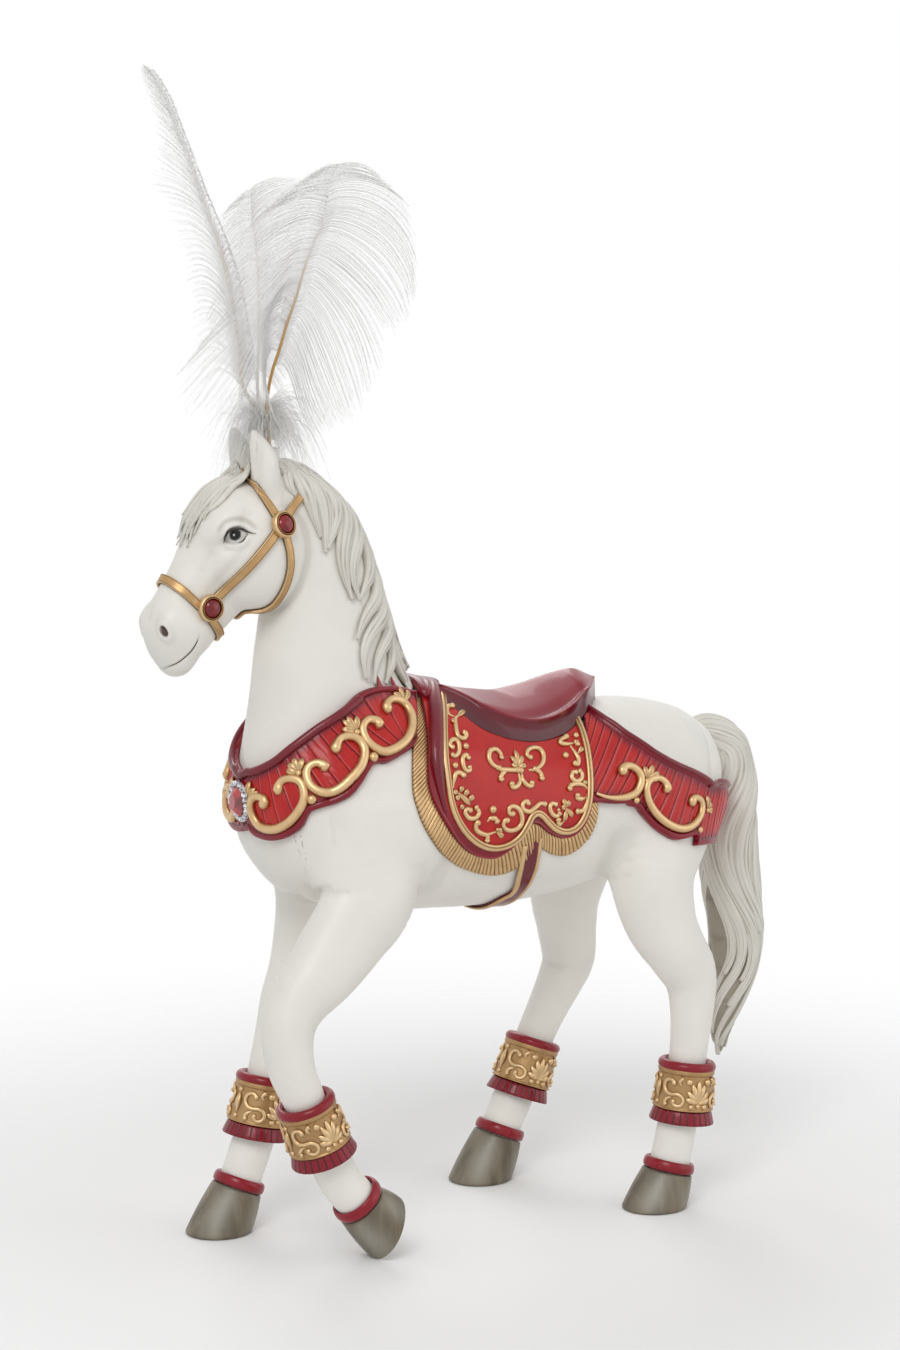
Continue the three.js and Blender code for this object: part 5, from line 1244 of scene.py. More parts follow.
# rows across the left half: foot, wall, rim bead and top; the top rises evenly to the crown
t = np.linspace(0, 1, 22)[None, :, None]
wall = foot[:, None] * (1 - t) + rim[:, None] * t
out = unit(np.cross(np.gradient(rim, axis=0), [0, 0, 1.0]))
out = out * np.sign((out * (rim - crown)).sum(1, keepdims=True) + 1e-9)
size = np.clip(np.linalg.norm(rim - crown, axis=1) / saddlePlan["fullWidth"], 0, 1)[:, None, None]
wall = wall - out[:, None] * np.sin(np.pi * t) * saddlePlan["tuck"] * size
u = np.linspace(0, 1, 26)[None, 1:, None]
topPart = rim[:, None] * (1 - u) + crown[:, None] * u
arch = np.sin(np.pi * u / 2) ** 1.2 - u
dish = arch * saddlePlan["arch"] - saddlePlan["dish"] * bell(u, 0.16, 0.10)
topPart[..., 2] += (dish * mm * size)[..., 0]
half = np.concatenate([wall, topPart], 1)
lift = np.concatenate([bell(t, 1.0, 0.10), bell(u, 0.0, 0.10)], 1) * saddlePlan["bead"] * size
half = half + out[:, None] * lift * 0.8
half[..., 2] += lift[..., 0]
full = np.concatenate([half, mirrored(half[:, -2::-1])], 1)
# a painted highlight, rosy towards the crown and along the rim bead; dark is painted shade low on the
# wall
seatHighlight = np.concatenate([0.0 * t[0, :, 0], 0.30 + 0.35 * np.sin(np.pi * u[0, :, 0] / 2)])
seatHighlight = seatHighlight + 0.9 * np.concatenate([bell(t[0, :, 0], 1.0, 0.07), bell(u[0, :, 0], 0, 0.05)])
dark = np.concatenate([0.9 - 0.5 * t[0, :, 0], 0.35 * bell(u[0, :, 0], 0.1, 0.08)])
seatHighlight = np.concatenate([seatHighlight, seatHighlight[-2::-1]])
dark = np.concatenate([dark, dark[-2::-1]])
made = Build()
made.tube(full, rub=np.broadcast_to(seatHighlight * 0.8, full.shape[:2]),
          edge=np.broadcast_to(dark * 0.8, full.shape[:2]))
made.piece("saddle_seat", "saddle", slot="burgundy_paint", finish=burgundy)
print("saddle done")

# Cuffs: a glossy rolled top, a gold plate with raised ornament and a pleated skirt, on each leg
cuffPlan = {
    "height": 24 * mm, "roll": 2.2 * mm, "skirt": 5.5 * mm, "flare": 1.6 * mm, "splay": 1.2 * mm,
    "gap": 0.35 * mm, "shank": 8.6 * mm, "sleeve": 1.0 * mm, "plate": 1.0 * mm, "pleats": 28,
    "groove": 0.42 * mm, "periods": 2, "rod": 0.92 * mm,
}
legTables = {"fore_left": foreLeft, "fore_right": foreRight, "hind_left": hindLeft,
             "hind_right": hindRight}
cuffPlaces = {   # x and z shares of the roll and of the hem
    "fore_left": [(-1.068, 0.69), (-0.975, 0.445)], "fore_right": [(-0.895, 0.63), (-0.945, 0.40)],
    "hind_left": [(0.775, 0.61), (0.748, 0.38)], "hind_right": [(0.488, 0.586), (0.412, 0.383)],
}
# turn of the palmette round each leg
cuffTurns = {"fore_left": -0.52, "fore_right": -0.75, "hind_left": -0.45, "hind_right": -0.55}
# Ornament of the plate: millimetres round the leg from a palmette, and down from the plate's top
scrollPath = [(-10.6, 5.0), (-10.9, 3.4), (-12.6, 2.5), (-14.6, 3.5), (-15.2, 5.8), (-14.0, 7.9),
              (-11.6, 8.7), (-9.0, 8.4), (-6.9, 9.4), (-6.3, 11.4), (-7.5, 13.2), (-9.6, 13.2),
              (-10.5, 11.8), (-9.6, 10.8)]
commaPath = [(-11.4, 9.9), (-13.0, 10.6), (-14.0, 12.2), (-13.4, 13.6)]
topCommaPath = [(-7.6, 4.6), (-8.4, 3.4), (-7.9, 2.2), (-7.0, 1.6)]
petalTips = [(0.0, 2.0), (-2.9, 3.4), (-4.9, 6.6), (-5.6, 9.8)]
petalRoot = (0.0, 12.0)
plateBeads = [(0.0, 12.9, 1.0), (-3.0, 13.2, 1.2), (-4.4, 2.9, 1.5), (-18.85, 12.9, 1.0),
              (-18.85, 2.0, 1.0)]
endLeaf = [(-18.85, 12.0), (-18.85, 3.4)]


def lathe(profile, foot, axis, sides=96, wobble=None):
    # rows of (height, radius) carried round an axis; the radius gains wobble(turn) * the row's share
    across, side, up = frameOf(axis)
    turn = np.linspace(0, 2 * np.pi, sides, endpoint=False)
    profile = np.asarray(profile, float)
    radius = profile[:, 1][:, None] + (0 if wobble is None else profile[:, 2][:, None] * wobble(turn))
    out = np.cos(turn)[:, None] * across + np.sin(turn)[:, None] * side
    return foot + up * profile[:, 0][:, None, None] + radius[..., None] * out


def addLathe(build, profile, foot, axis, sides=96, wobble=None, **values):
    # a closed loop of rows round the axis, as of a ring or a sleeve
    points = lathe(profile, foot, axis, sides, wobble)
    full = {k: np.broadcast_to(np.asarray(v, float)[:, None] if np.ndim(v) == 1 else v,
                               points.shape[:2]).ravel()
            for k, v in values.items()}
    build.add(points.reshape(-1, 3), gridFaces(*points.shape[:2], loop=True, ring=True), **full)


def arc(centre, radius, start, end, count):
    # (height, radius) places on a circle, angles in degrees from straight out towards larger height
    a = np.radians(np.linspace(start, end, count))
    return [(centre[0] + radius * math.sin(x), centre[1] + radius * math.cos(x), 0) for x in a]


def roundLoop(corners, radius, count=5):
    # closed profile through corners, each rounded by a small arc drawn as a quadratic curve
    rows = []
    corners = np.asarray(corners, float)
    for i in range(len(corners)):
        before, here, after = corners[i - 1], corners[i], corners[(i + 1) % len(corners)]
        a = here + (before - here) * min(0.45, radius / max(np.linalg.norm(before[:2] - here[:2]), 1e-9))
        b = here + (after - here) * min(0.45, radius / max(np.linalg.norm(after[:2] - here[:2]), 1e-9))
        for t in np.linspace(0, 1, count):
            rows.append(a * (1 - t) ** 2 + 2 * here * t * (1 - t) + b * t * t)
    return np.array(rows)


horn = Finish("horn resin", IOR=1.5)
streak = horn.noise(150, 4, stretch=(1, 1, 0.07))
cloud = horn.noise(45, 3)
hornTone = horn.blend(streak.ramp(0.3, 0.72), (0.095, 0.072, 0.042), (0.215, 0.175, 0.115))
# painted sheen: pale grey where the highlight value is high, broken by the cloud noise
hornTone = horn.blend((horn.value("rub") * 0.8 + cloud * 0.25 - 0.1).clip(), hornTone,
                      (0.34, 0.33, 0.275))
# painted shade: near black where recess is high, at the hoof's top under the coronet
horn.colour(horn.blend(horn.value("recess").clip(), hornTone, (0.05, 0.042, 0.028)))
horn.rough(cloud * 0.2 + 0.28)
horn.relief(horn.bump(streak, 0.25, 0.0004))
hoofPlan = {"top": 10.5 * mm, "length": 14.2 * mm, "width": 13.2 * mm}
hoofSoles = {"fore_left": (-0.70, 0.1345, 67), "fore_right": (-1.12, 0.015, 0),
             "hind_left": (0.61, 0.015, 0),
             "hind_right": (0.215, 0.015, 0)}   # x and z shares of the sole, and its tilt in degrees
coronetPlan = {"height": 4.6 * mm, "thick": 1.8 * mm}

for legName, rows in legTables.items():
    plan = cuffPlan
    side = rows[-1][1]
    (topX, topZ), (hemX, hemZ) = cuffPlaces[legName]
    cuffTop = spots([topX, side, topZ])
    down = unit(spots([hemX, side, hemZ]) - cuffTop)
    inner = plan["shank"] + plan["gap"]
    sleeve = inner + plan["sleeve"]
    hem = plan["height"] - plan["skirt"]
    skirt = sleeve + plan["splay"] + plan["plate"]
    rollAt = (0, sleeve + 0.15 * mm)
    beat = lambda turn: -plan["groove"] * (
        np.abs((turn * plan["pleats"] / (2 * np.pi) + 0.5) % 1 - 0.5) < 0.07)
    lining = np.vstack([
        [(-1.6 * mm, inner, 0)], arc(rollAt, plan["roll"], -80, 92, 15),
        [(hem - 0.3 * mm, sleeve + 0.2 * mm, 0), (hem - 0.1 * mm, skirt - 0.7 * mm, 0),
         (hem, skirt - 0.2 * mm, 0.5), (hem + 0.3 * mm, skirt + 0.1 * mm, 1)],
        [(hem + f * plan["skirt"], skirt + 0.1 * mm + f * plan["flare"], 1)
         for f in (0.25, 0.5, 0.75, 0.93)],
        [(plan["height"] + 0.05 * mm, skirt + plan["flare"] - 0.15 * mm, 0.8),
         (plan["height"], skirt + plan["flare"] - 0.7 * mm, 0),
         (plan["height"] - 0.5 * mm, inner + 0.6 * mm, 0),
         (hem, inner, 0)],
    ])
    sides = plan["pleats"] * 14
    groove = np.abs((np.linspace(0, plan["pleats"], sides, endpoint=False) + 0.5) % 1 - 0.5) < 0.075
    # painted shade: dark in the skirt's pleat grooves, inside the cuff, in the notch below the roll and
    # in the crease at the plate's lower end
    recess = np.clip(lining[:, 2], 0, 1)[:, None] * groove
    recess[len(lining) - 3:] = 0.8   # inside, and the notch below the roll
    recess[16:19] = 0.9
    shade = np.broadcast_to(np.where(lining[:, 2] > 0, 0.55, 0.28)[:, None], recess.shape)
    made = Build()
    addLathe(made, lining, cuffTop, down, sides, beat, recess=recess, edge=np.clip(shade + 0.55, 0, 1))
    made.piece("cuff_lining_soft_" + legName, "cuff_lining_" + legName, slot="red_paint", finish=red)

    made = Build()
    start, end = plan["roll"] + plan["gap"], hem - plan["gap"]
    splay = lambda height: plan["splay"] * height / hem
    inside = lambda height: sleeve + plan["gap"] + splay(height)
    outside = lambda height: inside(height) + plan["plate"]
    corners = [(start - 1.3 * mm, inside(start), 0), (start - 1.3 * mm, outside(start) + 0.5 * mm, 0),
               (start + 0.4 * mm, outside(start) + 0.5 * mm, 0), (start + 0.9 * mm, outside(start), 0),
               (end - 0.9 * mm, outside(end), 0), (end - 0.5 * mm, outside(end) + 0.45 * mm, 0),
               (end, outside(end) + 0.45 * mm, 0), (end, inside(end), 0)]
    plate = roundLoop(corners, 0.3 * mm)
    addLathe(made, plate, cuffTop, down, 96, None, recess=0.34, rub=0.0)
    plateX, plateY, plateDown = frameOf(down)
    sight = unit(view - plateDown * (view @ plateDown))
    facing = math.atan2(sight @ plateY, sight @ plateX)

    def onPlate(places, lift, hand=1, spun=0.0):
        # millimetres round and down become points above the plate, and their outward directions
        places = np.asarray(places, float)
        height = start + 0.2 * mm + places[:, 1] * mm
        radius = outside(height)
        turn = facing + cuffTurns[legName] + spun + hand * places[:, 0] * mm / (sleeve + 2.0 * mm)
        out = np.cos(turn)[:, None] * plateX + np.sin(turn)[:, None] * plateY
        return cuffTop + plateDown * height[:, None] + out * (radius + lift)[:, None], out

    def plateRod(path, radii, hand, spun, count, crease=0.0):
        path = paced(flow(path, 4 * count), count)
        line, out = onPlate(path, 0.25 * radii, hand, spun)
        rings = rodRings(line, radii, out, 8, 0.95, crease)
        turn = np.linspace(0, 2 * np.pi, 8, endpoint=False)
        # painted shade on the rod's underside and a painted highlight on its crown
        dark = np.clip((0.25 - np.sin(turn)) * 1.2, 0, 1)
        made.tube(rings, recess=np.broadcast_to(dark, rings.shape[:2]),
                  rub=np.broadcast_to(0.5 * np.clip(np.sin(turn), 0, 1) ** 2, rings.shape[:2]))

    for k in range(plan["periods"]):
        spun = 2 * np.pi * k / plan["periods"]
        for hand in (1, -1):
            plateRod(scrollPath, swell(40, plan["rod"], 1.5, 0.8), hand, spun, 40)
            plateRod(commaPath, hook(16, 0.9 * mm, 1.5, 0.35), hand, spun, 16)
            plateRod(topCommaPath, hook(14, 0.9 * mm, 1.4, 0.5), hand, spun, 14)
            for tip in petalTips[0 if hand == 1 else 1:]:
                plateRod([petalRoot, tip], leaf(10, 1.3 * mm), hand, spun, 10, 0.35)
            for x, y, r in plateBeads[0 if hand == 1 else 1:]:
                if hand == -1 and x < -18:
                    continue
                perch, outAt = onPlate([(x, y)], np.array([0.2 * mm]), hand, spun)
                # the beads are painted a little lighter as a highlight
                made.ball(perch[0], r * mm, outAt[0], 0.9, 10, recess=0.0, rub=0.35)
        plateRod(endLeaf, leaf(10, 1.5 * mm), 1, spun, 10, 0.35)
    made.piece("cuff_gilt_" + legName, "cuff_plate_" + legName, slot="antique_gold", finish=gold)

    legEnd = spots([rows[-1][0], side, rows[-1][2]])
    legAim = unit(legEnd - spots([rows[-2][0], side, rows[-2][2]]))
    outer = plan["shank"] + plan["gap"] + coronetPlan["thick"]
    tall = coronetPlan["height"]
    band = roundLoop([(0, inner, 0), (0, outer, 0), (0.55 * tall, outer + 0.3 * mm, 0),
                      (tall, outer - 0.5 * mm, 0), (tall, inner, 0)], 1.1 * mm, 7)
    made = Build()
    # painted shade on the band's inside face; the band is a darker red at its foot
    addLathe(made, band, legEnd, -legAim, 72, None, edge=np.where(band[:, 0] < 1.2 * mm, 0.95, 0.8),
             recess=np.where(band[:, 1] < inner + 0.3 * mm, 0.6, 0.0))
    made.piece("coronet_soft_" + legName, "coronet_band_" + legName, slot="red_paint", finish=red)

    x, z, tilt = hoofSoles[legName]
    sole = spots([x, side, z])
    tilt = math.radians(tilt)
    soleAim = np.array([math.cos(tilt), 0, math.sin(tilt)])
    legAcross = unit(np.cross(legAim, [0, 1.0, 0]))
    hoofTop = legEnd + legAim * plan["gap"]
    share = np.concatenate([[0], np.linspace(0.01, 0.95, 22), [0.975, 0.992, 1.0]])
    turn = np.linspace(0, 2 * np.pi, 64, endpoint=False)
    axis = hoofTop + (sole - hoofTop) * share[:, None]
    mix = unit(legAcross * (1 - share[:, None]) + soleAim * share[:, None])
    tuck = np.interp(share, [0, 0.01, 0.04, 0.95, 0.975, 0.992, 1.0],
                     [0.96, 1.0, 1.01, 1.0, 0.99, 0.965, 0.92])
    belly = 1 + 0.02 * np.sin(np.pi * share)
    long = (hoofPlan["top"] + (hoofPlan["length"] - hoofPlan["top"]) * share) * tuck * belly
    wide = (hoofPlan["top"] + (hoofPlan["width"] - hoofPlan["top"]) * share) * tuck * belly
    heel = 1 - 0.10 * bell(np.abs(((turn + np.pi) % (2 * np.pi)) - np.pi), 0, 0.5) * np.sign(soleAim[0])
    rings = (axis[:, None] + mix[:, None] * (long[:, None] * (np.cos(turn) * heel))[..., None]
             + np.array([0, 1.0, 0]) * (wide[:, None] * np.sin(turn))[..., None])
    rings[..., 2] = np.maximum(rings[..., 2], 0.0)
    # a painted sheen in two upright bands, and painted shade at the top under the coronet
    light = (bell(turn, 3.9, 0.45) * 0.9 + bell(turn, 5.3, 0.35) * 0.5)[None]
    light = light * np.sin(np.pi * share[:, None]) ** 0.5
    made = Build()
    made.tube(rings, rub=light, recess=np.broadcast_to((share < 0.03)[:, None] * 0.4, rings.shape[:2]))
    made.piece("hoof_horn_" + legName, "hoof_" + legName, slot="hoof_resin", finish=horn)
print("cuffs and hooves done")

# Head: carving of the face, painted eyes, gilt bridle with rosettes, and the brooch on the breast
facePlan = {
    "nostril": (163.5, 631.8), "nostrilSize": (1.6 * mm, 2.5 * mm), "nostrilDepth": 2.0 * mm,
    "mouth": [(199.5, 632.5), (198.3, 640.4), (192.2, 651.0), (180.5, 661.6), (168, 667.4), (160, 669)],
    "jaw": [(288, 508), (298, 517), (305.5, 531), (308.5, 546), (307.5, 564), (298.4, 588.8), (282, 606),
            (264, 614)],
    "upperLid": [(221.5, 541), (224, 532.5), (229.5, 526.3), (237.5, 524.3), (246, 527), (252, 531),
                 (257, 532.5)],
    "overLid": [(217, 538), (219.5, 529), (226, 521.8), (236, 519), (247, 521), (255, 526.5), (261, 529)],
    "lowerLid": [(223.5, 543.3), (229, 546), (236.5, 546.4), (243, 543.8), (248, 538.5), (251.5, 535)],
    "underLid": [(222, 546), (228.5, 550.3), (237, 551.3), (245.5, 548), (252.5, 541.5)],
    "tearLine": [(214, 548), (206, 560), (199, 575)], "cheekLine": [(222, 583), (240, 566), (255, 549)],
    "noseBone": [(196, 556), (183, 577), (172, 596)],
}
refineAt = [traced([facePlan["nostril"]], 0)[0], traced([(186, 656)], 0)[0]]
for leftPlace, size in zip(refineAt, (6 * mm, 10 * mm)):
    for place in (leftPlace, mirrored(leftPlace)):
        refine(body, np.linalg.norm(coordinates(body) - place, axis=1) < size)
flesh = seat(coordinates(body), 0, 3)
flesh = relax(body, flesh, 2, 0.5)
flesh = seat(flesh, 0, 2)
fleshOut = unit(slopes(flesh, 0.8 * mm))
recess, inkiness = np.zeros(len(flesh)), np.zeros(len(flesh))


def carve(line, width, depth, washAndShade=0.0):
    # a groove (or, for a negative depth, a ridge) along a line on both sides: depth * exp(-(d / width)^2)
    global flesh
    for side in (line, mirrored(line)):
        low, high = side.min(0) - 3 * width, side.max(0) + 3 * width
        near = np.flatnonzero(np.all((flesh > low) & (flesh < high), axis=1))
        d, t = polylineDistance(flesh[near], side)
        share = np.exp(-(d / width) ** 2) * np.clip(np.sin(np.pi * np.clip(t, 0.02, 0.98)) * 2.2, 0, 1)
        flesh[near] -= fleshOut[near] * (depth * share)[:, None]
        # the groove is darkened with dark wash and painted shade
        recess[near] = np.maximum(recess[near], washAndShade * share)


def onFace(name, count=40):
    return seat(curveThrough(traced(facePlan[name], 0), count), 0, 3)


carve(onFace("jaw", 60), 1.8 * mm, 0.95 * mm, 0.30)
carve(onFace("upperLid"), 0.85 * mm, -0.75 * mm)
carve(onFace("overLid"), 1.05 * mm, 0.50 * mm, 0.45)
carve(onFace("lowerLid"), 0.80 * mm, -0.50 * mm)
carve(onFace("underLid"), 1.1 * mm, 0.18 * mm, 0.12)
carve(onFace("tearLine"), 2.2 * mm, 0.30 * mm)
carve(onFace("cheekLine"), 2.6 * mm, -0.35 * mm)
carve(onFace("noseBone"), 2.4 * mm, 0.25 * mm)
carve(onFace("mouth", 50), 0.55 * mm, 0.55 * mm, 0.5)
hole = traced([facePlan["nostril"]], 0)[0]
for centre in (hole, mirrored(hole)):
    _, out = seat([centre], 0, 1, normals=True)
    along, aside, _ = frameOf(out[0])
    off = flesh - centre
    a, b = off @ along, off @ aside
    r = np.hypot((a * 0.92 + b * 0.39) / facePlan["nostrilSize"][0],
                 (b * 0.92 - a * 0.39) / facePlan["nostrilSize"][1])
    r = np.where(np.linalg.norm(off, axis=1) < 9 * mm, r, 9)
    bowl = 1 - steps(r, 0.45, 1.05)
    flesh += out[0] * (0.25 * mm * bell(r, 1.5, 0.40) - facePlan["nostrilDepth"] * bowl)[:, None]
    inkiness = np.maximum(inkiness, 1 - steps(r, 0.8, 1.12))
    # a faint ring of painted shade round the nostril's rim
    recess = np.maximum(recess, 0.12 * bell(r, 2.1, 0.5))
# Dark wash and painted shade gather where the flesh is hollow: the mean of the neighbours lies outside
# the point
smooth = relax(body, flesh, 14, 0.6)
hollow = ((smooth - flesh) * fleshOut).sum(1)
recess = np.clip(recess + np.clip(hollow / (0.60 * mm), 0, 0.16), 0, 1)

# Eye: a glazed almond with a painted iris, and dark lines along its lids
ink = Finish("dark paint", Roughness=0.32)
ink.colour(ink.blend(ink.noise(300).ramp(0.3, 0.7), (0.010, 0.008, 0.007), (0.028, 0.020, 0.016)))
brown = Finish("brown paint", Roughness=0.5)
brown.colour(brown.blend(brown.noise(300).ramp(0.3, 0.7), (0.055, 0.030, 0.020), (0.085, 0.050, 0.036)))
glaze = Finish("painted eye", IOR=1.5, Coat_Weight=0.25, Coat_Roughness=0.04)
glaze.shader.inputs["Specular IOR Level"].default_value = 0.2
iris = glaze.value("iris")
white = glaze.blend(glaze.noise(500).ramp(0.3, 0.7), (0.60, 0.575, 0.53), (0.70, 0.68, 0.64))
white = glaze.blend(glaze.value("shade").clip(), white, (0.20, 0.16, 0.13))
dark = glaze.blend(glaze.value("pupil").clip(), (0.055, 0.052, 0.050), (0.004, 0.004, 0.004))
# spark: a painted highlight, near white, on the eye; shade: painted shade in the eye's corners
glaze.colour(glaze.blend(glaze.value("spark").clip(), glaze.blend(iris.clip(), white, dark),
                         (0.92, 0.92, 0.92)))
glaze.rough(glaze.noise(400) * 0.06 + 0.10)
eyeUpper = [(223.9, 541.8), (225.6, 535.5), (229.5, 530.6), (235.8, 528.6), (242, 529.6), (246.5, 532.2),
            (248.5, 534.5)]
eyeLower = [(223.9, 541.8), (227.5, 542.9), (232, 543.3), (237.5, 543), (242.2, 541.2), (246, 537.8),
            (248.5, 534.5)]
lidLine = [(223.0, 543.0), (225.2, 535.3), (229.2, 530.0), (235.9, 527.9), (242.4, 529.0), (247.6, 531.8),
           (252, 533.2), (256, 533.6)]
lowLine = [(245.8, 534.6), (244.8, 538.5), (241.6, 541.7), (238.0, 543.3)]
irisAt, irisSize, sparkAt = np.array([234.9, 534.6]), 6.3, np.array([233.6, 534.4])
for hand, turnOver in bothHands:
    upperRow, lowerRow = flow(eyeUpper, 40), flow(eyeLower, 40)
    t = np.linspace(0, 1, 17)[None, :, None]
    cells = upperRow[:, None] * (1 - t) + lowerRow[:, None] * t
    bulge = (np.sin(np.pi * t[..., 0]) * np.sin(np.pi * np.linspace(0, 1, 40))[:, None]) ** 0.6
    places, outs = seat(traced(cells.reshape(-1, 2), 0.1 * mm), 0, 3, normals=True)
    places, outs = places.reshape(40, 17, 3), unit(outs.reshape(40, 17, 3))
    top = places + outs * (0.12 * mm + 0.50 * mm * bulge)[..., None]
    below = (places - outs * 0.5 * mm)[:, ::-1]
    r = np.linalg.norm(cells - irisAt, axis=-1)
    values = {"iris": 1 - steps(r, irisSize - 0.45, irisSize + 0.25), "pupil": 1 - steps(r, 4.3, 5.9),
              "spark": 1 - steps(np.linalg.norm(cells - sparkAt, axis=-1), 0.75, 1.35),
              "shade": bell(cells[..., 0], 224, 3.5) * 0.8 + steps(cells[..., 0], 243, 248) * 0.7}
    values = {k: np.concatenate([v, v[:, ::-1]], 1) for k, v in values.items()}
    made = Build()
    made.tube(turnOver(np.concatenate([top, below], 1)), **values)
    made.piece("eye_glaze_" + hand, "eye_" + hand, slot="eye_gloss", finish=glaze)
    made = Build()
    line = turnOver(curveThrough(traced(lidLine, 0.35 * mm), 40))
    t = np.linspace(0, 1, 40)
    ribbon(made, line, 0.56 * mm * np.clip(np.sin(np.pi * t ** 0.8), 0.10, 1) ** 0.8, 0.62 * mm, 8, 0.7)
    line = turnOver(curveThrough(traced(lowLine, 0.35 * mm), 20))
    t = np.linspace(0, 1, 20)
    ribbon(made, line, 0.22 * mm * np.clip(np.sin(np.pi * t), 0.15, 1), 0.42 * mm, 8, 0.7)
    made.piece("lash_line_" + hand, slot="eye_gloss", finish=ink)
mouthLine = curveThrough(traced(facePlan["mouth"], 0), 60)
made = Build()
for turnOver in (np.array, mirrored):
    t = np.linspace(0, 1, 60)
    radii = 0.34 * mm * np.clip(np.sin(np.pi * t ** 0.6), 0.2, 1)
    ribbon(made, turnOver(mouthLine), radii, -0.62 * mm, 8, 0.8)
made.piece("mouth_line", slot="eye_gloss", finish=brown)
print("face done")

# Bridle: flat gilt straps laid on the head, [pixels] of the left side, half width and the places across
strapShare = np.concatenate([[0, 0.015, 0.05, 0.10, 0.14], np.linspace(0.2, 0.8, 7),
                             [0.86, 0.90, 0.95, 0.985, 1]])
strapEdge = np.minimum(strapShare, 1 - strapShare)
# top of the strap above the flesh: 1.65 mm, less the rounding of its edges, with a thin raised border
strapRise = (1.65 * mm - 0.5 * mm * (1 - steps(strapEdge, 0, 0.05))
             + 0.14 * mm * bell(strapEdge, 0.075, 0.035))
# dark wash and painted shade inside the raised border, a slightly darker tone all over, and a painted
# highlight on the border
strapWashAndShade = 0.75 * bell(strapEdge, 0.13, 0.03) + 0.2
strapHighlight = 0.75 * bell(strapEdge, 0.065, 0.035)
strapLines = {
    "browband": ([(239.5, 470.5), (245, 475.5), (252, 483), (260, 492), (268, 505), (277, 521)],
                 1.65 * mm),
    "crown": ([(282, 523), (288, 513.5), (294, 505), (300, 496.5)], 1.7 * mm),
    "cheekpiece": ([(278, 529), (266, 546), (254.4, 560), (237.1, 578), (222, 592), (210, 604)],
                   1.85 * mm),
    "throatlatch": ([(283, 532), (287.5, 547), (289.3, 562), (287, 578), (280.5, 593.5), (268, 606.8),
                     (252, 614.6), (244, 617)], 1.55 * mm),
}


def strap(build, line, half):
    line, normals = seat(line, 0, 4, normals=True)
    side = unit(np.cross(unit(np.gradient(line, axis=0)), normals))
    skin, outs = bandSkin(line + side * half, line - side * half, 5, len(line) * 2)
    ends = np.linspace(0, 1, len(skin))
    cut = 1 - 0.85 * (1 - np.sqrt(np.clip(np.minimum(ends, 1 - ends) / 0.012, 0.0, 1)))
    layBand(build, skin, outs, strapShare, strapRise * cut[:, None], recess=strapWashAndShade, rub=strapHighlight)


made = Build()
for name, (pixels, half) in strapLines.items():
    line = curveThrough(traced(pixels, 0), 60)
    if name == "throatlatch":
        _, facing = seat(line[-1:], 0, 1, normals=True)
        below = (line[-1:] + mirrored(line[-1:])) / 2 + unit(facing * [1, 0, 1]) * 6 * mm
        below = seat(below, 0, 8)
        strap(made, paced(flow(wholeWay(np.vstack([line[::6], below])), 400), 240), half)
        continue
    for turnOver in (np.array, mirrored):
        strap(made, turnOver(line), half)
# The noseband is a loop in a sloping plane across the nose
noseband = {"centre": [-1.395, 0, 2.665], "top": (168.3, 581.1), "half": 1.85 * mm, "start": 30 * mm}
noseCentre = spots(noseband["centre"])
noseUp = unit(traced([noseband["top"]], 0)[0] * [1, 0, 1] - noseCentre * [1, 0, 1])
turn = np.linspace(0, 2 * np.pi, 160, endpoint=False)
outwards = np.cos(turn)[:, None] * noseUp + np.sin(turn)[:, None] * np.array([0, 1.0, 0])
loop = noseCentre + outwards * noseband["start"]
for _ in range(30):
    loop = loop - outwards * np.clip(bodyField(loop) * 0.8, -3 * mm, 10 * mm)[:, None]
loop, outs = seat(loop, 0, 2, normals=True)
after = np.roll(loop, -1, 0) - np.roll(loop, 1, 0)
side = unit(np.cross(unit(after), outs))
rows = loop[:, None] + side[:, None] * ((strapShare - 0.5) * 2 * noseband["half"])[:, None]
shape = rows.shape
rows, outs = seat(rows.reshape(-1, 3), 0, 4, normals=True)
rows, outs = rows.reshape(shape), unit(outs.reshape(shape))
band = np.concatenate([rows + outs * strapRise[:, None], (rows + outs * underside)[:, ::-1]], 1)
# the noseband carries the straps' painted highlight and painted shade, and its underside is painted dark
# as shade
bandHighlight = np.concatenate([strapHighlight, np.zeros(len(strapShare))])
dustAndShade = np.concatenate([strapWashAndShade, np.ones(len(strapShare))])
count = band.shape[:2]
made.add(band.reshape(-1, 3), gridFaces(*count, loop=True, ring=True),
         recess=np.broadcast_to(dustAndShade, count).ravel(),
         rub=np.broadcast_to(bandHighlight, count).ravel())
made.piece("bridle_straps", "bridle", slot="antique_gold", finish=gold)

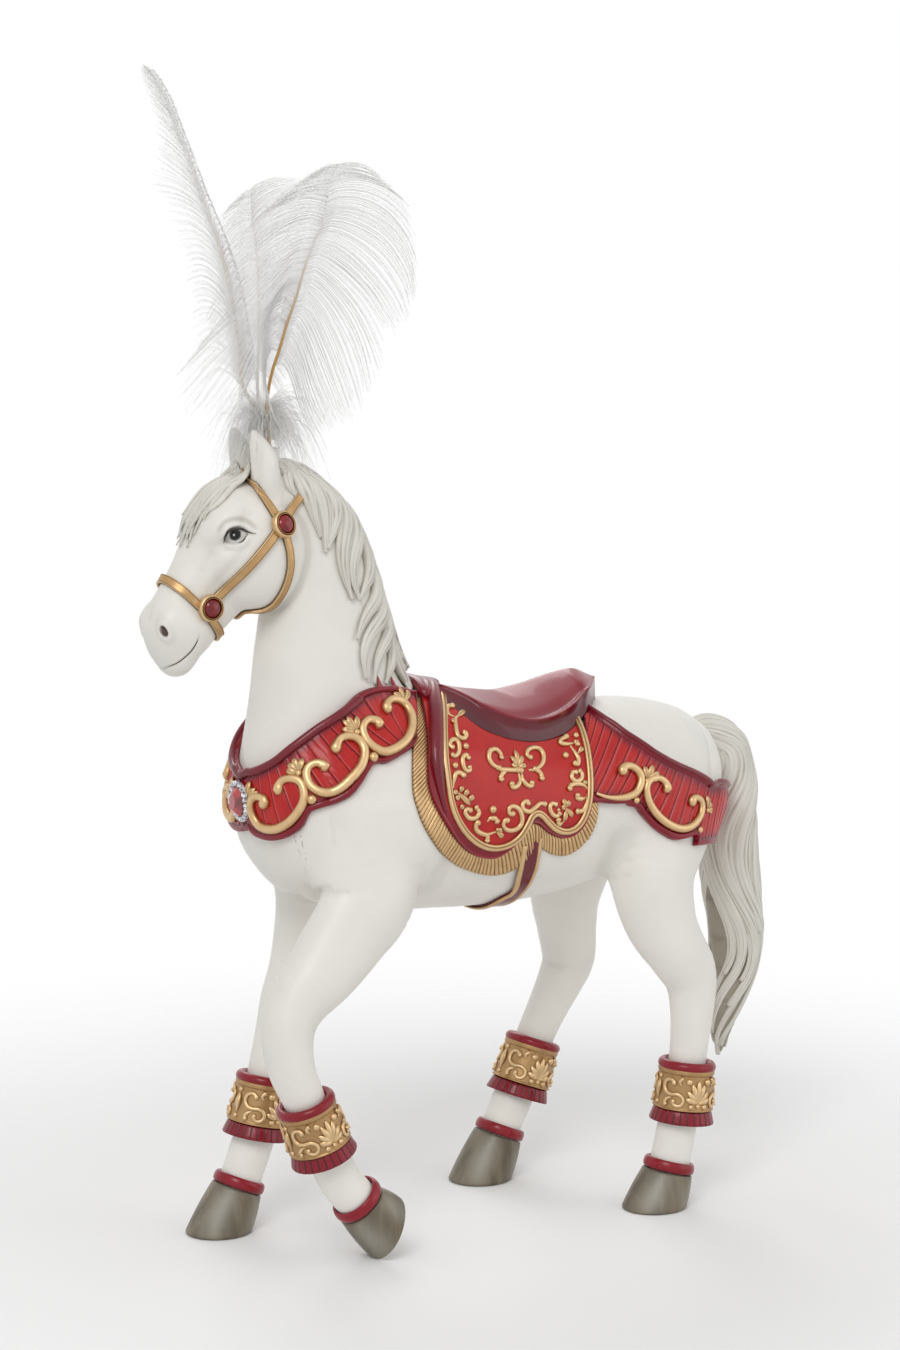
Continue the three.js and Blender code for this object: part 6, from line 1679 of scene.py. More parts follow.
# Rosettes: a stepped gilt rim round a polished red dome
stone = Finish("polished red stone", IOR=1.5, Roughness=0.12, Coat_Weight=0.5, Coat_Roughness=0.03)
stone.shader.inputs["Specular IOR Level"].default_value = 0.25
veins = stone.noise(260, 4)
stone.colour(stone.blend(veins.ramp(0.35, 0.7), (0.15, 0.002, 0.006), (0.32, 0.008, 0.014)))
rosettePlan = {"radius": 5.5 * mm, "height": 2.6 * mm, "stone": 3.75 * mm, "lift": 2.0 * mm}
rosettePlaces = {"upper": (280.5, 525.7), "lower": (208.3, 607.9)}
for level, pixel in rosettePlaces.items():
    for hand, turnOver in bothHands:
        place = turnOver(traced([pixel], 0)[0])
        _, out = seat([place], 0, 1, normals=True)
        out = out[0]
        foot = place + out * (rosettePlan["lift"] - 0.3 * mm)
        wide, tall, gem = rosettePlan["radius"], rosettePlan["height"], rosettePlan["stone"]
        corners = [(-1.0 * mm, 0.6 * wide, 0), (-1.0 * mm, wide * 0.94, 0), (0.15 * tall, wide, 0),
                   (0.45 * tall, wide * 0.99, 0),
                   (0.72 * tall, wide * 0.93, 0), (0.80 * tall, wide * 0.85, 0),
                   (0.62 * tall, wide * 0.80, 0), (0.70 * tall, wide * 0.76, 0),
                   (0.92 * tall, gem + 0.42 * mm, 0), (0.80 * tall, gem + 0.10 * mm, 0),
                   (0.35 * tall, gem - 0.1 * mm, 0), (0.30 * tall, 0.5 * gem, 0)]
        rim = roundLoop(corners, 0.35 * mm, 4)
        # painted shade in the rim's groove and round the stone, and a painted highlight on the outer rim
        rimShade = bell(rim[:, 1], wide * 0.81, 0.25 * mm) * 0.9 + bell(rim[:, 1], gem + 0.05 * mm, 0.22 * mm)
        made = Build()
        addLathe(made, rim, foot, out, 64, None, recess=np.clip(rimShade, 0, 1),
                 rub=bell(rim[:, 1], wide * 0.93, 0.4 * mm) * 0.4)
        made.piece(f"rosette_gilt_{level}_{hand}", f"rosette_rim_{level}_{hand}", slot="antique_gold",
                   finish=gold)
        made = Build()
        a = np.linspace(0, np.pi / 2, 14)[:-1]
        dome = np.array([(0.40 * tall + 0.62 * gem * math.sin(x), gem * math.cos(x), 0) for x in a])
        dome = np.vstack([[(0.32 * tall, gem * 0.97, 0)], dome])
        made.tube(lathe(dome, foot, out, 40), recess=0.0)
        made.piece(f"rosette_stone_{level}_{hand}", f"rosette_cabochon_{level}_{hand}",
                   slot="red_stone", finish=stone)
print("bridle done")

# Brooch: a step-cut red crystal in an oval of cut clear stones on a silvery setting
crystal = Finish("red crystal", IOR=1.6, Roughness=0.04, Coat_Weight=1.0, Coat_Roughness=0.02)
facets = crystal.noise(200, 2)
crystal.colour(crystal.blend(facets.ramp(0.35, 0.65), (0.16, 0.001, 0.004), (0.50, 0.010, 0.016)))
clear = Finish("cut clear stone", IOR=1.6, Metallic=0.55, Coat_Weight=1.0, Coat_Roughness=0.02)
glint = clear.noise(900, 1)
clear.colour(clear.blend(glint.ramp(0.35, 0.65), (0.16, 0.16, 0.17), (0.88, 0.89, 0.90)))
clear.rough(glint * 0.15 + 0.05)
broochPlan = {"place": [-1.19, 0, 1.865], "width": 9.5 * mm, "height": 11.5 * mm, "depth": 3.2 * mm,
              "stones": 18, "stoneRadius": 1.35 * mm, "setting": 1.75 * mm, "hoop": 1.25 * mm}
front = seat(spots([broochPlan["place"]]), tackHeight + 0.2 * mm, 6)[0]
crystalSteps = [(-0.5, 0.0), (0.0, 0.0), (0.32, 0.0), (0.55, 0.07), (0.78, 0.16), (1.0, 0.27)]
rings = []
for rise, inset in crystalSteps:
    w = broochPlan["width"] * (0.5 - inset)
    h = broochPlan["height"] * 0.5 - broochPlan["width"] * inset
    cut = broochPlan["width"] * (0.28 - 0.4 * inset)
    corners = np.array([(w, cut - h), (w - cut, -h), (cut - w, -h), (-w, cut - h), (-w, h - cut),
                        (cut - w, h), (w - cut, h), (w, h - cut)])
    rings.append(front + np.stack([np.full(8, -rise * broochPlan["depth"]), *corners.T], 1))
made = Build()
made.tube(np.array(rings), recess=0.0)
made.piece("brooch_red_crystal", "brooch_crystal", slot="red_crystal", finish=crystal, smooth=False)
made = Build()
turn = np.linspace(0, 2 * np.pi, broochPlan["stones"], endpoint=False)
a, b = (broochPlan[key] / 2 + broochPlan["setting"] for key in ("width", "height"))
oval = spots(broochPlan["place"]) * [1, 0, 1] + np.stack([0 * turn, origin[1] + a * np.sin(turn),
                                                          b * np.cos(turn)], 1)
oval, outs = seat(oval, tackHeight + 0.9 * mm, 5, normals=True)
outs = unit(outs + [-0.8, 0, 0])
for place, out in zip(oval, outs):
    made.ball(place + out * 0.5 * mm, broochPlan["stoneRadius"], out, 0.75, 8)
ring = flow(oval, 90, closed=True)
ringOut = unit(flow(outs, 90, closed=True))
hoop = rodRings(ring, np.full(90, broochPlan["hoop"]), ringOut, 10, 0.8)
made.add(hoop.reshape(-1, 3), gridFaces(90, 10, loop=True, ring=True))
made.piece("brooch_clear_stones", "brooch_stone_ring", slot="clear_stone", finish=clear, smooth=False)
print("brooch done")

# Plume: three ostrich feathers and a ruff of down. Places are pixels of the picture with a depth, the
# share of the chest depth to the side, so that each feather is a sheet of its own behind or before
# the others, and every shaft starts in the binding on the poll
feather = Finish("feather", Roughness=0.8)
feather.shader.inputs["Specular IOR Level"].default_value = 0.25
soft = feather.noise(120, 3)
down = feather.blend(soft.ramp(0.3, 0.7), (0.97, 0.965, 0.95), (0.93, 0.925, 0.905))
feather.colour(feather.blend(feather.value("golden").clip(), down, (0.50, 0.29, 0.10)))
feather.rough(soft * 0.2 + 0.65)
pollShares = np.array([-1.03, 0, 3.16])    # where the plume stands
plumeLean = unit(np.array([-0.1, 0, 1]))
bindingSize = {"radius": 5.2 * mm, "height": 16 * mm, "turns": 11, "thread": 0.35 * mm}
bindingFoot = spots(pollShares) - plumeLean * bindingSize["height"] / 3


def onPlane(pixels, depth):
    # where the line of sight through each pixel crosses the plane at a depth to the side
    rays = sightLines(pixels)
    plane = origin[1] + np.asarray(depth) * chestDepth
    return eyePoint + rays * ((plane - eyePoint[1]) / rays[:, 1])[:, None]


def pixelOf(points):
    off = points - eyePoint
    away = -off @ view
    return np.stack([450 + focus * (off @ right) / away, 675 - focus * (off @ upright) / away], -1)


def hairRods(build, lines, radii, **values):
    # lines (hairs, steps, 3) become thin three-sided rods with a point at each end
    hairs, count, _ = lines.shape
    sides = 3
    along = unit(np.gradient(lines, axis=1))
    side = unit(np.cross(along, view + 0.01))
    up = np.cross(side, along)
    turn = np.linspace(0, 2 * np.pi, sides, endpoint=False)[:, None]
    rings = lines[:, :, None] + radii[:, :, None, None] * (
        side[:, :, None] * np.cos(turn) + up[:, :, None] * np.sin(turn))
    verts = np.concatenate([rings.reshape(hairs, -1, 3), lines[:, :1], lines[:, -1:]], 1)
    _, faces = closedTube(rings[0])
    faces = faces[None] + (np.arange(hairs) * verts.shape[1])[:, None, None]
    full = {}
    for name, v in values.items():
        v = np.broadcast_to(v, (hairs, count))
        full[name] = np.concatenate([np.repeat(v, sides, 1), v[:, :1], v[:, -1:]], 1).ravel()
    build.add(verts.reshape(-1, 3), faces.reshape(-1, 4), **full)


def barbules(build, lines, each, length, width):
    # short hairs on both sides of every line: a pyramid on three corners, leaning towards the tip
    hairs, count, _ = lines.shape
    at = rng.uniform(0.04, 0.98, (hairs, each)) * (count - 1)
    i = np.minimum(at.astype(int), count - 2)
    rows = np.arange(hairs)[:, None]
    foot = lines[rows, i] + (lines[rows, i + 1] - lines[rows, i]) * (at - i)[..., None]
    along = unit(lines[rows, i + 1] - lines[rows, i])
    side = unit(np.cross(along, view)) * np.where(np.arange(each) % 2, 1, -1)[None, :, None]
    lean = unit(side * 0.9 + along * 0.75 + rng.normal(0, 0.28, side.shape))
    size = length * rng.uniform(0.5, 1.15, at.shape) * (1 - 0.55 * (at / (count - 1)) ** 2)
    up = np.cross(side, along)
    corners = [foot + along * width, foot - along * width + up * width * 0.7,
               foot - along * width - up * width * 0.7, foot + lean * size[..., None]]
    verts = np.stack(corners, 2).reshape(-1, 3)
    start = np.arange(len(verts) // 4)[:, None, None] * 4
    faces = (np.array([(0, 2, 1), (0, 1, 3), (1, 2, 3), (2, 0, 3)])[None] + start).reshape(-1, 3)
    build.add(verts, faces, golden=0.0)


def combed(shaft, guides, bend, count, clump, loose):
    # barbs between the guides: each keeps its foot on the shaft, and a clump draws together to its tip
    marks = pixelOf(shaft)
    samples = 12
    share = np.linspace(0, 1, samples)
    at, shapes = [], []
    for guide in guides:
        nearest = np.argmin(np.linalg.norm(marks - np.array(guide[0]), axis=1))
        depth = (shaft[nearest, 1] - origin[1]) / chestDepth
        line = onPlane(paced(flow(guide, 60), samples), depth + bend * share ** 1.4)
        at.append(nearest)
        shapes.append(line - line[0])
    order = np.argsort(at)
    at, shapes = np.array(at, float)[order], np.array(shapes)[order]
    place = np.linspace(at[0], at[-1], count) + rng.uniform(-0.3, 0.3, count) * (at[-1] - at[0]) / count
    place = np.clip(place, at[0], at[-1])

    def barb(where):
        k = np.clip(np.searchsorted(at, where) - 1, 0, len(at) - 2)
        f = ((where - at[k]) / np.maximum(at[k + 1] - at[k], 1e-9))[:, None, None]
        i = np.minimum(where.astype(int), len(shaft) - 2)
        foot = shaft[i] + (shaft[i + 1] - shaft[i]) * (where - i)[:, None]
        return foot[:, None] + shapes[k] * (1 - f) + shapes[k + 1] * f

    group = (np.arange(count) + rng.integers(0, 2, count)) // clump
    leader = place[np.minimum(group * clump + clump // 2, count - 1)]
    draw = (0.72 * share ** 1.1)[None, :, None] * rng.uniform(0.6, 1.1, count)[:, None, None]
    lines = barb(place) * (1 - draw) + barb(leader) * draw
    reach = rng.uniform(0.84, 1.0, count)[:, None] * share * (samples - 1)
    i = np.minimum(reach.astype(int), samples - 2)
    rows = np.arange(count)[:, None]
    lines = lines[rows, i] + (lines[rows, i + 1] - lines[rows, i]) * (reach - i)[..., None]
    wave = np.sin(share * rng.uniform(3, 8, count)[:, None] + rng.uniform(0, 6.3, count)[:, None]) * share
    aside = unit(np.cross(lines[:, -1] - lines[:, 0], view))[:, None]
    outward = rng.normal(0, loose, count)[:, None] * share ** 1.5
    return (lines + aside * (wave * loose * rng.uniform(0.2, 0.8, count)[:, None])[..., None]
            + view * outward[..., None])


def plumeFeather(name, node, plan):
    shaft = np.vstack([spots(plan["foot"]), onPlane([row[:2] for row in plan["shaft"]],
                                                    [row[2] for row in plan["shaft"]])])
    shaft = curveThrough(shaft, 240)
    made = Build()
    t = np.linspace(0, 1, 240)
    radii = 0.72 * mm * (1 - t) ** 0.9 + 0.10 * mm
    shaftGold = plan["golden"] * (1 - steps(t, 0.35, 0.95))
    made.tube(rodRings(shaft, radii, np.broadcast_to(view, shaft.shape), 8), golden=shaftGold)
    for hand in ("near", "far"):
        lines = combed(shaft, plan[hand], plan["bend"][hand], plan["barbs"], plan["clump"], plan["loose"])
        share = np.linspace(0, 1, lines.shape[1])
        thick = plan["thick"] * (1 - 0.75 * share ** 1.3) * rng.uniform(0.75, 1.15, len(lines))[:, None]
        hairRods(made, lines, thick, golden=0.0)
        barbules(made, lines, plan["fuzz"], plan["fuzzLength"], 0.05 * mm)
    made.piece(name, node, slot="feather", finish=feather)


rightPlan = {
    "foot": [[-1.035, -0.032, 3.20], [-1.052, -0.032, 3.36]],
    "shaft": [(267.3, 397.7, -0.08), (272.4, 371, -0.10), (279.5, 349, -0.12), (286.8, 324.3, -0.14),
              (295.7, 298.5, -0.16), (305.6, 264.9, -0.18), (314.6, 241.1, -0.19), (321.9, 223.3, -0.2),
              (327.8, 201.5, -0.21), (329.4, 182.7, -0.21), (338.7, 163.9, -0.21)],
    "near": [  # sweep to the left and fall
        [(338.5, 164.5), (328, 166), (317, 171), (306, 178)],
        [(333, 173), (318, 174), (303, 181), (287, 188)],
        [(329.3, 182), (312, 184), (292, 191), (270, 201)],
        [(327, 204), (308, 199), (280, 206), (254, 220), (234.5, 242)],
        [(321.9, 223.3), (306, 219), (279.4, 230.8), (251.3, 253.3), (223.3, 284.1), (203.7, 317.8)],
        [(314.6, 241.1), (299, 243), (271, 262), (240, 295), (214, 326), (197, 350)],
        [(308.8, 259), (293, 262), (268, 288), (238, 320), (206.5, 348), (172.9, 381)],
        [(303, 275), (288, 279), (270, 303), (247, 335), (218, 372), (184, 418)],
        [(298, 292), (284, 288), (270, 306), (259, 340), (245, 380), (214, 428)],
        [(292, 309), (280, 300), (268, 318), (262, 350), (262, 385), (250, 425)],
        [(285, 331), (276, 322), (268, 338), (264, 365), (268, 395), (276, 425)],
        [(279, 351), (272, 348), (267, 362), (266, 385), (272, 412), (285, 436)],
    ],
    "far": [  # arch to the right and fall
        [(338.5, 164.5), (352, 163), (366, 167), (379, 176)],
        [(333, 173), (350, 171), (370, 176), (392, 187)],
        [(329.3, 186), (343, 180), (369, 180.5), (397, 194), (416, 214)],
        [(326.5, 207), (338, 203), (363.5, 206), (391.5, 222.8), (411, 253.8), (418, 286)],
        [(320, 228), (332, 223), (354, 230), (382, 248), (402, 278), (412, 312)],
        [(315.8, 240), (328, 237), (350, 248), (374, 272), (394, 300), (406, 330)],
        [(308, 259.4), (318, 256), (338, 268), (363.5, 292), (382, 320), (394.3, 340)],
        [(301, 281), (312, 278), (330, 294), (350, 324), (363.5, 360), (370, 398)],
        [(294, 303), (305, 300), (318, 318), (334, 355), (347, 392), (357, 421)],
        [(287, 324), (298, 322), (309, 345), (322, 380), (333, 408), (339, 427)],
        [(281, 344), (292, 342), (301, 362), (309, 392), (318, 416), (327, 432)],
        [(274, 366), (284, 364), (292, 382), (299, 405), (307, 425), (315, 440)],
    ],
    "bend": {"near": -0.02, "far": 0.10}, "barbs": 210, "clump": 4, "loose": 0.7 * mm,
    "thick": 0.155 * mm,
    "fuzz": 26, "fuzzLength": 1.5 * mm, "golden": 1.0,
}
plumeFeather("feather_right_soft", "feather_right", rightPlan)

middlePlan = {
    "foot": [[-1.035, 0.032, 3.20], [-1.052, 0.032, 3.36]],
    "shaft": [(257.5, 385, 0.08), (258.5, 350, 0.11), (258.6, 325, 0.14), (258.6, 301, 0.16),
              (257.2, 260.9, 0.18), (251.9, 220.7, 0.18), (250.5, 188.6, 0.17)],
    "near": [
        [(250.5, 189.5), (246, 191), (238, 198), (226, 209)],
        [(251, 200), (243, 201), (231, 209), (218.4, 219)],
        [(251.9, 220.7), (243, 221), (230, 232), (217, 249)],
        [(255, 243), (245, 244), (231, 258), (219, 279)],
        [(257.2, 262), (247, 263), (233, 280), (222, 305)],
        [(258.5, 290), (248, 291), (236, 308), (226, 335)],
        [(258.6, 315), (249, 317), (239, 335), (230, 362)],
        [(258.5, 345), (251, 347), (243, 362), (236, 386)],
        [(258, 372), (252, 376), (246, 392), (240, 412)],
    ],
    "far": [
        [(250.5, 189.5), (256, 184), (268, 179), (283, 177)],
        [(251, 200), (259, 192), (278, 183), (301, 178)],
        [(251.9, 220.7), (262, 209), (284, 198), (309, 194)],
        [(255, 243), (266, 230), (288, 219), (312, 217)],
        [(257.2, 262), (268, 250), (288, 241), (309, 243)],
        [(258.5, 290), (269, 280), (287, 275), (304, 281)],
        [(258.6, 315), (268, 309), (283, 310), (297, 320)],
        [(258.5, 345), (267, 343), (279, 350), (290, 364)],
        [(258, 372), (264, 372), (273, 383), (282, 400)],
    ],
    "bend": {"near": 0.03, "far": 0.05}, "barbs": 190, "clump": 3, "loose": 0.5 * mm, "thick": 0.13 * mm,
    "fuzz": 20, "fuzzLength": 1.3 * mm, "golden": 0.30,
}
plumeFeather("feather_middle_soft", "feather_middle", middlePlan)

tallPlan = {
    "foot": [[-1.038, 0, 3.20], [-1.06, 0, 3.36]],
    "shaft": [(243, 385, 0), (240, 349.7, 0), (234.5, 317.5, -0.01), (228.6, 284, -0.01),
              (219, 244, -0.01), (212, 224, -0.01), (204, 201, -0.005), (196.3, 179.3, 0), (188, 156, 0),
              (179, 131, 0), (169.8, 106.3, 0), (159.8, 86.4, 0), (149.5, 69.5, 0)],
    "near": [
        [(150, 70.5), (147, 67), (144, 65), (142, 64)], [(159.8, 86.4), (153, 77), (146, 72), (140, 70)],
        [(169.8, 106.3), (161, 94), (151, 84), (139.5, 76)],
        [(179, 131), (170, 115), (158, 102), (146, 92)], [(188, 156), (179, 139), (166, 124), (152, 112)],
        [(196.3, 179.3), (187, 163), (173, 149), (157, 139)],
        [(204, 201), (193, 182), (175, 166), (156, 151)],
        [(212, 224), (199, 203), (177, 188), (149, 183)],
        [(219, 244), (205, 222), (185, 208), (163, 203)],
        [(224, 262), (210, 242), (192, 230), (174, 232)],
        [(228.6, 284), (214, 263), (198, 253), (183.6, 258)],
        [(234.5, 317.5), (220, 296), (204, 284), (187, 290)],
        [(240, 349.7), (226, 328), (208, 314), (191, 322)],
        [(242, 372), (228, 352), (210, 342), (196, 356)],
        [(243, 390), (230, 376), (214, 372), (200, 392)],
    ],
    "far": [
        [(150, 70.5), (151, 69), (152, 69), (153, 71)],
        [(159.8, 86.4), (159.5, 80), (161, 80), (163, 85)],
        [(169.8, 106.3), (169, 98), (171, 98), (173.5, 105)],
        [(188, 156), (187, 146), (189, 145), (192, 153)],
        [(204, 201), (203, 190), (206, 190), (209.5, 200)],
        [(219, 244), (219, 232), (223, 231), (228, 242)],
        [(228.6, 284), (230, 270), (236, 268), (241, 280)],
        [(234.5, 317.5), (238, 305), (243, 300), (247, 312)],
        [(240, 349.7), (245, 338), (250, 336), (254, 348)],
        [(243, 390), (249, 380), (255, 382), (260, 398)],
    ],
    "bend": {"near": -0.03, "far": 0.16}, "barbs": 200, "clump": 4, "loose": 0.6 * mm, "thick": 0.14 * mm,
    "fuzz": 22, "fuzzLength": 1.4 * mm, "golden": 0.40,
}
plumeFeather("feather_tall_soft", "feather_tall", tallPlan)

# Ruff of down: every hair springs from the mouth of the binding, outwards, and falls over
downPlan = {"hairs": 640, "steps": 9, "shortest": 10 * mm, "longest": 25 * mm, "thick": 0.12 * mm,
            "root": 1.5 * mm, "lift": 1.0, "fall": 1.35, "clear": 0.5 * mm, "tiers": 13, "swirl": 1.1,
            "fuzz": 15, "fuzzLength": 1.9 * mm, "fuzzWidth": 0.04 * mm}
mouth = bindingFoot + plumeLean * (bindingSize["height"] + 3 * mm)
hairs = downPlan["hairs"]
turn = rng.uniform(0, 2 * np.pi, hairs)
length = rng.uniform(downPlan["shortest"], downPlan["longest"], hairs)
outward = np.stack([np.cos(turn) * 1.08, np.sin(turn) * 0.92, np.zeros(hairs)], 1)
t = np.linspace(0, 1, downPlan["steps"])
rise = rng.uniform(0.1, 1.5, hairs) * downPlan["lift"]
spread = length * rng.uniform(0.55, 1, hairs)
climb = (rise[:, None] * t - downPlan["fall"] * t ** 2.2) * length[:, None]
lines = (mouth + outward[:, None] * (downPlan["root"] + t[None, :, None] ** 0.85 * spread[:, None, None])
         + np.array([0, 0, 1.0]) * climb[..., None])
swirl = np.sin(t * rng.uniform(2, 7, hairs)[:, None] + rng.uniform(0, 6.3, hairs)[:, None])
swirl = swirl * t * downPlan["swirl"] * mm
lines = lines + np.cross(outward, [0, 0, 1.0])[:, None] * swirl[..., None]
lines[..., 2] += (rng.uniform(0, downPlan["tiers"], hairs) * mm)[:, None]
flat = lines.reshape(-1, 3)
near = bodyField(flat) < downPlan["clear"]
flat[near] = seat(flat[near], downPlan["clear"], 4)
made = Build()
thick = downPlan["thick"] * (1 - 0.7 * t) * rng.uniform(0.7, 1.2, hairs)[:, None]
hairRods(made, lines, thick, golden=0.0)
barbules(made, lines, downPlan["fuzz"], downPlan["fuzzLength"], downPlan["fuzzWidth"])
made.piece("plume_down", "plume_fluff", slot="feather", finish=feather)

# Binding: thread wound round the quills, radius + ripple of each turn
t = np.linspace(0, 1, bindingSize["turns"] * 6 + 1)
around = np.linspace(0, 2 * np.pi, 32, endpoint=False)
ripple = np.abs(np.sin(np.pi * (t[:, None] * bindingSize["turns"] + around / (2 * np.pi))))
ripple = ripple * bindingSize["thread"]
taper = np.clip(np.minimum(t, 1 - t) / 0.02, 0.5, 1)[:, None] ** 0.5
radius = (bindingSize["radius"] - bindingSize["thread"] + ripple) * taper
threadX, threadY, _ = frameOf(plumeLean)
rings = (bindingFoot + plumeLean * (t * bindingSize["height"])[:, None])[:, None] + radius[..., None] * (
    np.cos(around)[:, None] * threadX + np.sin(around)[:, None] * threadY)
made = Build()
made.tube(rings, golden=0.12)
made.piece("plume_thread", "plume_binding", slot="feather", finish=feather)
print("plume done")

# Hair: locks lie on the neck and forehead as flattened rods with fine grooves, and hang in the tail
hair = Finish("hair resin", Roughness=0.45)
hair.shader.inputs["Specular IOR Level"].default_value = 0.4
strand = hair.noise(60, 4)
pale = hair.blend(strand.ramp(0.3, 0.7), (0.78, 0.755, 0.69), (0.68, 0.655, 0.585))
# painted highlight: pale on the crowns of the locks
pale = hair.blend(hair.value("rub").clip(), pale, (0.84, 0.82, 0.765))
# painted shade: dark in the furrows and under the locks
hair.colour(hair.blend((hair.value("recess") * 1.15).clip(), pale, (0.345, 0.31, 0.245)))
hair.rough(strand * 0.15 + 0.38)
hair.relief(hair.bump(hair.noise(800, 2), 0.08, 0.0003))


def lockRadii(count, size, root=0.55, tip=0.10, widest=0.45):
    t = np.linspace(0, 1, count)
    grow = root + (1 - root) * steps(t, 0, widest)
    return size * grow * np.clip((1 - t) / (1 - widest), tip, 1) ** 0.75


def lock(build, line, normals, radii, flat=0.6, furrows=4, seed=0.0, twist=0.6):
    # cross-section: an ellipse whose crown carries furrows that drift sideways along the lock
    count, sides = len(line), 28
    t = np.linspace(0, 1, count)[:, None]
    turn = np.linspace(0, 2 * np.pi, sides, endpoint=False)
    phase = np.cos(turn) * furrows * 1.15 + seed + twist * np.sin(2.5 * t + seed)
    furrow = np.abs(np.sin(phase * np.pi / 2)) ** 0.7
    crown = steps(np.sin(turn), -0.1, 0.5)
    along = unit(np.gradient(line, axis=0))
    side = unit(np.cross(along, normals))
    up = np.cross(side, along)
    r = np.asarray(radii)[:, None] * (1 - 0.20 * (1 - furrow) * crown)
    rings = (line[:, None] + side[:, None] * (r * np.cos(turn))[..., None]
             + up[:, None] * (r * np.sin(turn) * flat)[..., None])
    # painted shade on the underside and in the furrows, and a painted highlight on the crowns between the
    # furrows
    edge = np.clip(0.2 - np.sin(turn), 0, 1) * 0.8
    dark = np.clip((1 - furrow) ** 2.2 * 0.75 * crown + edge + 0 * t, 0, 1)
    build.tube(rings, recess=dark, rub=furrow * crown * 0.35 * np.clip(np.sin(turn), 0, 1))


def evened(rows):
    # a moving average along the row that keeps both ends
    reach = 7
    padded = np.vstack([2 * rows[:1] - rows[reach:0:-1], rows, 2 * rows[-1:] - rows[-2:-2 - reach:-1]])
    return np.mean([padded[k:k + len(rows)] for k in range(2 * reach + 1)], axis=0)


def layLock(build, pixels, size, lift, turnOver, **shape):
    line = turnOver(curveThrough(traced(pixels, lift), 46))
    line, normals = seat(line, lift, 3, normals=True)
    line, normals = evened(line), unit(evened(normals))
    lock(build, line, normals, lockRadii(46, size), **shape)


manePlan = [   # pixels of each lock from the crest to its tip, widest radius in mm, lift in mm
    ([(281, 464), (285, 472), (288, 481), (292, 490), (297.5, 497.5)], 2.6, 0.6),
    ([(287, 464.5), (300, 477), (308, 492), (313, 508), (317.5, 524), (320.5, 537.5)], 3.4, 0.8),
    ([(297, 469), (312, 482), (320, 498), (325, 516), (326, 534), (325.5, 553)], 3.5, 1.0),
    ([(308, 475), (324, 487), (334, 503), (337, 518), (332.5, 534), (328.5, 549)], 3.6, 1.4),
    ([(322, 484), (338, 498), (346, 515), (345, 533), (341.5, 552), (344, 572), (352.5, 600)], 3.9, 1.2),
    ([(337, 498), (351, 514), (357, 531), (355, 550), (352, 568), (354, 586), (360.5, 601)], 3.7, 1.7),
    ([(350, 515), (362, 533), (369, 552), (370.5, 570), (366, 586), (359.5, 599)], 3.9, 1.4),
    ([(359, 530), (369, 550), (375, 570), (378, 590), (372.5, 607), (362, 620), (357.5, 640)], 3.7, 1.7),
    ([(366, 548), (376, 570), (383, 592), (384, 611), (375, 627), (364.5, 640), (361.5, 657),
      (366.5, 680)], 3.8, 1.3),
    ([(372, 570), (382, 592), (390, 614), (390.5, 633), (381, 649), (376, 664), (374.5, 684)], 3.7, 1.7),
    ([(379, 592), (389, 612), (396, 634), (397.5, 652), (391, 667), (386, 684)], 3.6, 1.4),
    ([(385, 608), (394, 630), (400, 650), (406, 668), (410, 684), (409, 692)], 3.4, 1.8),
]
crestLine = [
    (-1.03, 0, 3.185, 0.035, 0.05), (-0.93, 0, 3.165, 0.052, 0.075), (-0.80, 0, 3.07, 0.055, 0.08),
    (-0.68, 0, 2.93, 0.055, 0.085), (-0.60, 0, 2.75, 0.055, 0.085), (-0.545, 0, 2.58, 0.055, 0.08),
    (-0.49, 0, 2.44, 0.05, 0.07), (-0.42, 0, 2.345, 0.03, 0.05),
]
made = Build()
for turnOver in (np.array, mirrored):
    for k, (pixels, size, lift) in enumerate(manePlan):
        layLock(made, pixels, size * 1.22 * mm, lift * mm, turnOver, seed=1.7 * k, furrows=3, flat=0.68)
rings = Limb(crestLine).rings(80, 40)
turn = np.linspace(0, 2 * np.pi, 40, endpoint=False)
wave = np.abs(np.sin(4.5 * turn + 1.2 * np.sin(turn) + np.linspace(0, 9, 80)[:, None])) ** 0.7
middle = rings.mean(1, keepdims=True)
rings = middle + (rings - middle) * (1.03 - 0.20 * (1 - wave))[..., None]
# painted shade in the crest's grooves and a painted highlight on its waves
made.tube(rings, recess=np.clip((1 - wave) ** 2 * 0.7, 0, 1), rub=wave * 0.2)
made.piece("mane_locks", "mane", slot="hair_resin", finish=hair)

forelockPlan = [
    ([(237, 463), (226, 466), (213, 473), (201, 484), (193.5, 499), (188.5, 516), (186.5, 532),
      (187, 547)], 2.5, 0.9),
    ([(238, 465), (227, 470), (214, 481), (203, 495), (197, 510), (192.5, 526), (189.5, 541)], 2.5, 1.3),
    ([(238.5, 467), (229, 473), (218, 484), (209, 498), (203.5, 512), (198, 524), (193.5, 534)], 2.4,
     0.9),
    ([(239, 468), (231, 475), (222, 486), (215, 498), (209, 509), (203, 519)], 2.2, 1.3),
    ([(239.5, 469), (233, 477), (226, 487), (221, 497), (217, 506)], 2.0, 0.9),
    ([(240, 470), (235, 477), (229.5, 485), (227, 491), (226.5, 497)], 1.8, 1.1),
]
middleLocks = [[[-1.155, 0, 3.20], [-1.22, 0, 3.185], [-1.31, 0, 3.11], [-1.385, 0, 3.0],
                [-1.435, 0, 2.90]],
               [[-1.155, -0.03, 3.20], [-1.22, -0.04, 3.185], [-1.30, -0.045, 3.12],
                [-1.37, -0.045, 3.02], [-1.415, -0.03, 2.93]]]
made = Build()
for turnOver in (np.array, mirrored):
    for k, (pixels, size, lift) in enumerate(forelockPlan):
        layLock(made, pixels, size * mm, lift * mm, turnOver, seed=2.3 * k, furrows=2, flat=0.6)
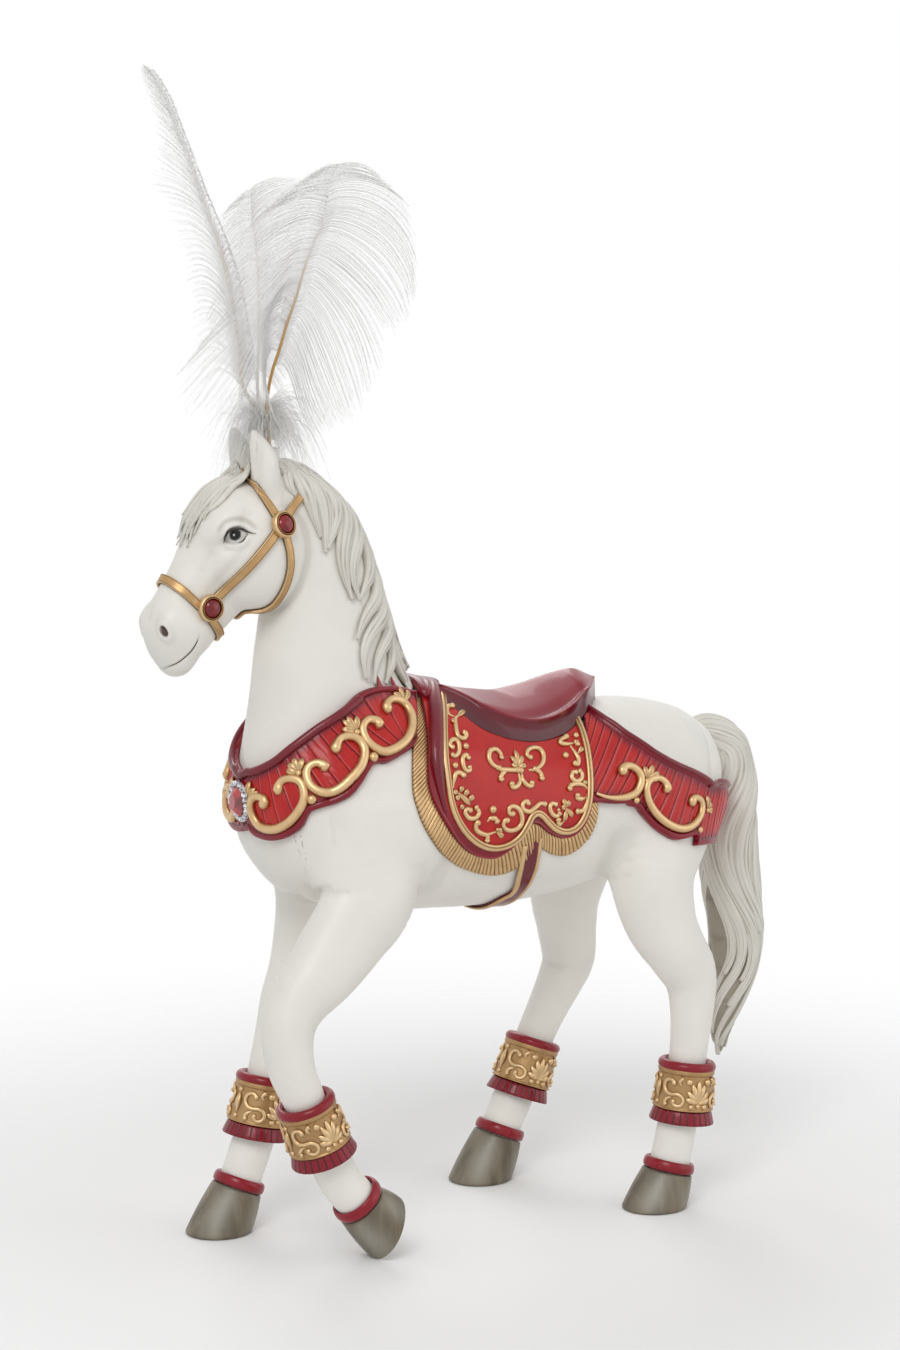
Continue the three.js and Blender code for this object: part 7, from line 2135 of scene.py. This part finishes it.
for k, rows in enumerate(middleLocks + [mirrorRows(middleLocks[1])]):
    line, normals = seat(curveThrough(spots(rows), 46), (1.0 + 0.5 * (k > 0)) * mm, 5, normals=True)
    lock(made, line, normals, lockRadii(46, 2.8 * mm), seed=k * 1.3, furrows=3, flat=0.6)
made.piece("forelock_locks", "forelock", slot="hair_resin", finish=hair)
print("mane done")

# Tail: wavy strands wound round a core that springs from the dock and falls behind the breeching
tailLine = [
    (1.00, 0, 1.97, 0.045, 0.045), (1.10, 0, 1.965, 0.078, 0.072), (1.20, 0, 1.905, 0.092, 0.09),
    (1.235, 0, 1.80, 0.095, 0.10), (1.245, 0, 1.67, 0.10, 0.115), (1.24, 0, 1.50, 0.118, 0.125),
    (1.25, 0, 1.30, 0.135, 0.13), (1.27, 0, 1.10, 0.138, 0.12), (1.275, 0, 0.93, 0.122, 0.10),
    (1.245, 0, 0.78, 0.095, 0.08), (1.21, 0, 0.63, 0.07, 0.055), (1.20, 0, 0.535, 0.035, 0.03),
]
tailPlan = {"strands": 26, "radius": 4.3 * mm, "steps": 90, "wave": 0.75, "waves": 1.9}
tailBody = Limb(tailLine)
made = Build()
# the core is painted dark as the shade between the strands
core = tailBody.rings(60, 24, 2.2 * mm)
made.tube(core, recess=0.9)
count = tailPlan["steps"]
t = np.linspace(0, 1, count)
for k in range(tailPlan["strands"]):
    layer = k % 3
    angle = 2 * np.pi * k / tailPlan["strands"] + rng.uniform(-0.12, 0.12)
    end = rng.uniform(0.80, 1.0) if layer else rng.uniform(0.62, 0.95)
    at = 0.012 * layer + t * end
    rows = at * (len(tailBody.centre) - 1)
    i = np.minimum(rows.astype(int), len(tailBody.centre) - 2)
    f = (rows - i)[:, None]
    mix = lambda table: table[i] * (1 - f) + table[i + 1] * f
    wave = tailPlan["wave"] * np.sin(2 * np.pi * tailPlan["waves"] * at + 0.5 * angle)
    sway = angle + wave * steps(at, 0.05, 0.4) + 0.5 * (at - 0.3)
    size = mix(tailBody.size)[:, :2] - tailPlan["radius"] * 0.55 + (layer - 1) * 0.5 * mm
    size = np.maximum(size, 0.4 * mm) * (1 + 0.25 * steps(t, 0.8, 1) * (layer == 0))[:, None]
    tailAcross, tailSide = mix(tailBody.across), mix(tailBody.side)
    out = (tailAcross * (np.cos(sway) * size[:, 0])[:, None]
           + tailSide * (np.sin(sway) * size[:, 1])[:, None])
    line = mix(tailBody.centre) + out
    radii = lockRadii(count, tailPlan["radius"] * rng.uniform(0.8, 1.15), 0.45, 0.16, 0.35)
    lock(made, line, unit(out), radii, 0.8, 3, seed=k * 1.9, twist=1.4)
made.piece("tail_strands", "tail", slot="hair_resin", finish=hair)
print("tail done")

resin = Finish("ivory resin", Roughness=0.42)
resin.shader.inputs["Specular IOR Level"].default_value = 0.45
cloudy = resin.noise(38, 4)
ivory = resin.blend(cloudy.ramp(0.35, 0.7), (0.87, 0.845, 0.785), (0.83, 0.81, 0.755))
# grey where recess is high: dark wash and painted shade in the hollows and grooves of the flesh
ivory = resin.blend((resin.value("recess") * 0.9).clip(), ivory, (0.44, 0.41, 0.35))
resin.colour(resin.blend(resin.value("ink").clip(), ivory, (0.13, 0.08, 0.065)))
resin.rough(cloudy * 0.12 + 0.36)
resin.relief(resin.bump(resin.noise(700, 2), 0.08, 0.0003))
mesh = body
for key, data in (("recess", recess), ("ink", inkiness)):
    mesh.attributes.new(key, "FLOAT", "POINT").data.foreach_set("value", np.asarray(data, np.float32))
mesh.materials.clear()
mesh.vertices.foreach_set("co", flesh.astype(np.float32).ravel())
for polygon in mesh.polygons:
    polygon.use_smooth = True
mesh.update()
mesh.materials.append(resin.material)
horseBody = bpy.data.objects.new("horse_body", mesh)
bpy.context.scene.collection.objects.link(horseBody)
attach(horseBody, "root")
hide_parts("body_casting")

# Camera, floor, world and lamps
camera = bpy.data.objects.new("camera", bpy.data.cameras.new("camera"))
camera.data.lens = 95.2
camera.data.sensor_width = 36
camera.data.clip_start = 0.05
camera.location = target + 1.5 * view
camera.rotation_euler = Vector(-view).to_track_quat("-Z", "Y").to_euler()
bpy.context.scene.collection.objects.link(camera)
bpy.context.scene.camera = camera
bpy.context.scene.view_settings.view_transform = "Standard"

# The floor fades out round the figure, so that it runs into the white behind it
floorFinish = Finish("paper", Roughness=0.9)
floorFinish.shader.inputs["Specular IOR Level"].default_value = 0.2
floorFinish.colour(floorFinish.blend(floorFinish.noise(3), (0.95, 0.95, 0.95), (0.97, 0.97, 0.97)))
away = floorFinish.node("VectorMath", {"operation": "LENGTH"}, {0: floorFinish.place()}, pick=1)
floorFinish.feed(floorFinish.shader.inputs["Alpha"], 1 - away.ramp(0.16, 0.52))
turn = np.linspace(0, 2 * np.pi, 96, endpoint=False)
rings = np.linspace(0.02, 0.6, 24)
floorPoints = np.stack([rings[:, None] * np.cos(turn), rings[:, None] * np.sin(turn),
                        np.zeros((24, 96))], -1).reshape(-1, 3)
floorMesh = bpy.data.meshes.new("floor")
floorMesh.from_pydata(floorPoints.tolist(), [], gridFaces(24, 96, loop=True).tolist() + [list(range(96))])
floorMesh.materials.append(floorFinish.material)
floor = bpy.data.objects.new("floor", floorMesh)
floor.location.z = -0.2 * mm
bpy.context.scene.collection.objects.link(floor)

world = bpy.data.worlds.new("studio")
bpy.context.scene.world = world
world.use_nodes = True
tree = world.node_tree
back = tree.nodes["Background"]
back.inputs[0].default_value = (1, 1, 1, 1)
rays = tree.nodes.new("ShaderNodeLightPath")
seen = None
for name in ("Is Camera Ray", "Is Glossy Ray", "Is Transmission Ray"):
    if seen is None:
        seen = rays.outputs[name]
        continue
    most = tree.nodes.new("ShaderNodeMath")
    most.operation = "MAXIMUM"
    tree.links.new(seen, most.inputs[0])
    tree.links.new(rays.outputs[name], most.inputs[1])
    seen = most.outputs[0]
level = tree.nodes.new("ShaderNodeMapRange")
level.inputs["To Min"].default_value = 0.55  # light that the surroundings give
level.inputs["To Max"].default_value = 1.0   # what is seen behind the figure
tree.links.new(seen, level.inputs["Value"])
tree.links.new(level.outputs[0], back.inputs[1])


def lamp(name, place, power, size):
    light = bpy.data.lights.new(name, "AREA")
    light.energy = power
    light.size = size
    holder = bpy.data.objects.new(name, light)
    holder.location = target + np.array(place)
    holder.rotation_euler = Vector(-np.array(place)).to_track_quat("-Z", "Y").to_euler()
    bpy.context.scene.collection.objects.link(holder)


lamp("key", (-1.2, -1.3, 1.4), 16, 1.0)
lamp("fill", (1.4, -1.4, 0.5), 5, 1.4)
lamp("rim", (0.6, 1.5, 1.2), 8, 1.0)
